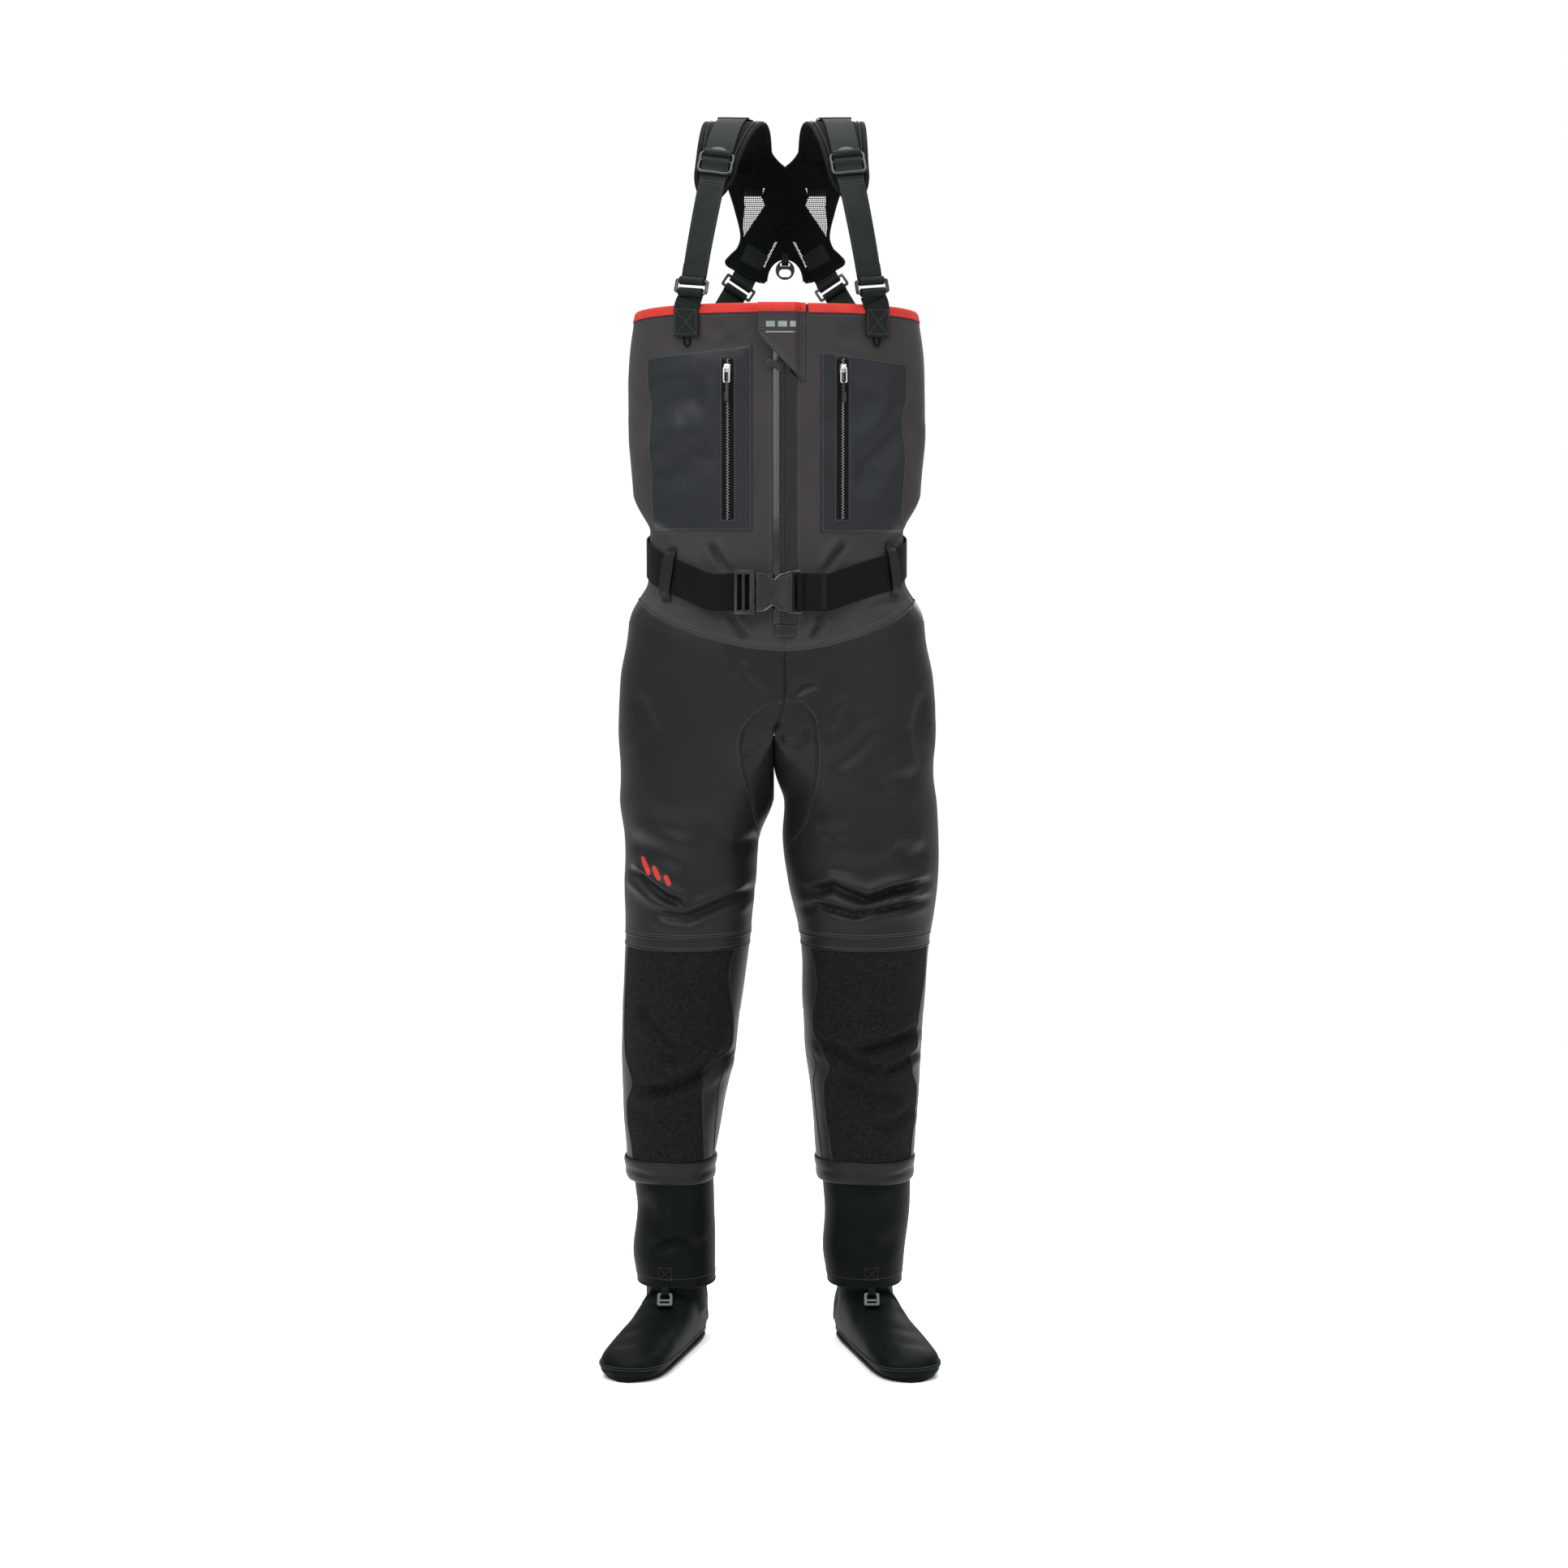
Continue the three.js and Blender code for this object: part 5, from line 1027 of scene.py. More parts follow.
class WADERS_PG_sizes(bpy.types.PropertyGroup):
    """Sizes that a maker would choose for the sewn parts, in millimetres."""

    laminate: FloatProperty(name="Laminate", description="Thickness of the laminate", default=1.4, min=0.6,
                            max=2.2)
    neoprene: FloatProperty(name="Neoprene", description="Thickness of the neoprene", default=3.6, min=2.0,
                            max=5.0)
    stitch: FloatProperty(name="Stitch pitch", description="Distance between stitches", default=3.4, min=2.0,
                          max=6.0)
    binding: FloatProperty(name="Binding depth", description="Height of the top binding", default=11.0,
                           min=6.0, max=14.0)
    pad: FloatProperty(name="Pad", description="Thickness of the shoulder pads", default=8.0, min=4.0,
                       max=10.0)
    tooth: FloatProperty(name="Tooth pitch", description="Pitch of the main zip's teeth", default=4.2,
                         min=2.5, max=6.0)


class WADERS_OT_stage(bpy.types.Operator):
    """Sets the camera, the pale floor and the soft studio light"""

    bl_idname = "waders.stage"
    bl_label = "Stage"

    def execute(self, context):
        scene = context.scene
        camera = bpy.data.objects.new("Camera", bpy.data.cameras.new("Camera"))
        scene.collection.objects.link(camera)
        camera.data.lens = 69.58
        camera.data.sensor_width = 36.0
        camera.location = (ORIGIN[0] + 0.003, ORIGIN[1] - 4.2, 1.175)
        camera.rotation_euler = (math.radians(90 - 5.2), 0, 0)
        scene.camera = camera

        turn = np.linspace(0, 2 * math.pi, 96, endpoint=False)
        rim = np.stack([2.9 * np.cos(turn), 2.9 * np.sin(turn), np.full(96, -0.0004)], -1)
        mesh = bpy.data.meshes.new("floor")
        mesh.from_pydata(rim.tolist(), [], [list(range(96))])
        ground = bpy.data.objects.new("floor", mesh)
        scene.collection.objects.link(ground)
        material, tree, surface = blank("Paper backdrop", 0.9)
        place = add_node(tree, "ShaderNodeTexCoord").outputs["Object"]
        tree.links.new(tone(tree, place, linear("#f4f4f4"), linear("#f7f7f7"), 3.0),
                       surface.inputs["Base Color"])
        mesh.materials.append(material)

        world = bpy.data.worlds.new("Studio")
        scene.world = world
        world.use_nodes = True
        background = world.node_tree.nodes["Background"]
        background.inputs["Color"].default_value = (1, 1, 1, 1)
        seen = add_node(world.node_tree, "ShaderNodeLightPath")
        level = add_node(world.node_tree, "ShaderNodeMapRange",
                         inputs={"Value": seen.outputs["Is Camera Ray"], "To Min": 0.6, "To Max": 1.0})
        world.node_tree.links.new(level.outputs["Result"], background.inputs["Strength"])
        scene.view_settings.view_transform = "Standard"
        for name, place, aim, size, power in (
            ("Key", (-1.8, -3.0, 3.6), (0, 0, 1.0), 1.6, 110),
            ("Fill", (2.8, -3.0, 2.2), (0, 0, 0.9), 2.4, 35),
            ("Top", (0, 0, 4.6), (0, 0, 0), 5.5, 420),
            ("Left strip", (-0.9, -3.3, 1.5), (0, 0, 1.35), 0.7, 5),
            ("Back", (0.6, 3.2, 2.4), (0, 0, 1.2), 2.4, 60),
        ):
            lamp = bpy.data.lights.new(name, "AREA")
            lamp.size = size
            lamp.energy = power
            holder = bpy.data.objects.new(name, lamp)
            holder.location = place
            holder.rotation_euler = (Vector(aim) - Vector(place)).to_track_quat("-Z", "Y").to_euler()
            scene.collection.objects.link(holder)
        return {"FINISHED"}


class WADERS_OT_materials(bpy.types.Operator):
    """Makes every material from the colours in the panel"""

    bl_idname = "waders.materials"
    bl_label = "Materials"

    def execute(self, context):
        look = context.scene.waders_looks
        for maker in (chest_laminate, leg_laminate, pocket_laminate, webbing, strap_twill, ribbed_webbing,
                      belt_webbing,
                      red_tape, piping, knee_cloth, neoprene, spacer_mesh, acetal, zip_rubber, zip_teeth,
                      zip_metal):
            MATERIALS[maker.__name__] = maker(look)
        MATERIALS["grey_print"] = garment_print("Screen print, grey", look.grey_ink)
        MATERIALS["red_print"] = garment_print("Screen print, red", look.red_ink)
        MATERIALS["grey_thread"] = thread("Polyester thread, grey", linear("#4a4c4d"))
        MATERIALS["dark_thread"] = thread("Polyester thread, black", linear("#26292a"))
        return {"FINISHED"}


class WADERS_OT_chest(bpy.types.Operator):
    """Makes the three chest panels with their folds, side seams and top-stitching"""

    bl_idname = "waders.chest"
    bl_label = "Chest panels"

    def execute(self, context):
        wall = context.scene.waders_sizes.laminate
        cloth = MATERIALS["chest_laminate"]
        rows = np.linspace(0, 1, 150)[:, None]

        slit = 0.0008  # angle left open between panels that meet at the front or the side seams

        def panel(start, end, count):
            """Angles run from start to end. An end that is a function of height gives the edge's x there."""
            u = np.linspace(0, 1, count)[None, :]
            z = np.full((150, count), 1200.0)
            for _ in range(4):
                first = start if not callable(start) else torso_angle(start(z), z)
                final = end if not callable(end) else torso_angle(end(z), z)
                angle = mix(first, final, u)
                z = mix(seam_height(angle) + 0.3, edge_height(angle), rows)
            return torso_at(angle, z)

        def zip_edge(sign):
            return lambda z: ZIP_X + sign * mix(0.2, 11, ease((z - 1024) / 3))

        right = panel(-math.pi + slit, zip_edge(-1), 118)
        left = panel(zip_edge(1), -slit, 118)
        back = panel(slit, math.pi - slit, 180)
        build("chest_right_cloth", [grid(right)], cloth, stands_for=["chest_front_right"],
              wall=wall)
        build("chest_left_cloth", [grid(left)], cloth, stands_for=["chest_front_left"],
              wall=wall)
        build("chest_back_cloth", [grid(back)], cloth, stands_for=["chest_back"], wall=wall)

        welts, stitches = [], []
        for angle in (0.0, math.pi):
            low, high = seam_height(np.array([angle]))[0], edge_height(np.array([angle]))[0]
            z = np.linspace(low + 1, high - 2, 160)
            path, out = laid(torso_at, np.full(160, angle), z)
            welts.append(welt(path, out, 4.5, 0.9))
            for shift in (-0.03, 0.03):
                path, out = laid(torso_at, np.full(160, angle + shift), z, 0.25)
                stitches.append(stitched(path, out))
        around = np.linspace(-math.pi, math.pi, 420)
        path, out = laid(torso_at, around, seam_height(around), 0)
        welts.append(welt(path, out, 3.6, 0.9))
        for lift in (3.6, 7.4):
            path, out = laid(torso_at, around, seam_height(around) + lift, 0.25)
            stitches.append(stitched(path, out))
        build("chest_seams", welts, cloth)

        z = np.linspace(1000, 1412, 200)
        for x in (ZIP_X - 19.5, ZIP_X + 19.5):
            path, out = laid(front_at, np.full(200, x), z, 0.3)
            stitches.append(stitched(path, out))
        angle = np.linspace(-math.pi, math.pi, 420)
        path, out = laid(torso_at, angle, edge_height(angle) - 15, 0.3)
        keep = np.abs(path[:, 0] - ZIP_X) > 32
        for part in (keep & (path[:, 0] < ZIP_X), keep & (path[:, 0] > ZIP_X) & (path[:, 1] < 0)):
            stitches.append(stitched(path[part], out[part]))
        build("chest_stitching", stitches, MATERIALS["grey_thread"])
        return {"FINISHED"}


ARCH_RIGHT = [(703, -28), (739, -34), (782, -42), (816, -51), (854, -57), (872, -54), (894, -38), (908, -20),
              (915, -8)]
ARCH_LEFT = [(703, 4), (714, 9), (745, 31), (792, 43), (835, 48), (869, 47), (894, 42), (908, 30), (915, 20)]
ARCH_TOP = 918.0


def arch_edges(z):
    """Left and right edges of the gusset at a height, in the front view."""
    low, = rows_at(ARCH_RIGHT, z)
    high, = rows_at(ARCH_LEFT, z)
    close = ease((z - 912) / (ARCH_TOP - 912))
    return mix(low, 6, close), mix(high, 6, close)


class WADERS_OT_trousers(bpy.types.Operator):
    """Makes the thighs and the gusset between them, with the folds above the knees"""

    bl_idname = "waders.trousers"
    bl_label = "Thighs and gusset"

    def execute(self, context):
        wall = context.scene.waders_sizes.laminate
        cloth = MATERIALS["leg_laminate"]
        gusset, grids = [], {}
        for side, s in SIDES.items():
            points = hip_grid(side)
            grids[side] = points
            looped = np.concatenate([points, points[:, :1]], 1)
            middle = (looped[:-1, :-1] + looped[1:, 1:]) / 2
            x, z = middle[..., 0], middle[..., 2]
            low, high = arch_edges(z)
            within = (x > low) & (x < high) & (z > 703) & (z < ARCH_TOP)
            divider = (np.abs(x - divide_at(z)) < 0.3) & (z > 846)
            leg_middle = (-120 if s < 0 else 105, 0)
            build(f"{side}_thigh_cloth", [grid(points, True, ~within & ~divider)], cloth,
                  stands_for=[f"{side}_thigh"], middle=leg_middle, wall=wall)
            part = grid(points, True, within & ~divider)
            if outward_share(part, leg_middle) < 0:
                part["faces"] = [(index[:, ::-1], uv[:, ::-1]) for index, uv in part["faces"]]
            gusset.append(part)
        made = build("gusset_cloth", gusset, cloth, stands_for=["crotch_gusset"], wall=0)
        solid = made.modifiers.new("Wall", "SOLIDIFY")
        solid.thickness = wall * MM
        solid.offset = -1

        both = np.concatenate([grids["right"].reshape(-1, 3), grids["left"].reshape(-1, 3)])
        z_low = np.linspace(722, ARCH_TOP - 2, 60)
        low, high = arch_edges(z_low)
        outline = np.concatenate([np.stack([low, z_low], 1), np.stack([high, z_low], 1)[::-1]])
        welts, stitches = [], []
        x, z = outline.T
        path = on_grid(both, x, z, 0.1)
        out = unit(on_grid(both, x, z, 1.1) - path)
        welts.append(welt(path, out, 2.6, 0.9))
        spread = outline + unit(outline - [-2, 830]) * 3.4
        path = on_grid(both, *spread.T, 0.3)
        out = unit(on_grid(both, *spread.T, 1.3) - path)
        stitches.append(stitched(path, out))
        z = np.linspace(ARCH_TOP + 1, YOKE_SEAM - 2, 24)
        for x in (4.0, 7.2):
            line = np.full(24, x) + (ARCH_TOP + 60 - z) * 0.02
            path = on_grid(both, line, z, 0.1)
            out = unit(on_grid(both, line, z, 1.1) - path)
            if x == 4.0:
                welts.append(welt(path, out, 2.6, 0.8))
            else:
                stitches.append(stitched(path + out * 0.2, out))
        for side, s in SIDES.items():
            z = np.linspace(KNEE_SEAM + 2, 1020, 200)
            u = np.full(200, 0.5)
            path, out = laid(lambda a, b, h: hip_ring(side, a, b, h), u, z)
            welts.append(welt(path, out, 4.0, 0.9))
        build("thigh_seams", welts, cloth)
        build("thigh_stitching", stitches, MATERIALS["grey_thread"])

        bars = []
        for k in range(3):
            centre = np.array([-186 + 15 * k, 688 - 9 * k])
            long = 26 - 5 * k
            t = np.linspace(-0.5, 0.5, 14)
            for_bar = centre + np.outer(t * long, [0.42, -0.91]) * -1
            rows = []
            for w in np.linspace(-1, 1, 7):
                width = 3.2 * np.sqrt(np.maximum(0.02, 1 - (2 * t) ** 6))
                rows.append(for_bar + np.outer(w * width, [0.91, 0.42]))
            flat = np.concatenate(rows)
            front = on_grid(both, *flat.T, 0.45).reshape(7, 14, 3)
            bars.append(grid(front))
        build("thigh_mark", bars, MATERIALS["red_print"], middle=(-150, 0))
        return {"FINISHED"}


# Edges of the textured knee panels in the front view, as [height, x].
PANEL_INNER = {
    "right": [(250, -109), (300, -109), (348, -110), (396, -108), (412, -92), (424, -72), (474, -68),
              (537, -72), (574, -64)],
    "left": [(250, 73), (276, 70), (332, 61), (379, 58), (408, 66), (424, 58), (443, 46), (474, 42),
             (521, 48), (574, 40)],
}
PANEL_OUTER = {
    "right": [(250, -207), (284, -210), (348, -216), (379, -208), (420, -218), (500, -217), (574, -212)],
    "left": [(250, 180), (278, 181), (370, 188), (402, 180), (440, 187), (474, 189), (528, 198), (574, 200)],
}


def leg_theta(side, x, z):
    """The angle round the leg at which its front has this x."""
    share = (z - CUFF_HIGH) / (INSEAM - CUFF_HIGH)
    centre, half, _, _ = rows_at(LEGS[side], share)
    return -np.arccos(np.clip((x - centre) / half, -0.985, 0.985))


class WADERS_OT_shins(bpy.types.Operator):
    """Makes the textured knee panels, the calf panels behind them and the knee seams"""

    bl_idname = "waders.shins"
    bl_label = "Knee and calf panels"

    def execute(self, context):
        wall = context.scene.waders_sizes.laminate
        pitch = context.scene.waders_sizes.stitch
        cloth = MATERIALS["leg_laminate"]
        for side, s in SIDES.items():
            leg_middle = (-135 if s < 0 else 115, 0)

            def surface(theta, z, h=0.0):
                return leg_at(side, theta, z, h)

            z = np.linspace(CUFF_HIGH - 1, PANEL_TOP, 150)[:, None]
            inner = leg_theta(side, rows_at(PANEL_INNER[side], z[:, 0])[0], z[:, 0])[:, None]
            outer = leg_theta(side, rows_at(PANEL_OUTER[side], z[:, 0])[0], z[:, 0])[:, None]
            u = np.linspace(0, 1, 110)[None, :]
            panel = surface(mix(outer, inner, u), z)
            build(f"{side}_knee_cloth", [grid(panel)], MATERIALS["knee_cloth"],
                  stands_for=[f"{side}_knee_panel"], middle=leg_middle, wall=wall)
            calf = surface(mix(inner, outer - s * 2 * math.pi, np.linspace(0, 1, 130)[None, :]), z)
            header_z = np.linspace(PANEL_TOP, KNEE_SEAM - 0.3, 9)[:, None]
            header = surface(np.linspace(-math.pi, math.pi, 200, endpoint=False)[None, :], header_z)
            build(f"{side}_calf_cloth", [grid(calf), grid(header, True)], cloth,
                  stands_for=[f"{side}_calf_panel"], middle=leg_middle, wall=wall)

            welts, stitches = [], []
            flat_z = z[:, 0]
            for edge in (inner[:, 0], outer[:, 0]):
                path, out = laid(surface, edge, flat_z)
                welts.append(welt(path, out, 2.4, 0.9))
            theta = np.linspace(-math.pi, math.pi, 240)
            for height, wide in ((KNEE_SEAM, 3.4), (PANEL_TOP, 2.6)):
                path, out = laid(surface, theta, np.full(240, height))
                welts.append(welt(path, out, wide, 1.0))
                for lift in ((3.4, 6.6) if height == KNEE_SEAM else (3.2,)):
                    path, out = laid(surface, theta, np.full(240, height + lift), 0.3)
                    stitches.append(stitched(path, out, pitch))
            seam_z = np.linspace(CUFF_HIGH + 4, PANEL_TOP - 150, 90)
            offset = 0.42 if s < 0 else -0.34
            path, out = laid(surface, leg_theta(side, rows_at(PANEL_INNER[side], seam_z)[0], seam_z) + offset,
                             seam_z)
            welts.append(welt(path, out, 2.2, 0.8))
            back = np.linspace(CUFF_HIGH + 2, PANEL_TOP, 120)
            path, out = laid(surface, np.full(120, math.pi / 2), back)
            welts.append(welt(path, out, 3.0, 0.9))
            build(f"{side}_shin_seams", welts, cloth, middle=leg_middle)
            build(f"{side}_shin_stitching", stitches, MATERIALS["grey_thread"],
                  middle=leg_middle)
        return {"FINISHED"}


# Rows of [distance ahead of the ankle, half width, top height].
FOOT = [
    [-64, 9, 34],
    [-56, 24, 58],
    [-38, 34, 84],
    [-4, 39, 96],
    [36, 41, 84],
    [80, 43, 64],
    [122, 45, 54],
    [162, 46, 45],
    [196, 43, 38],
    [215, 32, 32],
    [225, 14, 24],
]
TOE_OUT = math.radians(17)
SOLE = 5.0


def foot_ways(side):
    """The ankle's place on the floor, and the foot's forward and sideways directions."""
    s = SIDES[side]
    ankle = np.array([-149.0 if s < 0 else 117.0, 12.0, 0.0])
    forward = np.array([s * math.sin(TOE_OUT), -math.cos(TOE_OUT), 0])
    across = np.array([math.cos(TOE_OUT), s * math.sin(TOE_OUT), 0])
    return ankle, forward, across


def foot_loft(side, count=64, around=52):
    """Rounded sections across the foot, each a superellipse that widens from the sole to its middle."""
    ankle, forward, across = foot_ways(side)
    ahead = np.linspace(-64, 225, count)
    half, top = rows_at(FOOT, ahead)
    a = np.linspace(0, 2 * math.pi, around, endpoint=False)[None, :]
    middle = (0.45 * top)[:, None]
    up = np.where(np.sin(a) < 0, middle + 7, top[:, None] - middle) * signed_power(np.sin(a), 0.8)
    wide = half[:, None] * signed_power(np.cos(a), 0.8)
    points = ankle + forward * ahead[:, None, None] + across * wide[..., None]
    points[..., 2] = np.maximum(middle + up, SOLE + 0.4)
    return points


def merged_skin(parts, voxel, rounds):
    """One smooth skin round several closed parts: a voxel remesh, then a smoothing."""
    work = build("sock_work", parts, MATERIALS["neoprene"])
    remesh = work.modifiers.new("Join", "REMESH")
    remesh.mode = "VOXEL"
    remesh.voxel_size = voxel * MM
    smooth = work.modifiers.new("Smooth", "SMOOTH")
    smooth.factor = 0.6
    smooth.iterations = rounds
    ready = work.evaluated_get(bpy.context.evaluated_depsgraph_get())
    mesh = bpy.data.meshes.new_from_object(ready)
    bpy.data.objects.remove(work)
    return mesh


def on_skin(tree, places, away, h):
    """Places moved onto a skin along the line towards it, h above it, with the skin's normals there."""
    found, normals = [], []
    for place, way in zip(places, away):
        start = Vector((place + way * 60) * MM + ORIGIN)
        hit, normal, _, _ = tree.ray_cast(start, Vector(-way), 0.2)
        if hit is not None:
            found.append((np.array(hit) - ORIGIN) / MM + np.array(normal) * h)
            normals.append(np.array(normal))
    return np.array(found), np.array(normals)


class WADERS_OT_feet(bpy.types.Operator):
    """Makes the neoprene socks with their soles, overlocked seams, gravel guards and rolled cuff bands"""

    bl_idname = "waders.feet"
    bl_label = "Socks, guards and cuffs"

    def execute(self, context):
        rubber = MATERIALS["neoprene"]
        thick = context.scene.waders_sizes.neoprene
        for side, s in SIDES.items():
            ankle, forward, across = foot_ways(side)
            leg_middle = (ankle[0], ankle[1])
            foot = foot_loft(side)
            shaft_z = np.linspace(46, 219, 60)[:, None]
            theta = np.linspace(0, 2 * math.pi, 72, endpoint=False)[None, :]
            shaft = tube_at(GUARD[side], theta, np.broadcast_to(shaft_z, (60, 72)), -12.0)

            def closed(points):
                part = grid(points, True, closed=True)
                count = points.shape[1]
                for ring in (np.arange(count)[::-1], (points.shape[0] - 1) * count + np.arange(count)):
                    part["faces"].append((ring[None], None))
                return part

            mesh = merged_skin([closed(foot), closed(shaft)], 2.6, 14)
            count = len(mesh.vertices)
            places = np.empty(count * 3)
            mesh.vertices.foreach_get("co", places)
            places = (places.reshape(-1, 3) - ORIGIN) / MM
            normals = np.empty(count * 3)
            mesh.vertices.foreach_get("normal", normals)
            normals = normals.reshape(-1, 3)
            ahead = (places - ankle) @ forward
            level = (places - ankle) @ across
            wrinkle = (crease(level * s, ahead, [(-36, 14), (0, 34), (34, 58)], 6, 1.8)
                       + crease(level * s, ahead, [(-34, 78), (4, 66), (36, 50)], 9, 1.2)
                       + crease(level * s, ahead, [(-40, 112), (0, 134), (34, 150)], 10, 1.1)
                       + crease(level * s, ahead, [(-38, 186), (-6, 176), (34, 188)], 9, 0.9))
            upper = ease((normals[:, 2] + 0.1) / 0.5) * ease((110 - places[:, 2]) / 20)
            places += normals * (wrinkle * upper)[:, None]
            places[:, 2] = np.maximum(places[:, 2], SOLE + 0.3)
            mesh.vertices.foreach_set("co", (places * MM + ORIGIN).ravel())
            mesh.update()
            mesh.name = f"{side}_sock_skin"
            mesh.shade_smooth()
            sock = bpy.data.objects.new(f"{side}_sock_skin", mesh)
            context.scene.collection.objects.link(sock)
            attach(sock, ROOT)
            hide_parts(f"{side}_sock")

            stations = np.linspace(-60, 222, 90)
            half = rows_at(FOOT, stations)[0]
            shape = np.array([(-0.80, 0.0), (-0.9, 1.2), (-0.95, 3.6), (-0.93, SOLE + 1.4),
                              (0.93, SOLE + 1.4), (0.95, 3.6), (0.9, 1.2), (0.80, 0.0)])
            rim = np.sqrt(np.clip(1 - ((stations - 80) / 146) ** 8, 0.02, 1))
            section = np.stack([np.outer(half * rim, shape[:, 0]), np.broadcast_to(shape[:, 1], (90, 8))], -1)
            path = ankle + forward * stations[:, None]
            sole = sweep(path, np.broadcast_to(across, (90, 3)), np.broadcast_to([0.0, 0, 1], (90, 3)),
                         section)
            build(f"{side}_sock_sole", [sole], rubber, stands_for=[f"{side}_sole"], sharp=40)

            corners = np.empty(len(mesh.vertices) * 3, np.float32)
            mesh.vertices.foreach_get("co", corners)
            tree = BVHTree.FromPolygons(corners.reshape(-1, 3).tolist(),
                                        [p.vertices[:] for p in mesh.polygons])
            turn = np.linspace(-math.pi, math.pi, 260)
            around = ankle + forward * (80 + 150 * np.cos(turn))[:, None] + across * (70 * np.sin(turn))[:,
                    None]
            away = unit(around - (ankle + forward * np.clip(80 + 118 * np.cos(turn), -30, 180)[:, None]))
            height = 14 + 5 * np.cos(turn)
            around[:, 2] = height
            path, out = on_skin(tree, around, away, 0.2)
            ridges = [welt(path, out, 3.4, 1.3)]
            zigzag = [stitched(path + out * 1.2 + np.array([0, 0, lift]), out, 2.6, 2.6, 0.9, 0.5)
                      for lift in (-1.6, 1.6)]
            for turn_to, high in ((0.95, 92), (-0.95, 92)):
                t = np.linspace(0, 1, 50)
                sideways = turn_to * s * -1
                ridge_path = np.stack([np.full(50, ankle[0]), np.full(50, ankle[1]), mix(high, 22, t)], 1)
                spin = mix(-1.15 * sideways, -2.3 * sideways, t)
                way = np.stack([np.sin(-spin), -np.cos(spin), np.zeros(50)], 1)
                path, out = on_skin(tree, ridge_path + way * 40, way, 0.2)
                if len(path) > 8:
                    ridges.append(welt(path, out, 2.6, 0.8))
                    zigzag.append(stitched(path + out * 0.7, out, 3.0, 2.4, 1.4, 0.4))
            build(f"{side}_sock_seams", ridges, rubber)
            build(f"{side}_sock_overlock", zigzag, MATERIALS["dark_thread"])
            self.guard(context, side, thick, leg_middle)
            self.cuff(side, leg_middle)
        return {"FINISHED"}

    def guard(self, context, side, thick, leg_middle):
        """A tube that follows the shin, with soft dents, a folded hem and its stitching."""
        def surface(theta, z, h=0.0):
            point = tube_at(GUARD[side], theta, z)
            before = ease((0.2 - np.sin(theta)) / 0.6)
            dent = before * creases(point[..., 0], z, GUARD_FOLDS) + 1.1 * ripple(point[..., 0],
                    z + 30 * np.sin(theta), 24, 30, 5)
            lift = dent * ease((z - 96) / 20) * ease((236 - z) / 14) + h
            return point + np.stack([np.cos(theta), np.sin(theta), 0 * theta], -1) * lift[..., None]

        theta = np.linspace(0, 2 * math.pi, 150, endpoint=False)[None, :]
        z = np.broadcast_to(np.linspace(89, 240, 90)[:, None], (90, 150))
        theta = np.broadcast_to(theta, z.shape)
        rubber = MATERIALS["neoprene"]
        build(f"{side}_guard_cloth", [grid(surface(theta, z), True)], rubber,
              stands_for=[f"{side}_gravel_guard"], middle=leg_middle, wall=thick)
        ring = np.linspace(0, 2 * math.pi, 150, endpoint=False)
        path, out = laid(surface, ring, np.full(150, 90.0), -thick / 2)
        hem = sweep(path, np.cross(directions(path, True), out), out, circle(1, 10) * [3.0, thick / 2 + 0.7],
                    loop=True)
        path, out = laid(surface, ring, np.full(150, 102.0), 0)
        tab = self.tab(side)
        build(f"{side}_guard_hem", [hem, tab], rubber, middle=leg_middle)
        stitches = [stitched(np.concatenate([path, path[:1]]), np.concatenate([out, out[:1]]), 3.0, 2.2, 0.9,
                             0.5)]
        s = SIDES[side]
        middle_x = (-149 - 14) if s < 0 else (117 + 8.4)
        corners = np.array([(-9, 101), (9, 101), (9, 118), (-9, 118), (-9, 101), (9, 118)])
        other = np.array([(-9, 118), (9, 101)])
        for line in (corners, other):
            dense = np.concatenate([np.linspace(a, b, 8)[:-1] for a, b in zip(line[:-1], line[1:])]
                                   + [line[-1:]])
            x = middle_x + dense[:, 0]
            centre, half, _, _ = rows_at(GUARD[side], dense[:, 1])
            path, out = laid(surface, -np.arccos(np.clip((x - centre) / half, -1, 1)), dense[:, 1], 0.2)
            stitches.append(stitched(path, out, 2.8, 2.0, 0.8, 0.45))
        build(f"{side}_guard_stitching", stitches, MATERIALS["dark_thread"], middle=leg_middle)

    def tab(self, side):
        """The elastic that comes out under the hem and turns round the hook's bar."""
        low, high = (np.array(corner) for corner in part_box(f"{side}_lace_hook"))
        hook_x = ((low[0] + high[0]) / 2 - ORIGIN[0]) / MM
        bar_z = (high[2]) / MM - 1.6
        bar_y = (high[1] - ORIGIN[1]) / MM - 1.6
        a = np.linspace(-0.5 * math.pi, 1.2 * math.pi, 14)
        loop = np.stack([np.full(14, hook_x), bar_y - 3.6 * np.cos(a), bar_z - 3.6 * np.sin(a)], 1)
        path = np.concatenate([[[hook_x, bar_y + 4.6, bar_z + 14]], [[hook_x, bar_y + 3.4, bar_z + 6]], loop])
        across = np.broadcast_to([1.0, 0, 0], path.shape)
        return sweep(path, across, unit(np.cross(across, directions(path))), strap_section(11.0, 1.5))

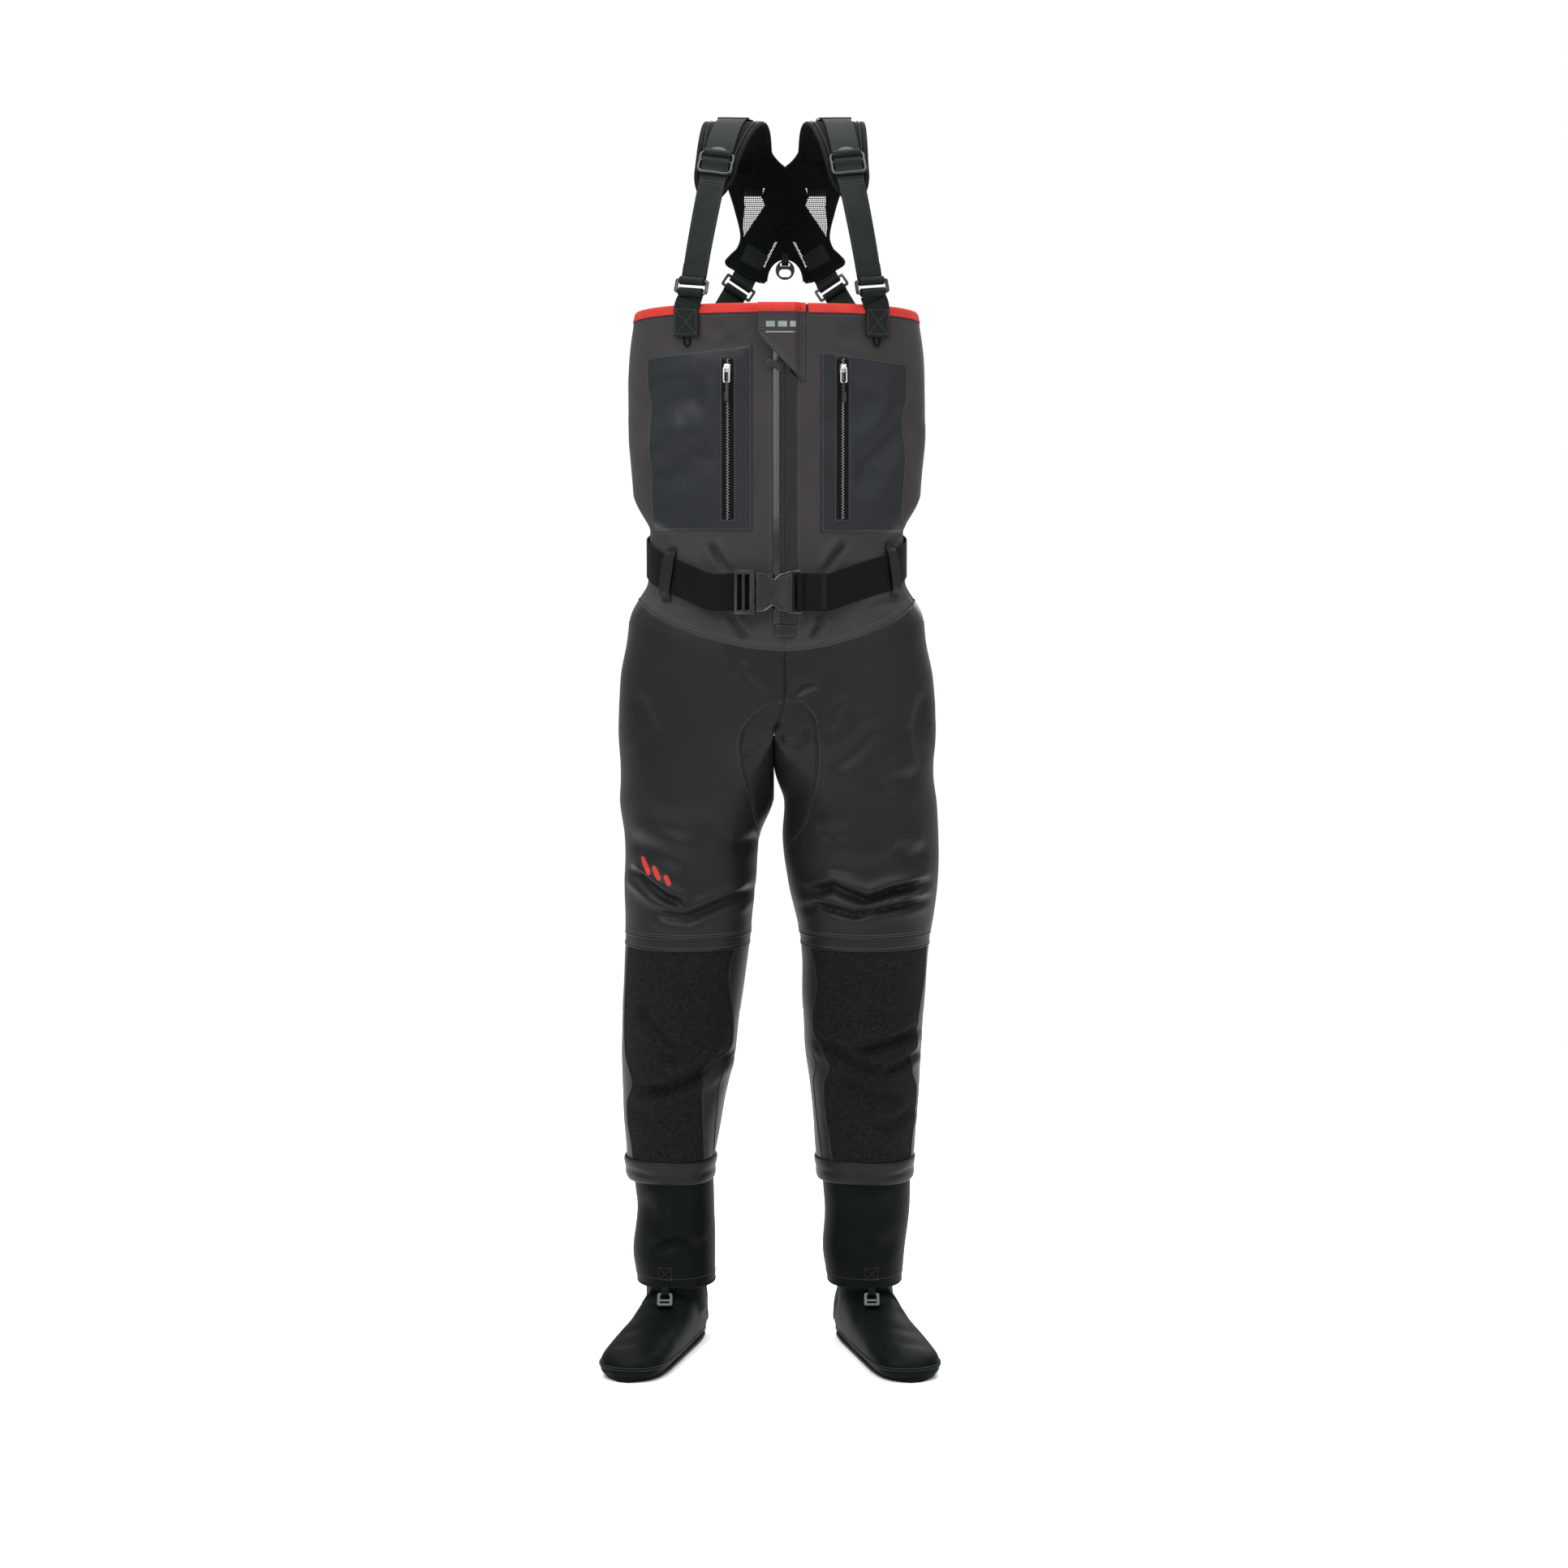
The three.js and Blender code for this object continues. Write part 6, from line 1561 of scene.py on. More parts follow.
    def cuff(self, side, leg_middle):
        """A band rolled over at both edges: its section is carried round the leg, with creases along it."""
        offsets = smooth_path([(-3, 260, 0), (-0.4, 266, 0), (1.6, 268, 0), (3.2, 265, 0), (3.4, 259, 0),
                               (2.6, 252, 0), (3.6, 244, 0),
                               (3.0, 238, 0), (0.8, 235.5, 0), (-2.5, 238, 0)], 44)
        theta = np.linspace(0, 2 * math.pi, 190, endpoint=False)
        z = np.broadcast_to(offsets[:, 1:2], (44, 190))
        angle = np.broadcast_to(theta, z.shape)
        share = np.clip((z - CUFF_HIGH) / (INSEAM - CUFF_HIGH), -0.06, 0.03)
        base = tube_at(LEGS[side], angle, share)
        fold = creases(base[..., 0], z, CUFF_FOLDS) + 0.9 * ripple(base[..., 0], z * 2, 17, 15, 8)
        lift = offsets[:, :1] + fold * ease(offsets[:, :1] / 4)
        point = base + np.stack([np.cos(angle), np.sin(angle), 0 * angle], -1) * lift[..., None]
        point[..., 2] = z + 1.6 * np.sin(angle * 3 + 1) * 0.6
        build(f"{side}_cuff_cloth", [grid(point, True)], MATERIALS["leg_laminate"],
              stands_for=[f"{side}_cuff_band"], middle=leg_middle, wall=1.2)


class WADERS_OT_binding(bpy.types.Operator):
    """Folds the red tape over the top edge of the chest"""

    bl_idname = "waders.binding"
    bl_label = "Top binding"

    def execute(self, context):
        deep = context.scene.waders_sizes.binding
        start, end = torso_angle(np.array([35.2, -9.0]), np.full(2, 1445.0))
        angle = np.linspace(start, end + 2 * math.pi, 520)
        top = edge_height(angle)
        section = [(0.5, -deep), (1.6, -deep + 0.3), (1.9, -deep * 0.5), (1.8, -0.6), (0.9, 1.5), (-1.2, 1.7),
                   (-3.0, 0.9),
                   (-3.6, -1.6), (-3.5, -deep + 1), (-2.7, -deep + 0.7), (-2.6, -2), (0.4, -1.2)]
        rows = []
        for h, dz in section:
            wave = 0.35 * np.sin(angle * 31) * (dz < -3)
            rows.append(torso_at(angle, top + dz, h + wave))
        points = np.stack(rows, 1)
        part = grid(points, True, closed=True)
        count = len(section)
        for ring in (np.arange(count)[::-1], (len(angle) - 1) * count + np.arange(count)):
            part["faces"].append((ring[None], None))
        build("top_binding", [part], MATERIALS["red_tape"], stands_for=["chest_binding"],
              sharp=70)
        path, out = laid(torso_at, angle, top - deep + 2.2, 1.95)
        build("top_binding_stitching", [stitched(path, out, 3.2, 2.2, 0.7, 0.4)],
              thread_material("Polyester thread, red", "#c22a22"))
        return {"FINISHED"}


def thread_material(name, code):
    if name not in MATERIALS:
        MATERIALS[name] = thread(name, linear(code))
    return MATERIALS[name]


POCKETS = {
    "right": {"inner": -38, "outer": -182, "low": CHEST_EDGE - 294, "high": CHEST_EDGE - 44},
    "left": {"inner": 51, "outer": 170, "low": CHEST_EDGE - 296, "high": CHEST_EDGE - 52},
}
POCKET_ZIP_X = {"right": -72, "left": 81}
POCKET_ZIP_HIGH = CHEST_EDGE - 64
POCKET_ZIP_LOW = CHEST_EDGE - 276
POCKET_LIFT = 2.1
FALL = 14


class WADERS_OT_pockets(bpy.types.Operator):
    """Makes the chest pockets: panels, their stitching, the metal zips, sliders and pulls"""

    bl_idname = "waders.pockets"
    bl_label = "Chest pockets"

    def execute(self, context):
        pitch = context.scene.waders_sizes.stitch
        stitches = []
        for side, s in SIDES.items():
            size = POCKETS[side]
            v = np.linspace(0, 1, 80)[:, None]
            u = np.linspace(0, 1, 60)[None, :]
            bulge = np.stack(rows_at([(0, 0.05), (0.3, 0.03), (0.6, 0.02), (1, 0.0)], v[:, 0]), 0)[0][:, None]
            x = mix(size["inner"], mix(size["outer"], size["inner"], bulge), u)
            z = mix(size["low"], size["high"] - FALL * u, v)
            edge = np.minimum(np.minimum(u, 1 - u) * 130, np.minimum(v, 1 - v) * 240)
            rise = POCKET_LIFT * ease(edge / 2.4) + 1.5 * ease(edge / 60) - 0.5 + 0 * x
            near_zip = np.exp(-(((x - POCKET_ZIP_X[side]) / 14) ** 2))
            rise = mix(rise, np.minimum(rise, POCKET_LIFT), near_zip)
            points = front_at(x, z, rise)
            part = grid(points)
            panel = build(f"{side}_pocket_cloth", [part], MATERIALS["pocket_laminate"],
                          stands_for=[f"{side}_pocket_panel"])

            border = []
            inset = 4.0
            t = np.linspace(0, 1, 60)
            x0, x1 = size["inner"] + inset * s, size["outer"] - inset * s
            z0, z1 = size["low"] + inset, size["high"] - inset
            for a, b in (((x0, z0), (x0, z1)), ((x0, z1), (x1, z1 - FALL)), ((x1 - s * 6, z0), (x0, z0))):
                line_x, line_z = mix(a[0], b[0], t), mix(a[1], b[1], t)
                path, out = laid(front_at, line_x, line_z, POCKET_LIFT + 0.2)
                border.append(stitched(path, out, pitch))
            side_x = x1 - s * 6 * (1 - t) ** 2
            path, out = laid(front_at, side_x, mix(z0, z1 - FALL, t), POCKET_LIFT + 0.2)
            border.append(stitched(path, out, pitch))
            stitches += border
            self.zip(context, side, stitches)
        build("pocket_stitching", stitches, MATERIALS["grey_thread"])
        return {"FINISHED"}

    def zip(self, context, side, stitches):
        """A metal zip let into the panel: tape and two rows of teeth, with its stitching, slider and pull."""
        x = POCKET_ZIP_X[side]
        z = np.linspace(POCKET_ZIP_LOW, POCKET_ZIP_HIGH, 90)
        base = POCKET_LIFT + 0.4
        path, out = laid(lambda a, b, h: front_at(a, b, h), np.full(90, x), z, base + 0.6)
        across = unit(np.cross(directions(path), out))
        body = [sweep(path, across, out, strap_section(15, 1.2))]
        body += [sweep(path + across * k, across, out, circle(1, 8) * [1.1, 1.0]) for k in (-5.2, 5.2)]
        build(f"{side}_pocket_tape", body, MATERIALS["belt_webbing"],
              stands_for=[f"{side}_pocket_zip"])
        dense = evenly(path, 1.9)
        normal = np.stack([np.interp(dense[:, 2], path[:, 2], out[:, k]) for k in range(3)], -1)
        sideways = unit(np.cross(directions(dense), normal))
        flip = np.where(np.arange(len(dense)) % 2, 1.0, -1.0)[:, None]
        teeth = spindles(dense + sideways * flip * 0.75 + normal * 1.2, sideways, normal, 3.1, 1.0, 0.8)
        build(f"{side}_pocket_teeth", [teeth], MATERIALS["zip_metal"])
        for offset in (-9.4, 9.4):
            line, normal = laid(front_at, np.full(60, x + offset),
                                np.linspace(POCKET_ZIP_LOW - 3, POCKET_ZIP_HIGH + 4, 60), POCKET_LIFT + 0.9)
            stitches.append(stitched(line, normal, context.scene.waders_sizes.stitch))
        for height in (POCKET_ZIP_LOW - 3, POCKET_ZIP_HIGH + 4):
            line, normal = laid(front_at, np.linspace(x - 9, x + 9, 20), np.full(20, height),
                                POCKET_LIFT + 0.9)
            stitches.append(stitched(line, normal, context.scene.waders_sizes.stitch))
        softened(f"{side}_pocket_slider", MATERIALS["zip_metal"], f"{side}_pocket_slider", 0.3)
        softened(f"{side}_pocket_pull", MATERIALS["zip_teeth"], f"{side}_pocket_pull", 0.35,
                 upper=(MATERIALS["zip_metal"], 20))


class WADERS_OT_main_zip(bpy.types.Operator):
    """Makes the waterproof front zip with its teeth, dock, slider and toggle"""

    bl_idname = "waders.main_zip"
    bl_label = "Front zip"

    def execute(self, context):
        pitch = context.scene.waders_sizes.tooth
        z = np.linspace(1020, 1417, 160)

        def flat_front(x, height, h=0.0):
            return front_at(x, height, h, False)

        path, out = laid(flat_front, np.full(160, ZIP_X), z, 1.35)
        across = unit(np.cross(directions(path), out))
        rubber = MATERIALS["zip_rubber"]
        run = np.linspace(-1, 1, 25)
        crown = np.stack([run * 15.5, 0.75 - 0.9 * run**4
                          + 0.25 * np.exp(-(((np.abs(run) - 0.45) / 0.12) ** 2))], -1)
        tape = [sweep(path, across, out, np.concatenate([crown, [[15.5, -0.65], [-15.5, -0.65]]]))]
        build("main_zip_tape", tape, rubber, stands_for=["main_zip"])
        steps = np.arange(1020 + pitch, 1417 - 2, pitch)
        teeth = []
        for row, shift in ((-1, 0.0), (1, pitch / 2)):
            centres, normal = laid(flat_front, np.full(len(steps), ZIP_X), steps + shift, 1.9)
            sideways = unit(np.cross(directions(centres), normal))
            teeth.append(self.teeth(centres + sideways * row * 2.6, sideways * row, normal, pitch))
        build("main_zip_teeth", teeth, MATERIALS["zip_teeth"], sharp=30)

        softened("main_zip_dock", rubber, ROOT, 1.1, 4)
        softened("main_slider", MATERIALS["acetal"], "main_slider", 0.6)
        softened("main_toggle", MATERIALS["zip_teeth"], "main_toggle", 0.7)
        return {"FINISHED"}

    def teeth(self, centres, across, out, pitch):
        """Blocks with a rounded head, one at each centre. Their outline is carried up in three layers."""
        up = np.cross(out, across)
        outline = np.array([(-2.8, -0.9), (0.4, -0.95), (1.9, -1.5), (2.9, -1.1), (3.2, 0), (2.9, 1.1),
                            (1.9, 1.5), (0.4, 0.95), (-2.8, 0.9)])
        outline = outline * [1, pitch * 0.26]
        layers = [(1.0, 0.0), (1.0, 2.1), (0.8, 2.9)]
        local = np.array([(a * k, b * k, h) for k, h in layers for a, b in outline])
        points = (centres[:, None] + across[:, None] * local[:, :1] + up[:, None] * local[:, 1:2]
                  + out[:, None] * local[:, 2:3])
        n = len(outline)
        k = np.arange(n)
        walls = np.concatenate([np.stack([k, (k + 1) % n, (k + 1) % n + n, k + n], 1) + layer * n
                                for layer in (0, 1)])
        shift = np.arange(len(centres))[:, None, None] * len(local)
        faces = [((walls[None] + shift).reshape(-1, 4), None),
                 ((np.stack([k[::-1], k + 2 * n])[None] + shift).reshape(-1, n), None)]
        return {"points": points.reshape(-1, 3), "faces": faces, "closed": True}


FLAP_HALF = 32.0
FLAP_SHORT = 44.0
FLAP_LONG = 100.0


class WADERS_OT_storm_flap(bpy.types.Operator):
    """Makes the flap over the zip's top, with its binding, double stitching and plain printed bars"""

    bl_idname = "waders.storm_flap"
    bl_label = "Storm flap"

    def execute(self, context):
        low, high = (np.array(corner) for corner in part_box("storm_flap"))
        x0, x1 = (low[0] - ORIGIN[0]) / MM, (high[0] - ORIGIN[0]) / MM
        top = high[2] / MM
        face, seat = (low[1] - ORIGIN[1]) / MM, (high[1] - ORIGIN[1]) / MM

        def surface(x, z, h=0.0):
            """A shallow vault over the slider: flat across the zip, rounding down to the hinged edge."""
            x, z = np.broadcast_arrays(x, z)
            down = ease((x - ZIP_X - 12) / 12)
            y = mix(face - 0.7, seat - 1.6, down) - 0.3 * (1 + np.cos((z - 1380) / 21)) * ease((26 - x) / 12)
            return np.stack([x, y - h, z], -1)

        v = np.linspace(0, 1, 60)[:, None]
        u = np.linspace(0, 1, 44)[None, :]
        x = mix(x0, x1 - 0.6, u)
        slope = np.clip((x + FLAP_HALF) / (2 * FLAP_HALF - 3), 0, 1)
        low_z = top - mix(FLAP_SHORT - 6, FLAP_LONG, slope)
        rounded = 3.5 * np.exp(-(((x - x0) / 5) ** 2)) + 0.9 * np.exp(-(((x1 - x) / 3) ** 2))
        z = mix(low_z + rounded, top, v)
        points = surface(x, z)
        cloth = MATERIALS["chest_laminate"]
        flap = build("flap_cloth", [grid(points)], cloth, "storm_flap", ["storm_flap"],
                     middle=(ZIP_X, 60), wall=1.4)

        edge_x = np.linspace(x0, x1, 60)
        section = [(0.3, -11), (1.2, -10.6), (1.4, -5), (1.2, 0.2), (0.2, 1.5), (-1.4, 1.4), (-2.4, 0.3),
                   (-2.6, -5), (-2.4, -10.8),
                   (-1.7, -10.6), (-1.6, -1), (0.0, -1)]
        rows = np.stack([surface(edge_x, np.full(60, top + dz + 3.4), h) for h, dz in section], 1)
        tape = grid(rows, True, closed=True)
        for ring in (np.arange(12)[::-1], 59 * 12 + np.arange(12)):
            tape["faces"].append((ring[None], None))
        build("flap_binding", [tape], MATERIALS["red_tape"], "storm_flap", middle=(ZIP_X, 60),
              sharp=70)

        stitches = []
        t = np.linspace(0, 1, 60)
        for inset in (3.2, 6.8):
            line_x = mix(x0 + inset, x1 - 2, t)
            line_z = top - mix(FLAP_SHORT - 6, FLAP_LONG,
                               np.clip((line_x + FLAP_HALF) / (2 * FLAP_HALF - 3), 0, 1)) + inset + 2
            path, out = laid(surface, line_x, line_z, 0.2)
            stitches.append(stitched(path, out))
            path, out = laid(surface, np.full(60, x0 + inset),
                             np.linspace(top - FLAP_SHORT + 12, top - 14, 60), 0.2)
            stitches.append(stitched(path, out))
            path, out = laid(surface, np.full(60, x1 - inset),
                             np.linspace(top - FLAP_LONG + 10, top - 14, 60), 0.2)
            stitches.append(stitched(path, out))
        build("flap_stitching", stitches, MATERIALS["grey_thread"], "storm_flap",
              middle=(ZIP_X, 60))

        bars = []
        blocks = (top - 24, 7.5, ((-21, -9), (-5, 7), (11, 19)))
        rule = (top - 34.5, 1.8, ((-21, 19),))
        for z_mid, tall, spans in (blocks, rule):
            for a, b in spans:
                bx, bz = np.meshgrid(np.linspace(a, b, 16), np.linspace(-tall / 2, tall / 2, 6) + z_mid)
                bars.append(grid(surface(bx, bz, 0.14)))
        build("flap_print", bars, MATERIALS["grey_print"], "storm_flap", middle=(ZIP_X, 60))
        return {"FINISHED"}


class WADERS_OT_belt(bpy.types.Operator):
    """Makes the belt, its loops and the two halves of its buckle"""

    bl_idname = "waders.belt"
    bl_label = "Belt and buckle"

    def execute(self, context):
        buckle_y = -133.2
        belt_y = buckle_y + 3.75
        stand = 2.2 + 0.9
        angle = np.linspace(-2.45, -2 * math.pi - 0.62, 200)
        around = torso_at(angle, belt_line(angle), stand, False)
        lead = smooth_path([(-39, belt_y, BELT_FRONT), (-68, belt_y, BELT_FRONT),
                            (-96, belt_y + 0.6, BELT_FRONT + 0.3),
                            tuple(mix(np.array([-96, belt_y, BELT_FRONT]), around[0], 0.45)),
                            tuple(around[0])], 40)
        tail = smooth_path([tuple(around[-1]), tuple(mix(around[-1], np.array([62, belt_y, BELT_FRONT]), 0.5)
                                                     + np.array([0, -1.2, 0.4])),
                            (62, belt_y, BELT_FRONT), (40, belt_y, BELT_FRONT), (25, belt_y, BELT_FRONT)], 30)
        path = np.concatenate([lead[:-1], around, tail[1:]])
        out = np.cross(directions(path), [0, 0, 1.0])
        out = unit(out)
        if out[0, 1] > 0:
            out = -out
        up = np.broadcast_to([0, 0, 1.0], path.shape)
        split = len(lead) - 1
        belt = sweep(path[split:], up[split:], out[split:], strap_section(BELT, 1.8, rows=11))
        front = sweep(path[: split + 1], up[: split + 1], out[: split + 1], strap_section(BELT, 1.8, rows=11))
        slack = build("belt_lead", [front], MATERIALS["belt_webbing"], body=None, sharp=40)
        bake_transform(slack)
        a = np.linspace(math.pi / 2, math.pi * 2.5, 22)
        bar_x = 25.0
        turn = np.stack([bar_x + 3.75 * np.cos(a), buckle_y + 3.75 * np.sin(a), np.full(22, BELT_FRONT)], 1)
        radial = unit(turn - np.array([bar_x, buckle_y, BELT_FRONT]))
        eye = sweep(turn, np.broadcast_to([0, 0, 1.0], turn.shape), radial, strap_section(BELT, 1.8, rows=11))
        under = np.stack([np.linspace(26, 62, 20), np.full(20, belt_y - 1.9), np.full(20, BELT_FRONT)], 1)
        fold = sweep(under, np.broadcast_to([0, 0, 1.0], under.shape),
                     np.broadcast_to([0, -1.0, 0], under.shape), strap_section(BELT - 0.6, 1.6, rows=11))
        build("belt_webbing", [belt, eye, fold], MATERIALS["belt_webbing"],
              stands_for=["waist_belt"], sharp=40)
        seam_z = np.linspace(BELT_FRONT - 23, BELT_FRONT + 23, 40)
        seam = np.stack([np.full(40, 55.0), np.full(40, belt_y - 2.9), seam_z], 1)
        rows = [stitched(seam + [k, 0, 0], np.broadcast_to([0, -1.0, 0], seam.shape), 2.6, 1.9, 0.8, 0.4)
                for k in (0, 3)]
        build("belt_stitching", rows, MATERIALS["dark_thread"])
        for side in SIDES:
            self.loop(side)
        self.buckle(buckle_y)
        return {"FINISHED"}

    def loop(self, side):
        """A keeper sewn above and below the belt, bowed out over it and leaning like an S."""
        angle = {"right": -2.48, "left": -0.53}[side]
        s = SIDES[side]
        middle = belt_line(np.array([angle]))[0]
        rise = np.array([-36, -31, -26, -20, -6, 8, 20, 26, 31, 36])
        over = np.array([1.4, 1.8, 5.2, 6.6, 7.6, 7.2, 6.4, 5.0, 1.8, 1.4])
        sway = np.array([0.03, 0.035, 0.04, 0.03, 0.01, -0.01, -0.02, -0.03, -0.03, -0.025]) * s
        path = torso_at(angle + sway, middle + rise, over, False)
        path = smooth_path(path, 46)
        radial = unit(torso_at(np.full(46, angle), path[:, 2], 1.0, False)
                      - torso_at(np.full(46, angle), path[:, 2], 0.0, False))
        across = unit(np.cross(directions(path), radial))
        out = np.cross(across, directions(path))
        out = out * np.sign(np.sum(out * radial, 1, keepdims=True))
        leaf = 15 + 6 * np.sin(np.linspace(0, math.pi, 46)) ** 1.5
        shape = sweep(path, across, out, np.stack([strap_section(w, 1.5) for w in leaf]))
        build(f"{side}_belt_keeper", [shape], MATERIALS["leg_laminate"],
              stands_for=[f"{side}_belt_loop"], sharp=40)

    def buckle(self, y):
        """The socket is lofted along x: rounded sections whose height dips where the prongs are squeezed."""
        plastic = MATERIALS["acetal"]
        x = np.linspace(-36, 15.5, 70)
        dip = np.exp(-(((x + 11.5) / 8.5) ** 2))
        flare = ease((x - 4) / 9)
        half = 26.2 - 8.2 * dip + 2.4 * flare
        closing = np.sqrt(np.clip(1 - ((x + 36) / 51.5 * 2 - 1) ** 22, 0.001, 1))
        deep = 5.4 * closing
        a = np.linspace(0, 2 * math.pi, 56, endpoint=False)
        crown = 0.5 + 0 * a
        wide = signed_power(np.cos(a), 0.35)
        thick = signed_power(np.sin(a), 0.45)
        scoop = 1.6 * np.exp(-(((x + 10) / 16) ** 2))[:, None] * np.exp(-((wide / 0.8) ** 4))[None,
                :] * (thick > 0)
        points = np.stack([np.broadcast_to(x[:, None], (70, 56)), y - deep[:, None] * thick + crown + scoop,
                           BELT_FRONT + half[:, None] * wide], -1)
        body = grid(points, True, closed=True)
        for ring in (np.arange(56)[::-1], 69 * 56 + np.arange(56)):
            body["faces"].append((ring[None], None))
        frame_path = smooth_path([(12, y, BELT_FRONT + 27), (22, y, BELT_FRONT + 28.2),
                                  (25.4, y, BELT_FRONT + 26.5), (26.2, y, BELT_FRONT + 20),
                                  (26.2, y, BELT_FRONT), (26.2, y, BELT_FRONT - 20),
                                  (25.4, y, BELT_FRONT - 26.5),
                                  (22, y, BELT_FRONT - 28.2), (12, y, BELT_FRONT - 27)], 70)
        rail = tube(frame_path, 2.0, 10, up=(0, 1, 0))
        lines = []
        for s in (-1, 1):
            lip_x = np.linspace(-34, 24, 60)
            lip_half = 26.2 - 8.2 * np.exp(-(((lip_x + 11.5) / 8.5) ** 2)) + 2.4 * ease((lip_x - 4) / 9)
            lip = np.stack([lip_x, np.full(60, y - 4.6), BELT_FRONT + s * (lip_half - 0.9)], 1)
            lines.append(tube(lip, 1.15, 8, up=(0, 1, 0)))
        made = build("buckle_socket_body", [body, rail, *lines], plastic,
                     stands_for=["buckle_socket"], sharp=40)
        softened("buckle_latch", plastic, "buckle_latch", 0.8)
        for name in ("buckle_upper_prong", "buckle_lower_prong"):
            softened(name, plastic, name, 0.5)
        return made


# ---------------------------------------------------------------- shoulder harness
# Middle line of each strap from the front buckle over the shoulder to the back yoke.
STRAP = {
    "right": [
        [-119, -108, -238],
        [-111, -101, -188],
        [-100, -87, -128],
        [-90, -66, -78],
        [-80, -36, -34],
        [-70, 2, -6],
        [-62, 42, 0],
        [-55, 82, -11],
        [-50, 117, -32],
        [-47, 134, -56],
        [-46, 143, -84],
        [-46, 145.5, -108],
    ],
    "left": [
        [119, -108, -238],
        [111, -101, -188],
        [100, -87, -128],
        [90, -66, -78],
        [83, -36, -34],
        [76, 2, -6],
        [70, 42, 0],
        [64, 82, -11],
        [59, 117, -32],
        [56, 134, -56],
        [55, 143, -84],
        [55, 145.5, -108],
    ],
}
WEBBING = 38.0
EYE_STAND = 3.75
TAB_STAND = 0.4 + 1.9 + 0.9  # middle of a tab over the cloth, clear of the binding
LOCK_T = 0.285


def strap_curve(side, t):
    """A centripetal Catmull-Rom curve through the strap's points."""
    points = np.array(STRAP[side], float) + [0, 0, HARNESS_TOP]
    points = np.concatenate([[2 * points[0] - points[1]], points, [2 * points[-1] - points[-2]]])
    place = np.clip(np.asarray(t, float), 0, 1) * (len(points) - 3)
    i = np.minimum(place.astype(int), len(points) - 4)
    w = (place - i)[:, None]
    p0, p1, p2, p3 = (points[i + k] for k in range(4))
    d0, d1, d2 = (np.linalg.norm(b - a, axis=1, keepdims=True) ** 0.5 for a,
                  b in ((p0, p1), (p1, p2), (p2, p3)))
    m1 = ((p1 - p0) / d0 - (p2 - p0) / (d0 + d1) + (p2 - p1) / d1) * d1
    m2 = ((p2 - p1) / d1 - (p3 - p1) / (d1 + d2) + (p3 - p2) / d2) * d1
    return p1 + m1 * w + (-3 * p1 + 3 * p2 - 2 * m1 - m2) * w**2 + (2 * p1 - 2 * p2 + m1 + m2) * w**3


def strap_at(side, t):
    """Places on a strap with its directions along, across and outwards. It is twisted at the front."""
    t = np.atleast_1d(np.asarray(t, float))
    point = strap_curve(side, t)
    along = unit(strap_curve(side, t + 1e-3) - strap_curve(side, t - 1e-3))
    lean = SIDES[side] * mix(0.42, 0, ease(t / 0.36))
    across = np.stack([np.ones_like(t), lean, np.zeros_like(t)], -1)
    across = unit(across - along * np.sum(across * along, 1, keepdims=True))
    return point, along, across, unit(np.cross(across, along))


def band_on_strap(side, t, h, width, thick, rows=9):
    """A flat band laid along the strap, h outside its middle line."""
    point, _, across, out = strap_at(side, t)
    width = np.broadcast_to(width, t.shape)
    section = np.stack([strap_section(w, thick, rows=rows) for w in width])
    return sweep(point + out * np.asarray(h).reshape(-1, 1), across, out, section)


def eye(centre, axis, width, thick=2.2, radius=4.7):
    """Webbing turned once round a bar."""
    axis = unit(np.asarray(axis, float))
    first = unit(np.cross(axis, [0.1, 1, 0.2]))
    second = np.cross(axis, first)
    a = np.linspace(0, 2 * math.pi, 24, endpoint=False)[:, None]
    radial = first * np.cos(a) + second * np.sin(a)
    return sweep(centre + radial * radius, np.broadcast_to(axis, radial.shape), radial,
                 strap_section(width, thick), loop=True)


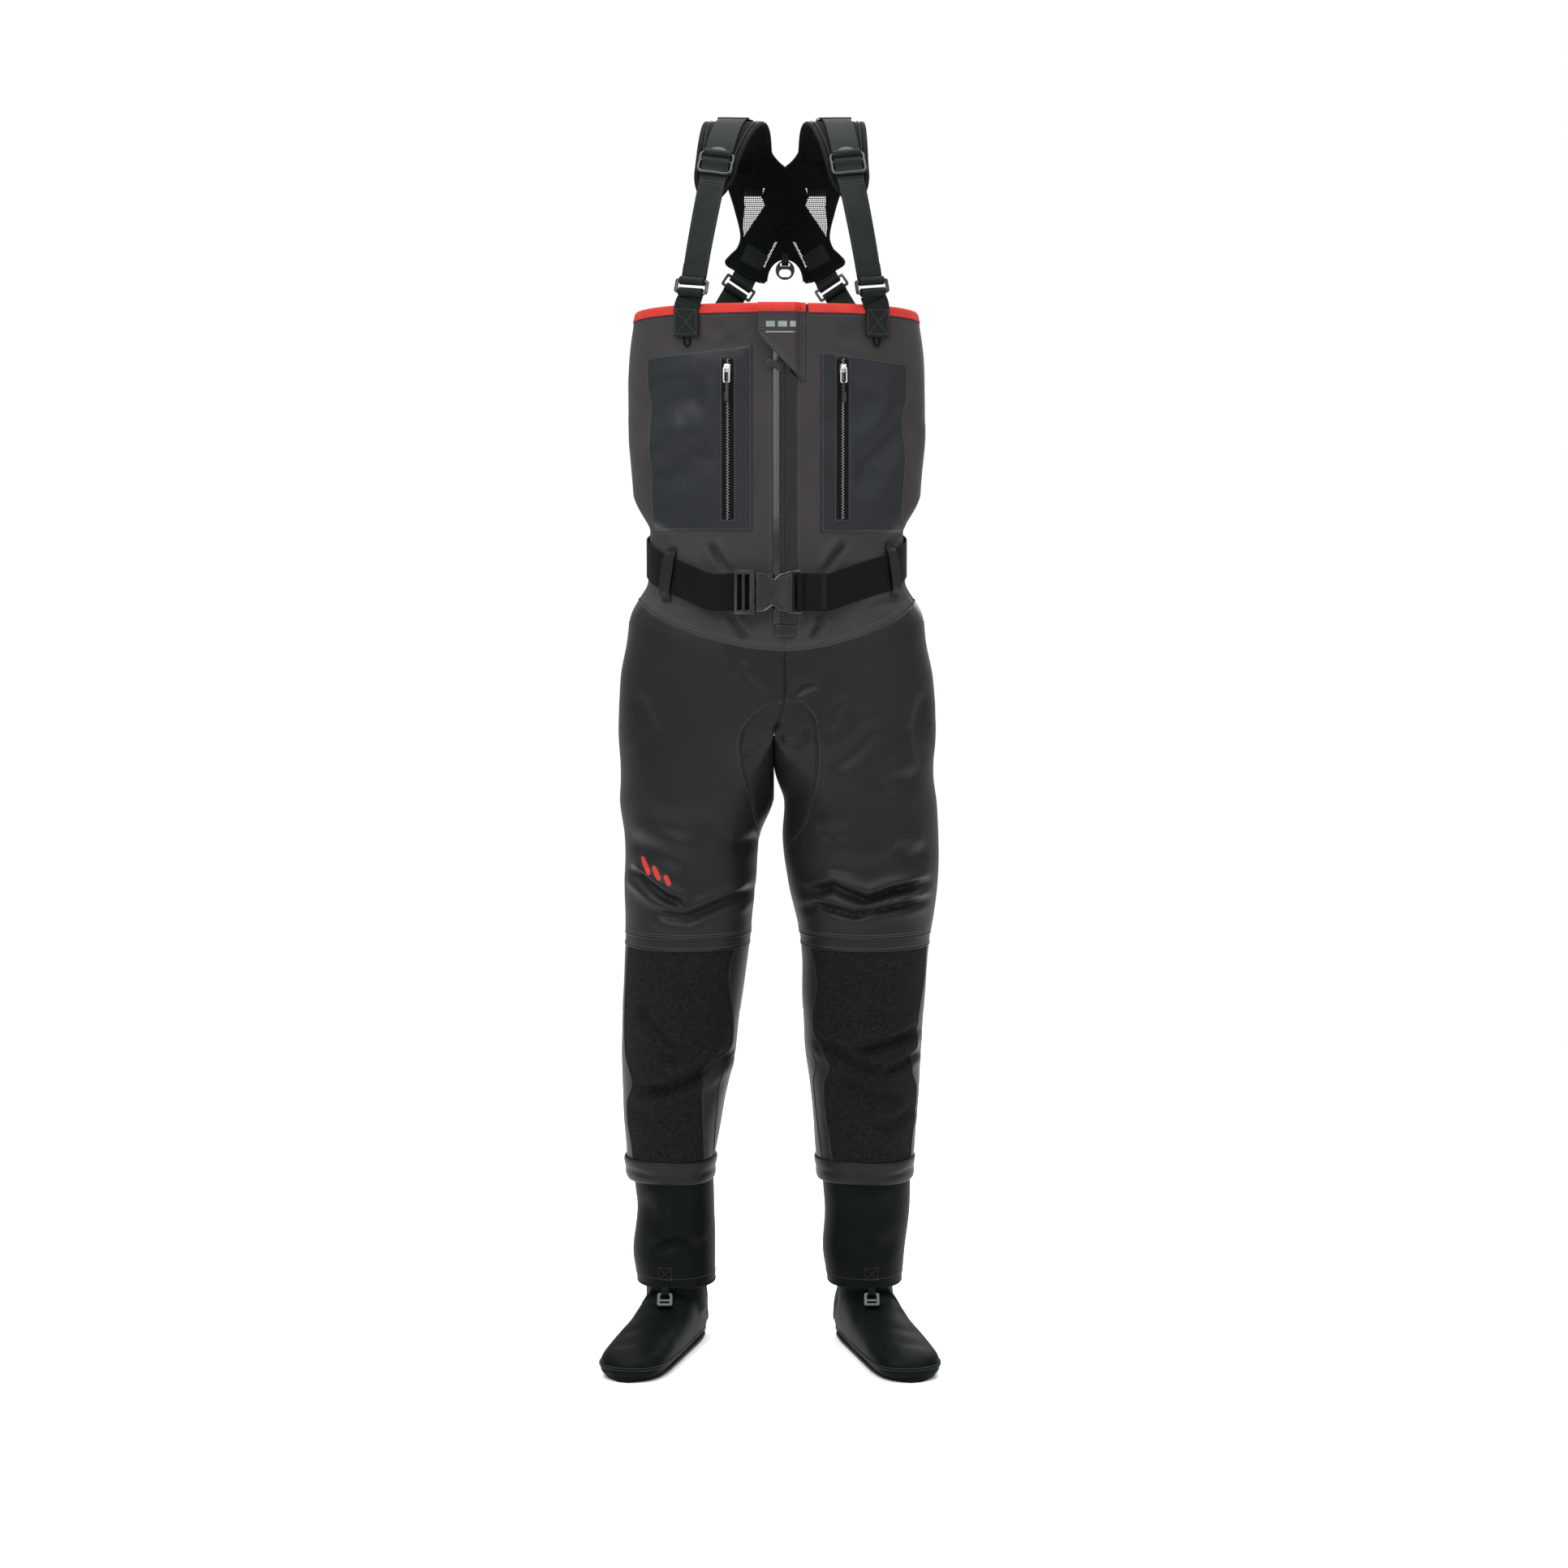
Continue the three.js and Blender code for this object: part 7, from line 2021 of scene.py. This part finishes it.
class WADERS_OT_harness(bpy.types.Operator):
    """Makes the padded shoulder straps, their webbing, tabs, buckles and adjusters"""

    bl_idname = "waders.harness"
    bl_label = "Shoulder harness"

    def execute(self, context):
        for side in SIDES:
            self.pad(context, side)
            self.webbing(context, side)
            self.front_tab(side)
            self.lock(side)
            for name in ("front_buckle", "back_buckle"):
                softened(f"{side}_{name}", MATERIALS["acetal"], ROOT, 0.8, 4)
            softened(f"{side}_lace_hook", MATERIALS["acetal"], f"{side}_lace_hook", 0.6)
        softened("net_ring", MATERIALS["acetal"], "net_ring", 1.2, 4)
        return {"FINISHED"}

    def pad(self, context, side):
        """A foam pad, crowned across, thin at its bound edge and round at its front end."""
        thick = context.scene.waders_sizes.pad
        t = np.linspace(0.2, 0.765, 120)
        point, _, across, out = strap_at(side, t)
        share = (t - t[0]) / (t[-1] - t[0])
        wide = mix(46, 74, ease((t - 0.2) / 0.34)) * mix(1, 0.86, ease((t - 0.58) / 0.2))
        front_round = np.sqrt(np.clip(1 - (1 - np.clip(share / 0.12, 0, 1)) ** 2, 0.003, 1))
        wide = wide * front_round
        a = np.linspace(0, 2 * math.pi, 44, endpoint=False)
        cross = signed_power(np.cos(a), 0.9)
        plump = 0.35 + 0.65 * (1 - np.abs(cross) ** 3.2)
        quilt = 1 - 0.16 * np.exp(-(((np.abs(cross) - 0.78) / 0.06) ** 2))
        high = signed_power(np.sin(a), 0.6) * plump * quilt * thick / 2
        section = np.stack([np.outer(wide / 2, cross), np.outer(np.sqrt(front_round), high)], -1)
        centre = point + out * -(0.8 + 0.8 + thick / 2)
        body = sweep(centre, across, out, section)
        made = build(f"{side}_pad_foam", [body], MATERIALS["spacer_mesh"],
                     stands_for=[f"{side}_shoulder_pad"])
        rim_t = np.concatenate([np.arange(119, -1, -1), np.arange(120)])
        sign = np.concatenate([np.full(120, -1.0), np.full(120, 1.0)])
        rim = centre[rim_t] + across[rim_t] * (wide[rim_t] / 2 * sign)[:, None]
        outward = out[rim_t]
        ways = directions(rim)
        sideways = unit(np.cross(ways, outward))
        binding = sweep(rim, sideways, outward, circle(1, 10) * [3.6, 2.6])
        build(f"{side}_pad_binding", [binding], MATERIALS["piping"])
        inset = centre[rim_t] + across[rim_t] * ((wide[rim_t] / 2 - 5.4) * sign)[:,
                None] + outward * (thick * 0.37)
        keep = wide[rim_t] > 20
        rows = [stitched(inset[keep & (sign < 0)], outward[keep & (sign < 0)], 3.4, 2.4, 1.0, 0.6),
                stitched(inset[keep & (sign > 0)], outward[keep & (sign > 0)], 3.4, 2.4, 1.0, 0.6)]
        build(f"{side}_pad_stitching", rows, thread_material("Polyester thread, slate", "#3a3f40"))

    def lock(self, side):
        """The adjuster: a rounded frame with a middle bar and a half-round tab above, made of bars."""
        point, along, across, out = (v[0] for v in strap_at(side, LOCK_T))
        centre = point + out * EYE_STAND

        def place(a, b):
            return centre + across * a + along * b

        corners = [(-17, -15.2), (0, -15.2), (17, -15.2), (22, -11), (22, 0), (22, 11), (17, 15.2), (0, 15.2),
                   (-17, 15.2),
                   (-22, 11), (-22, 0), (-22, -11)]
        rail = smooth_path([place(a, b) for a, b in corners], 90, loop=True)
        parts = [tube(rail, 2.2, 12, loop=True, up=out)]
        parts.append(tube(np.array([place(-21, 3), place(0, 3), place(21, 3)]), 1.7, 10, up=out))
        rise = np.linspace(0, 1, 16)
        arc = np.array([place(0, 14 + 12 * k) for k in rise])
        section = np.stack([strap_section(w, 2.2) for w in 27 * np.sqrt(1.02 - rise**2.4)])
        parts.append(sweep(arc, np.broadcast_to(across, arc.shape), np.broadcast_to(out, arc.shape), section))
        build(f"{side}_ladder_lock_frame", parts, MATERIALS["acetal"],
              stands_for=[f"{side}_ladder_lock"])
        b = np.linspace(-13.5, 13.5, 30)
        hump = -1.6 + 4.4 * np.exp(-(((b - 3) / 6.5) ** 2))
        cross = np.array([place(0, k) for k in b]) + out * hump[:, None]
        ways = np.broadcast_to(across, cross.shape)
        band = sweep(cross, ways, np.cross(ways, directions(cross)), strap_section(WEBBING - 1, 1.6))
        build(f"{side}_lock_webbing", [band], MATERIALS["webbing"], sharp=40)

    def webbing(self, context, side):
        """The lower strap runs from the front buckle under the adjuster; the upper one doubles back from its
        top bar and is sewn down the yoke, with a keeper near the shoulder."""
        start_across = strap_at(side, 0.0)[2]
        low_t = np.linspace(0.022, LOCK_T + 0.012, 90)
        lower = [band_on_strap(side, low_t, 0, WEBBING - 2, 1.6)]
        bar = self.bar(side, 0.0, 7.6)
        lower.append(eye(bar, start_across[0], WEBBING - 2))
        lower.append(band_on_strap(side, np.linspace(0.026, 0.055, 12), 1.7, WEBBING - 2.4, 1.4))
        build(f"{side}_lower_strapping", lower, MATERIALS["strap_twill"],
              stands_for=[f"{side}_lower_strap"], sharp=40)

        point, along, across, out = strap_at(side, LOCK_T)
        top_bar = point[0] + out[0] * EYE_STAND + along[0] * (17 - 1.8)
        up_t = np.linspace(LOCK_T + 0.026, 0.94, 170)
        upper = [band_on_strap(side, up_t, 0.2, WEBBING, 1.6), eye(top_bar, across[0], WEBBING)]
        build(f"{side}_upper_strapping", upper, MATERIALS["webbing"],
              stands_for=[f"{side}_upper_webbing"], sharp=40)
        keeper = band_on_strap(side, np.linspace(0.497, 0.563, 20), 1.0, WEBBING + 7, 3.4)
        build(f"{side}_keeper", [keeper], MATERIALS["zip_rubber"], sharp=40)

        rows = []
        for share in (0.232, 0.24):
            middle, _, line_across, line_out = strap_at(side, share)
            line = middle + line_across * np.linspace(-16, 16, 24)[:, None] + line_out * 0.95
            rows.append(stitched(line, np.broadcast_to(line_out, line.shape), 2.8, 2.0, 0.8, 0.4))
        for edge in (-1, 1):
            t = np.linspace(0.03, 0.25, 90)
            middle, _, line_across, line_out = strap_at(side, t)
            rows.append(stitched(middle + line_across * edge * 15.6 + line_out * 0.85, line_out, 3.2, 2.2,
                                 0.7, 0.35))
        build(f"{side}_strap_stitching", rows, MATERIALS["dark_thread"])

    def bar(self, side, t, ahead):
        point, along, _, out = strap_at(side, t)
        return point[0] + out[0] * EYE_STAND + along[0] * ahead

    def front_tab(self, side):
        """Ribbed webbing sewn over the binding and turned round the buckle's lower bar, with a cord loop."""
        s = SIDES[side]
        _, _, across, out = strap_at(side, 0.0)
        bar = self.bar(side, 0.0, -7.6)

        def tab_at(z):
            return front_at(np.array([s * 126.0]), np.array([z]), TAB_STAND)[0]

        foot = bar - out[0] * EYE_STAND
        path = smooth_path([tab_at(CHEST_EDGE - 34), tab_at(CHEST_EDGE - 22), tab_at(CHEST_EDGE - 8),
                            tab_at(CHEST_EDGE + 5),
                            mix(tab_at(CHEST_EDGE + 5), foot, 0.5), foot], 60)
        low_across = unit(front_at(np.array([s * 126.0 + 8]), np.array([1417.0]), 0.0, False)[0]
                          - front_at(np.array([s * 126.0 - 8]), np.array([1417.0]), 0.0, False)[0])
        t = ease((np.linspace(0, 1, 60) - 0.5) / 0.5)[:, None]
        ways = unit(mix(low_across, across[0], t))
        along_path = directions(path)
        ways = unit(ways - along_path * np.sum(ways * along_path, 1, keepdims=True))
        face = unit(np.cross(ways, along_path))
        band = sweep(path, ways, face, strap_section(WEBBING - 3, 1.8))
        layer = sweep(path[:48] + face[:48] * 1.9, ways[:48], face[:48], strap_section(WEBBING - 3.4, 1.4))
        build(f"{side}_tab_webbing", [band, layer, eye(bar, across[0], WEBBING - 3)],
              MATERIALS["ribbed_webbing"],
              stands_for=[f"{side}_front_tab"], sharp=40)
        square = np.array([(-15, 3), (15, 3), (15, 24), (-15, 24), (-15, 3), (15, 24)], float)
        rows = []
        for line in (square, np.array([(-15, 24), (15, 3)], float)):
            dense = np.concatenate([np.linspace(a, b, 14)[:-1] for a, b in zip(line[:-1], line[1:])]
                                   + [line[-1:]])
            at = np.clip((dense[:, 1] / 42 * 59).astype(int), 0, 47)
            spots = path[at] + ways[at] * dense[:, :1] + face[at] * 2.75
            rows.append(stitched(spots, face[at], 2.8, 2.0, 0.8, 0.45))
        build(f"{side}_tab_stitching", rows, thread_material("Polyester thread, slate", "#3a3f40"))
        across_low = ways[0]
        down = np.array([0, 0, -1.0])
        loop = [path[2] + across_low * k * 4.2 + down * d + face[0] * -0.4 for k, d in
                ((-1, -4), (-1, 6), (-0.85, 11), (0, 13.6), (0.85, 11), (1, 6), (1, -4))]
        build(f"{side}_tab_cord", [tube(smooth_path(loop, 40), 1.3, 10)], MATERIALS["piping"])


YOKE_MIDDLE = 4.5
YOKE_Y = 146.0
# Outer edge of the yoke as [height below the harness top, distance from the middle].
YOKE_OUTER = [(-212, 34), (-206, 52), (-196, 68), (-186, 83), (-176, 76), (-166, 66), (-148, 61), (-112, 69),
              (-62, 83), (-33, 80)]
YOKE_INNER = [(-212, 28), (-198, 25), (-188, 19), (-181, 10), (-178, 0), (-120, 0), (-57, 0), (-50, 8),
              (-42, 16), (-33, 22)]
# See-through panels as corner lists of (distance from the middle, height below the harness top).
YOKE_WINDOWS = [
    [(29, -82), (59, -82), (57, -108), (60, -136), (59, -150), (54, -142), (29, -106), (33, -94)],
    [(50, -60), (64, -60), (62, -38)],
    [(11, -156), (14, -156), (33, -190), (29, -193)],
]


def inside_polygon(x, z, corners):
    """True where a point lies inside the corners, by counting the edges crossed towards +x."""
    inside = np.zeros(np.shape(x), bool)
    for (x0, z0), (x1, z1) in zip(corners, corners[1:] + corners[:1]):
        crosses = (z0 > z) != (z1 > z)
        reach = x0 + (z - z0) * (x1 - x0) / (z1 - z0 if z1 != z0 else 1e-9)
        inside ^= crosses & (x < reach)
    return inside


class WADERS_OT_back_yoke(bpy.types.Operator):
    """Makes the mesh yoke with its net windows, bound edges, strap ends and hang loop"""

    bl_idname = "waders.back_yoke"
    bl_label = "Back yoke"

    def depth(self, dz):
        return YOKE_Y - 0.0048 * np.maximum(0, dz + 108) ** 2 - 1.6

    def execute(self, context):
        mesh_cloth = MATERIALS["spacer_mesh"]
        parts, nets, rims = [], [], []
        rows = np.linspace(-212, -34, 190)
        outer, = rows_at(YOKE_OUTER, rows)
        inner, = rows_at(YOKE_INNER, rows)
        inner = np.maximum(inner, 0)
        for s in (-1, 1):
            u = np.linspace(0, 1, 84)[None, :]
            reach = mix(inner[:, None], outer[:, None], u)
            z = np.broadcast_to(rows[:, None], reach.shape)
            y = self.depth(z) - 0.8 * np.cos(u * math.pi / 2)
            points = np.stack([YOKE_MIDDLE + s * reach, y, HARNESS_TOP + z], -1)
            mid_x = (reach[:-1, :-1] + reach[1:, 1:]) / 2
            mid_z = (z[:-1, :-1] + z[1:, 1:]) / 2
            window = np.zeros(mid_x.shape, bool)
            for corners in YOKE_WINDOWS:
                window |= inside_polygon(mid_x, mid_z, corners)
            r, c = np.indices(mid_x.shape)
            hole = (r % 3 > 0) & ((c + r // 3) % 3 > 0)
            parts.append(grid(points, keep=~window))
            nets.append(grid(points + [0, 1.0, 0], keep=window & ~hole))
            edge_out = np.stack([YOKE_MIDDLE + s * outer, self.depth(rows), HARNESS_TOP + rows], -1)
            edge_in = np.stack([YOKE_MIDDLE + s * inner, self.depth(rows), HARNESS_TOP + rows], -1)
            rims.append(self.rim(edge_out))
            rims.append(self.rim(edge_in[inner > 0.4][: int(np.sum((inner > 0.4) & (rows < -150)))]))
            rims.append(self.rim(edge_in[(inner > 0.4) & (rows > -60)]))
            rims.append(self.rim(np.stack([edge_in[0], edge_out[0]])))
        for part in parts + nets:
            if self.faces_back(part):
                part["faces"] = [(index[:, ::-1], uv[:, ::-1]) for index, uv in part["faces"]]
        sheet = build("yoke_mesh", parts, mesh_cloth, stands_for=["back_yoke"],
                      middle=(YOKE_MIDDLE, 900), wall=2.6)
        build("yoke_net", nets, MATERIALS["piping"], middle=(YOKE_MIDDLE, 900), wall=0.7)
        build("yoke_binding", rims, MATERIALS["piping"])
        self.straps(context)
        return {"FINISHED"}

    def faces_back(self, part):
        """True where a sheet's faces point away from the wearer's front."""
        points, index = part["points"], part["faces"][0][0]
        a, b, c = points[index[:, 0]], points[index[:, 1]], points[index[:, 2]]
        return np.sum(np.cross(b - a, c - a)[:, 1]) > 0

    def rim(self, path):
        path = evenly(path, 3.0)
        along = directions(path)
        out = np.broadcast_to([0, 1.0, 0], path.shape)
        across = unit(np.cross(along, out))
        return sweep(path + [0, 1.2, 0], across, np.cross(across, along), circle(1, 10) * [2.6, 2.2])

    def straps(self, context):
        """Each yoke corner ends in webbing round its buckle. A ribbed tab joins the buckle to the chest."""
        ends = []
        for side, s in SIDES.items():
            low, high = (np.array(corner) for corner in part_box(f"{side}_back_buckle"))
            centre = ((low + high) / 2 - ORIGIN) / MM
            along = unit(np.array([-0.54 * s, 0.2, 0.81]))
            across = unit(np.array([-0.83, 0, -0.55 * s]))
            out = unit(np.cross(across, along))
            top, foot = centre + along * 7.6, centre - along * 7.6
            sewn = np.array([YOKE_MIDDLE + 38 * s, YOKE_Y - 5.2, HARNESS_TOP - 168])
            path = smooth_path([top + out * EYE_STAND, mix(top + out * EYE_STAND, sewn, 0.45) + [0, 1.5, 0],
                                sewn], 30)
            ways = np.broadcast_to(across, path.shape)
            ends += [sweep(path, ways, unit(np.cross(ways, directions(path))), strap_section(34, 1.6)),
                     eye(top, across, 34)]

            x = YOKE_MIDDLE + 97 * s
            edge = CHEST_EDGE - EDGE_SLOPE * 110

            def tab_at(z):
                return rear_at(np.array([x - 0.3 * s * (z - edge)]), np.array([z]), TAB_STAND, False)[0]

            hook = foot + out * EYE_STAND
            path = smooth_path([tab_at(edge - 40), tab_at(edge - 24), tab_at(edge - 8), tab_at(edge + 4),
                                mix(tab_at(edge + 4), hook, 0.5), hook], 50)
            low_across = -unit(rear_at(np.array([x + 8]), np.array([edge - 20]), 0.0, False)[0]
                               - rear_at(np.array([x - 8]), np.array([edge - 20]), 0.0, False)[0])
            blend = ease((np.linspace(0, 1, 50) - 0.45) / 0.5)[:, None]
            ways = unit(mix(low_across, across, blend))
            steer = directions(path)
            ways = unit(ways - steer * np.sum(ways * steer, 1, keepdims=True))
            band = sweep(path, ways, unit(np.cross(ways, steer)), strap_section(34, 1.7))
            build(f"{side}_back_webbing", [band, eye(foot, across, 34)], MATERIALS["ribbed_webbing"],
                  stands_for=[f"{side}_back_tab"], sharp=40)
        arch = HARNESS_TOP - 178
        bar_z = arch - 6.5
        stub = np.array([(YOKE_MIDDLE, YOKE_Y - 2.6, arch + 6), (YOKE_MIDDLE, YOKE_Y - 2.4, arch),
                         (YOKE_MIDDLE, YOKE_Y - 2.6, bar_z + 4)])
        ways = np.broadcast_to([1.0, 0, 0], stub.shape)
        ends += [sweep(stub, ways, np.broadcast_to([0, -1.0, 0], stub.shape), strap_section(10, 1.6)),
                 eye(np.array([YOKE_MIDDLE, YOKE_Y - 2.6, bar_z]), (1, 0, 0), 10)]
        build("yoke_strapping", ends, MATERIALS["strap_twill"], sharp=40)
        hang = smooth_path([(YOKE_MIDDLE - 11, YOKE_Y - 5, HARNESS_TOP - 130),
                            (YOKE_MIDDLE - 9, YOKE_Y - 9, HARNESS_TOP - 138),
                            (YOKE_MIDDLE, YOKE_Y - 10.5, HARNESS_TOP - 141),
                            (YOKE_MIDDLE + 9, YOKE_Y - 9, HARNESS_TOP - 138),
                            (YOKE_MIDDLE + 11, YOKE_Y - 5, HARNESS_TOP - 130)], 30)
        rear = smooth_path([(YOKE_MIDDLE - 9, YOKE_Y - 3, HARNESS_TOP - 132),
                            (YOKE_MIDDLE - 8, YOKE_Y + 3, HARNESS_TOP - 140),
                            (YOKE_MIDDLE, YOKE_Y + 5, HARNESS_TOP - 144),
                            (YOKE_MIDDLE + 8, YOKE_Y + 3, HARNESS_TOP - 140),
                            (YOKE_MIDDLE + 9, YOKE_Y - 3, HARNESS_TOP - 132)], 30)
        build("hang_loop", [tube(hang, 1.7, 10), tube(rear, 1.6, 10)], MATERIALS["piping"])


STEPS = (
    ("stage", WADERS_OT_stage),
    ("materials", WADERS_OT_materials),
    ("chest", WADERS_OT_chest),
    ("trousers", WADERS_OT_trousers),
    ("shins", WADERS_OT_shins),
    ("feet", WADERS_OT_feet),
    ("binding", WADERS_OT_binding),
    ("pockets", WADERS_OT_pockets),
    ("main_zip", WADERS_OT_main_zip),
    ("storm_flap", WADERS_OT_storm_flap),
    ("belt", WADERS_OT_belt),
    ("harness", WADERS_OT_harness),
    ("back_yoke", WADERS_OT_back_yoke),
)


class WADERS_PT_panel(bpy.types.Panel):
    """Lists the making of the waders, piece by piece"""

    bl_label = "Chest waders"
    bl_space_type = "VIEW_3D"
    bl_region_type = "UI"
    bl_category = "Waders"

    def draw(self, context):
        column = self.layout.column()
        for name, _ in STEPS:
            column.operator(f"waders.{name}")
        for group in (context.scene.waders_sizes, context.scene.waders_looks):
            for key in group.__annotations__:
                column.prop(group, key)


CLASSES = (WADERS_PG_looks, WADERS_PG_sizes, *(kind for _, kind in STEPS), WADERS_PT_panel)


def register():
    for kind in CLASSES:
        bpy.utils.register_class(kind)
    bpy.types.Scene.waders_looks = PointerProperty(type=WADERS_PG_looks)
    bpy.types.Scene.waders_sizes = PointerProperty(type=WADERS_PG_sizes)


def unregister():
    del bpy.types.Scene.waders_looks
    del bpy.types.Scene.waders_sizes
    for kind in reversed(CLASSES):
        bpy.utils.unregister_class(kind)


def main():
    register()
    for name, _ in STEPS:
        getattr(bpy.ops.waders, name)()


if __name__ == "__main__":
    main()
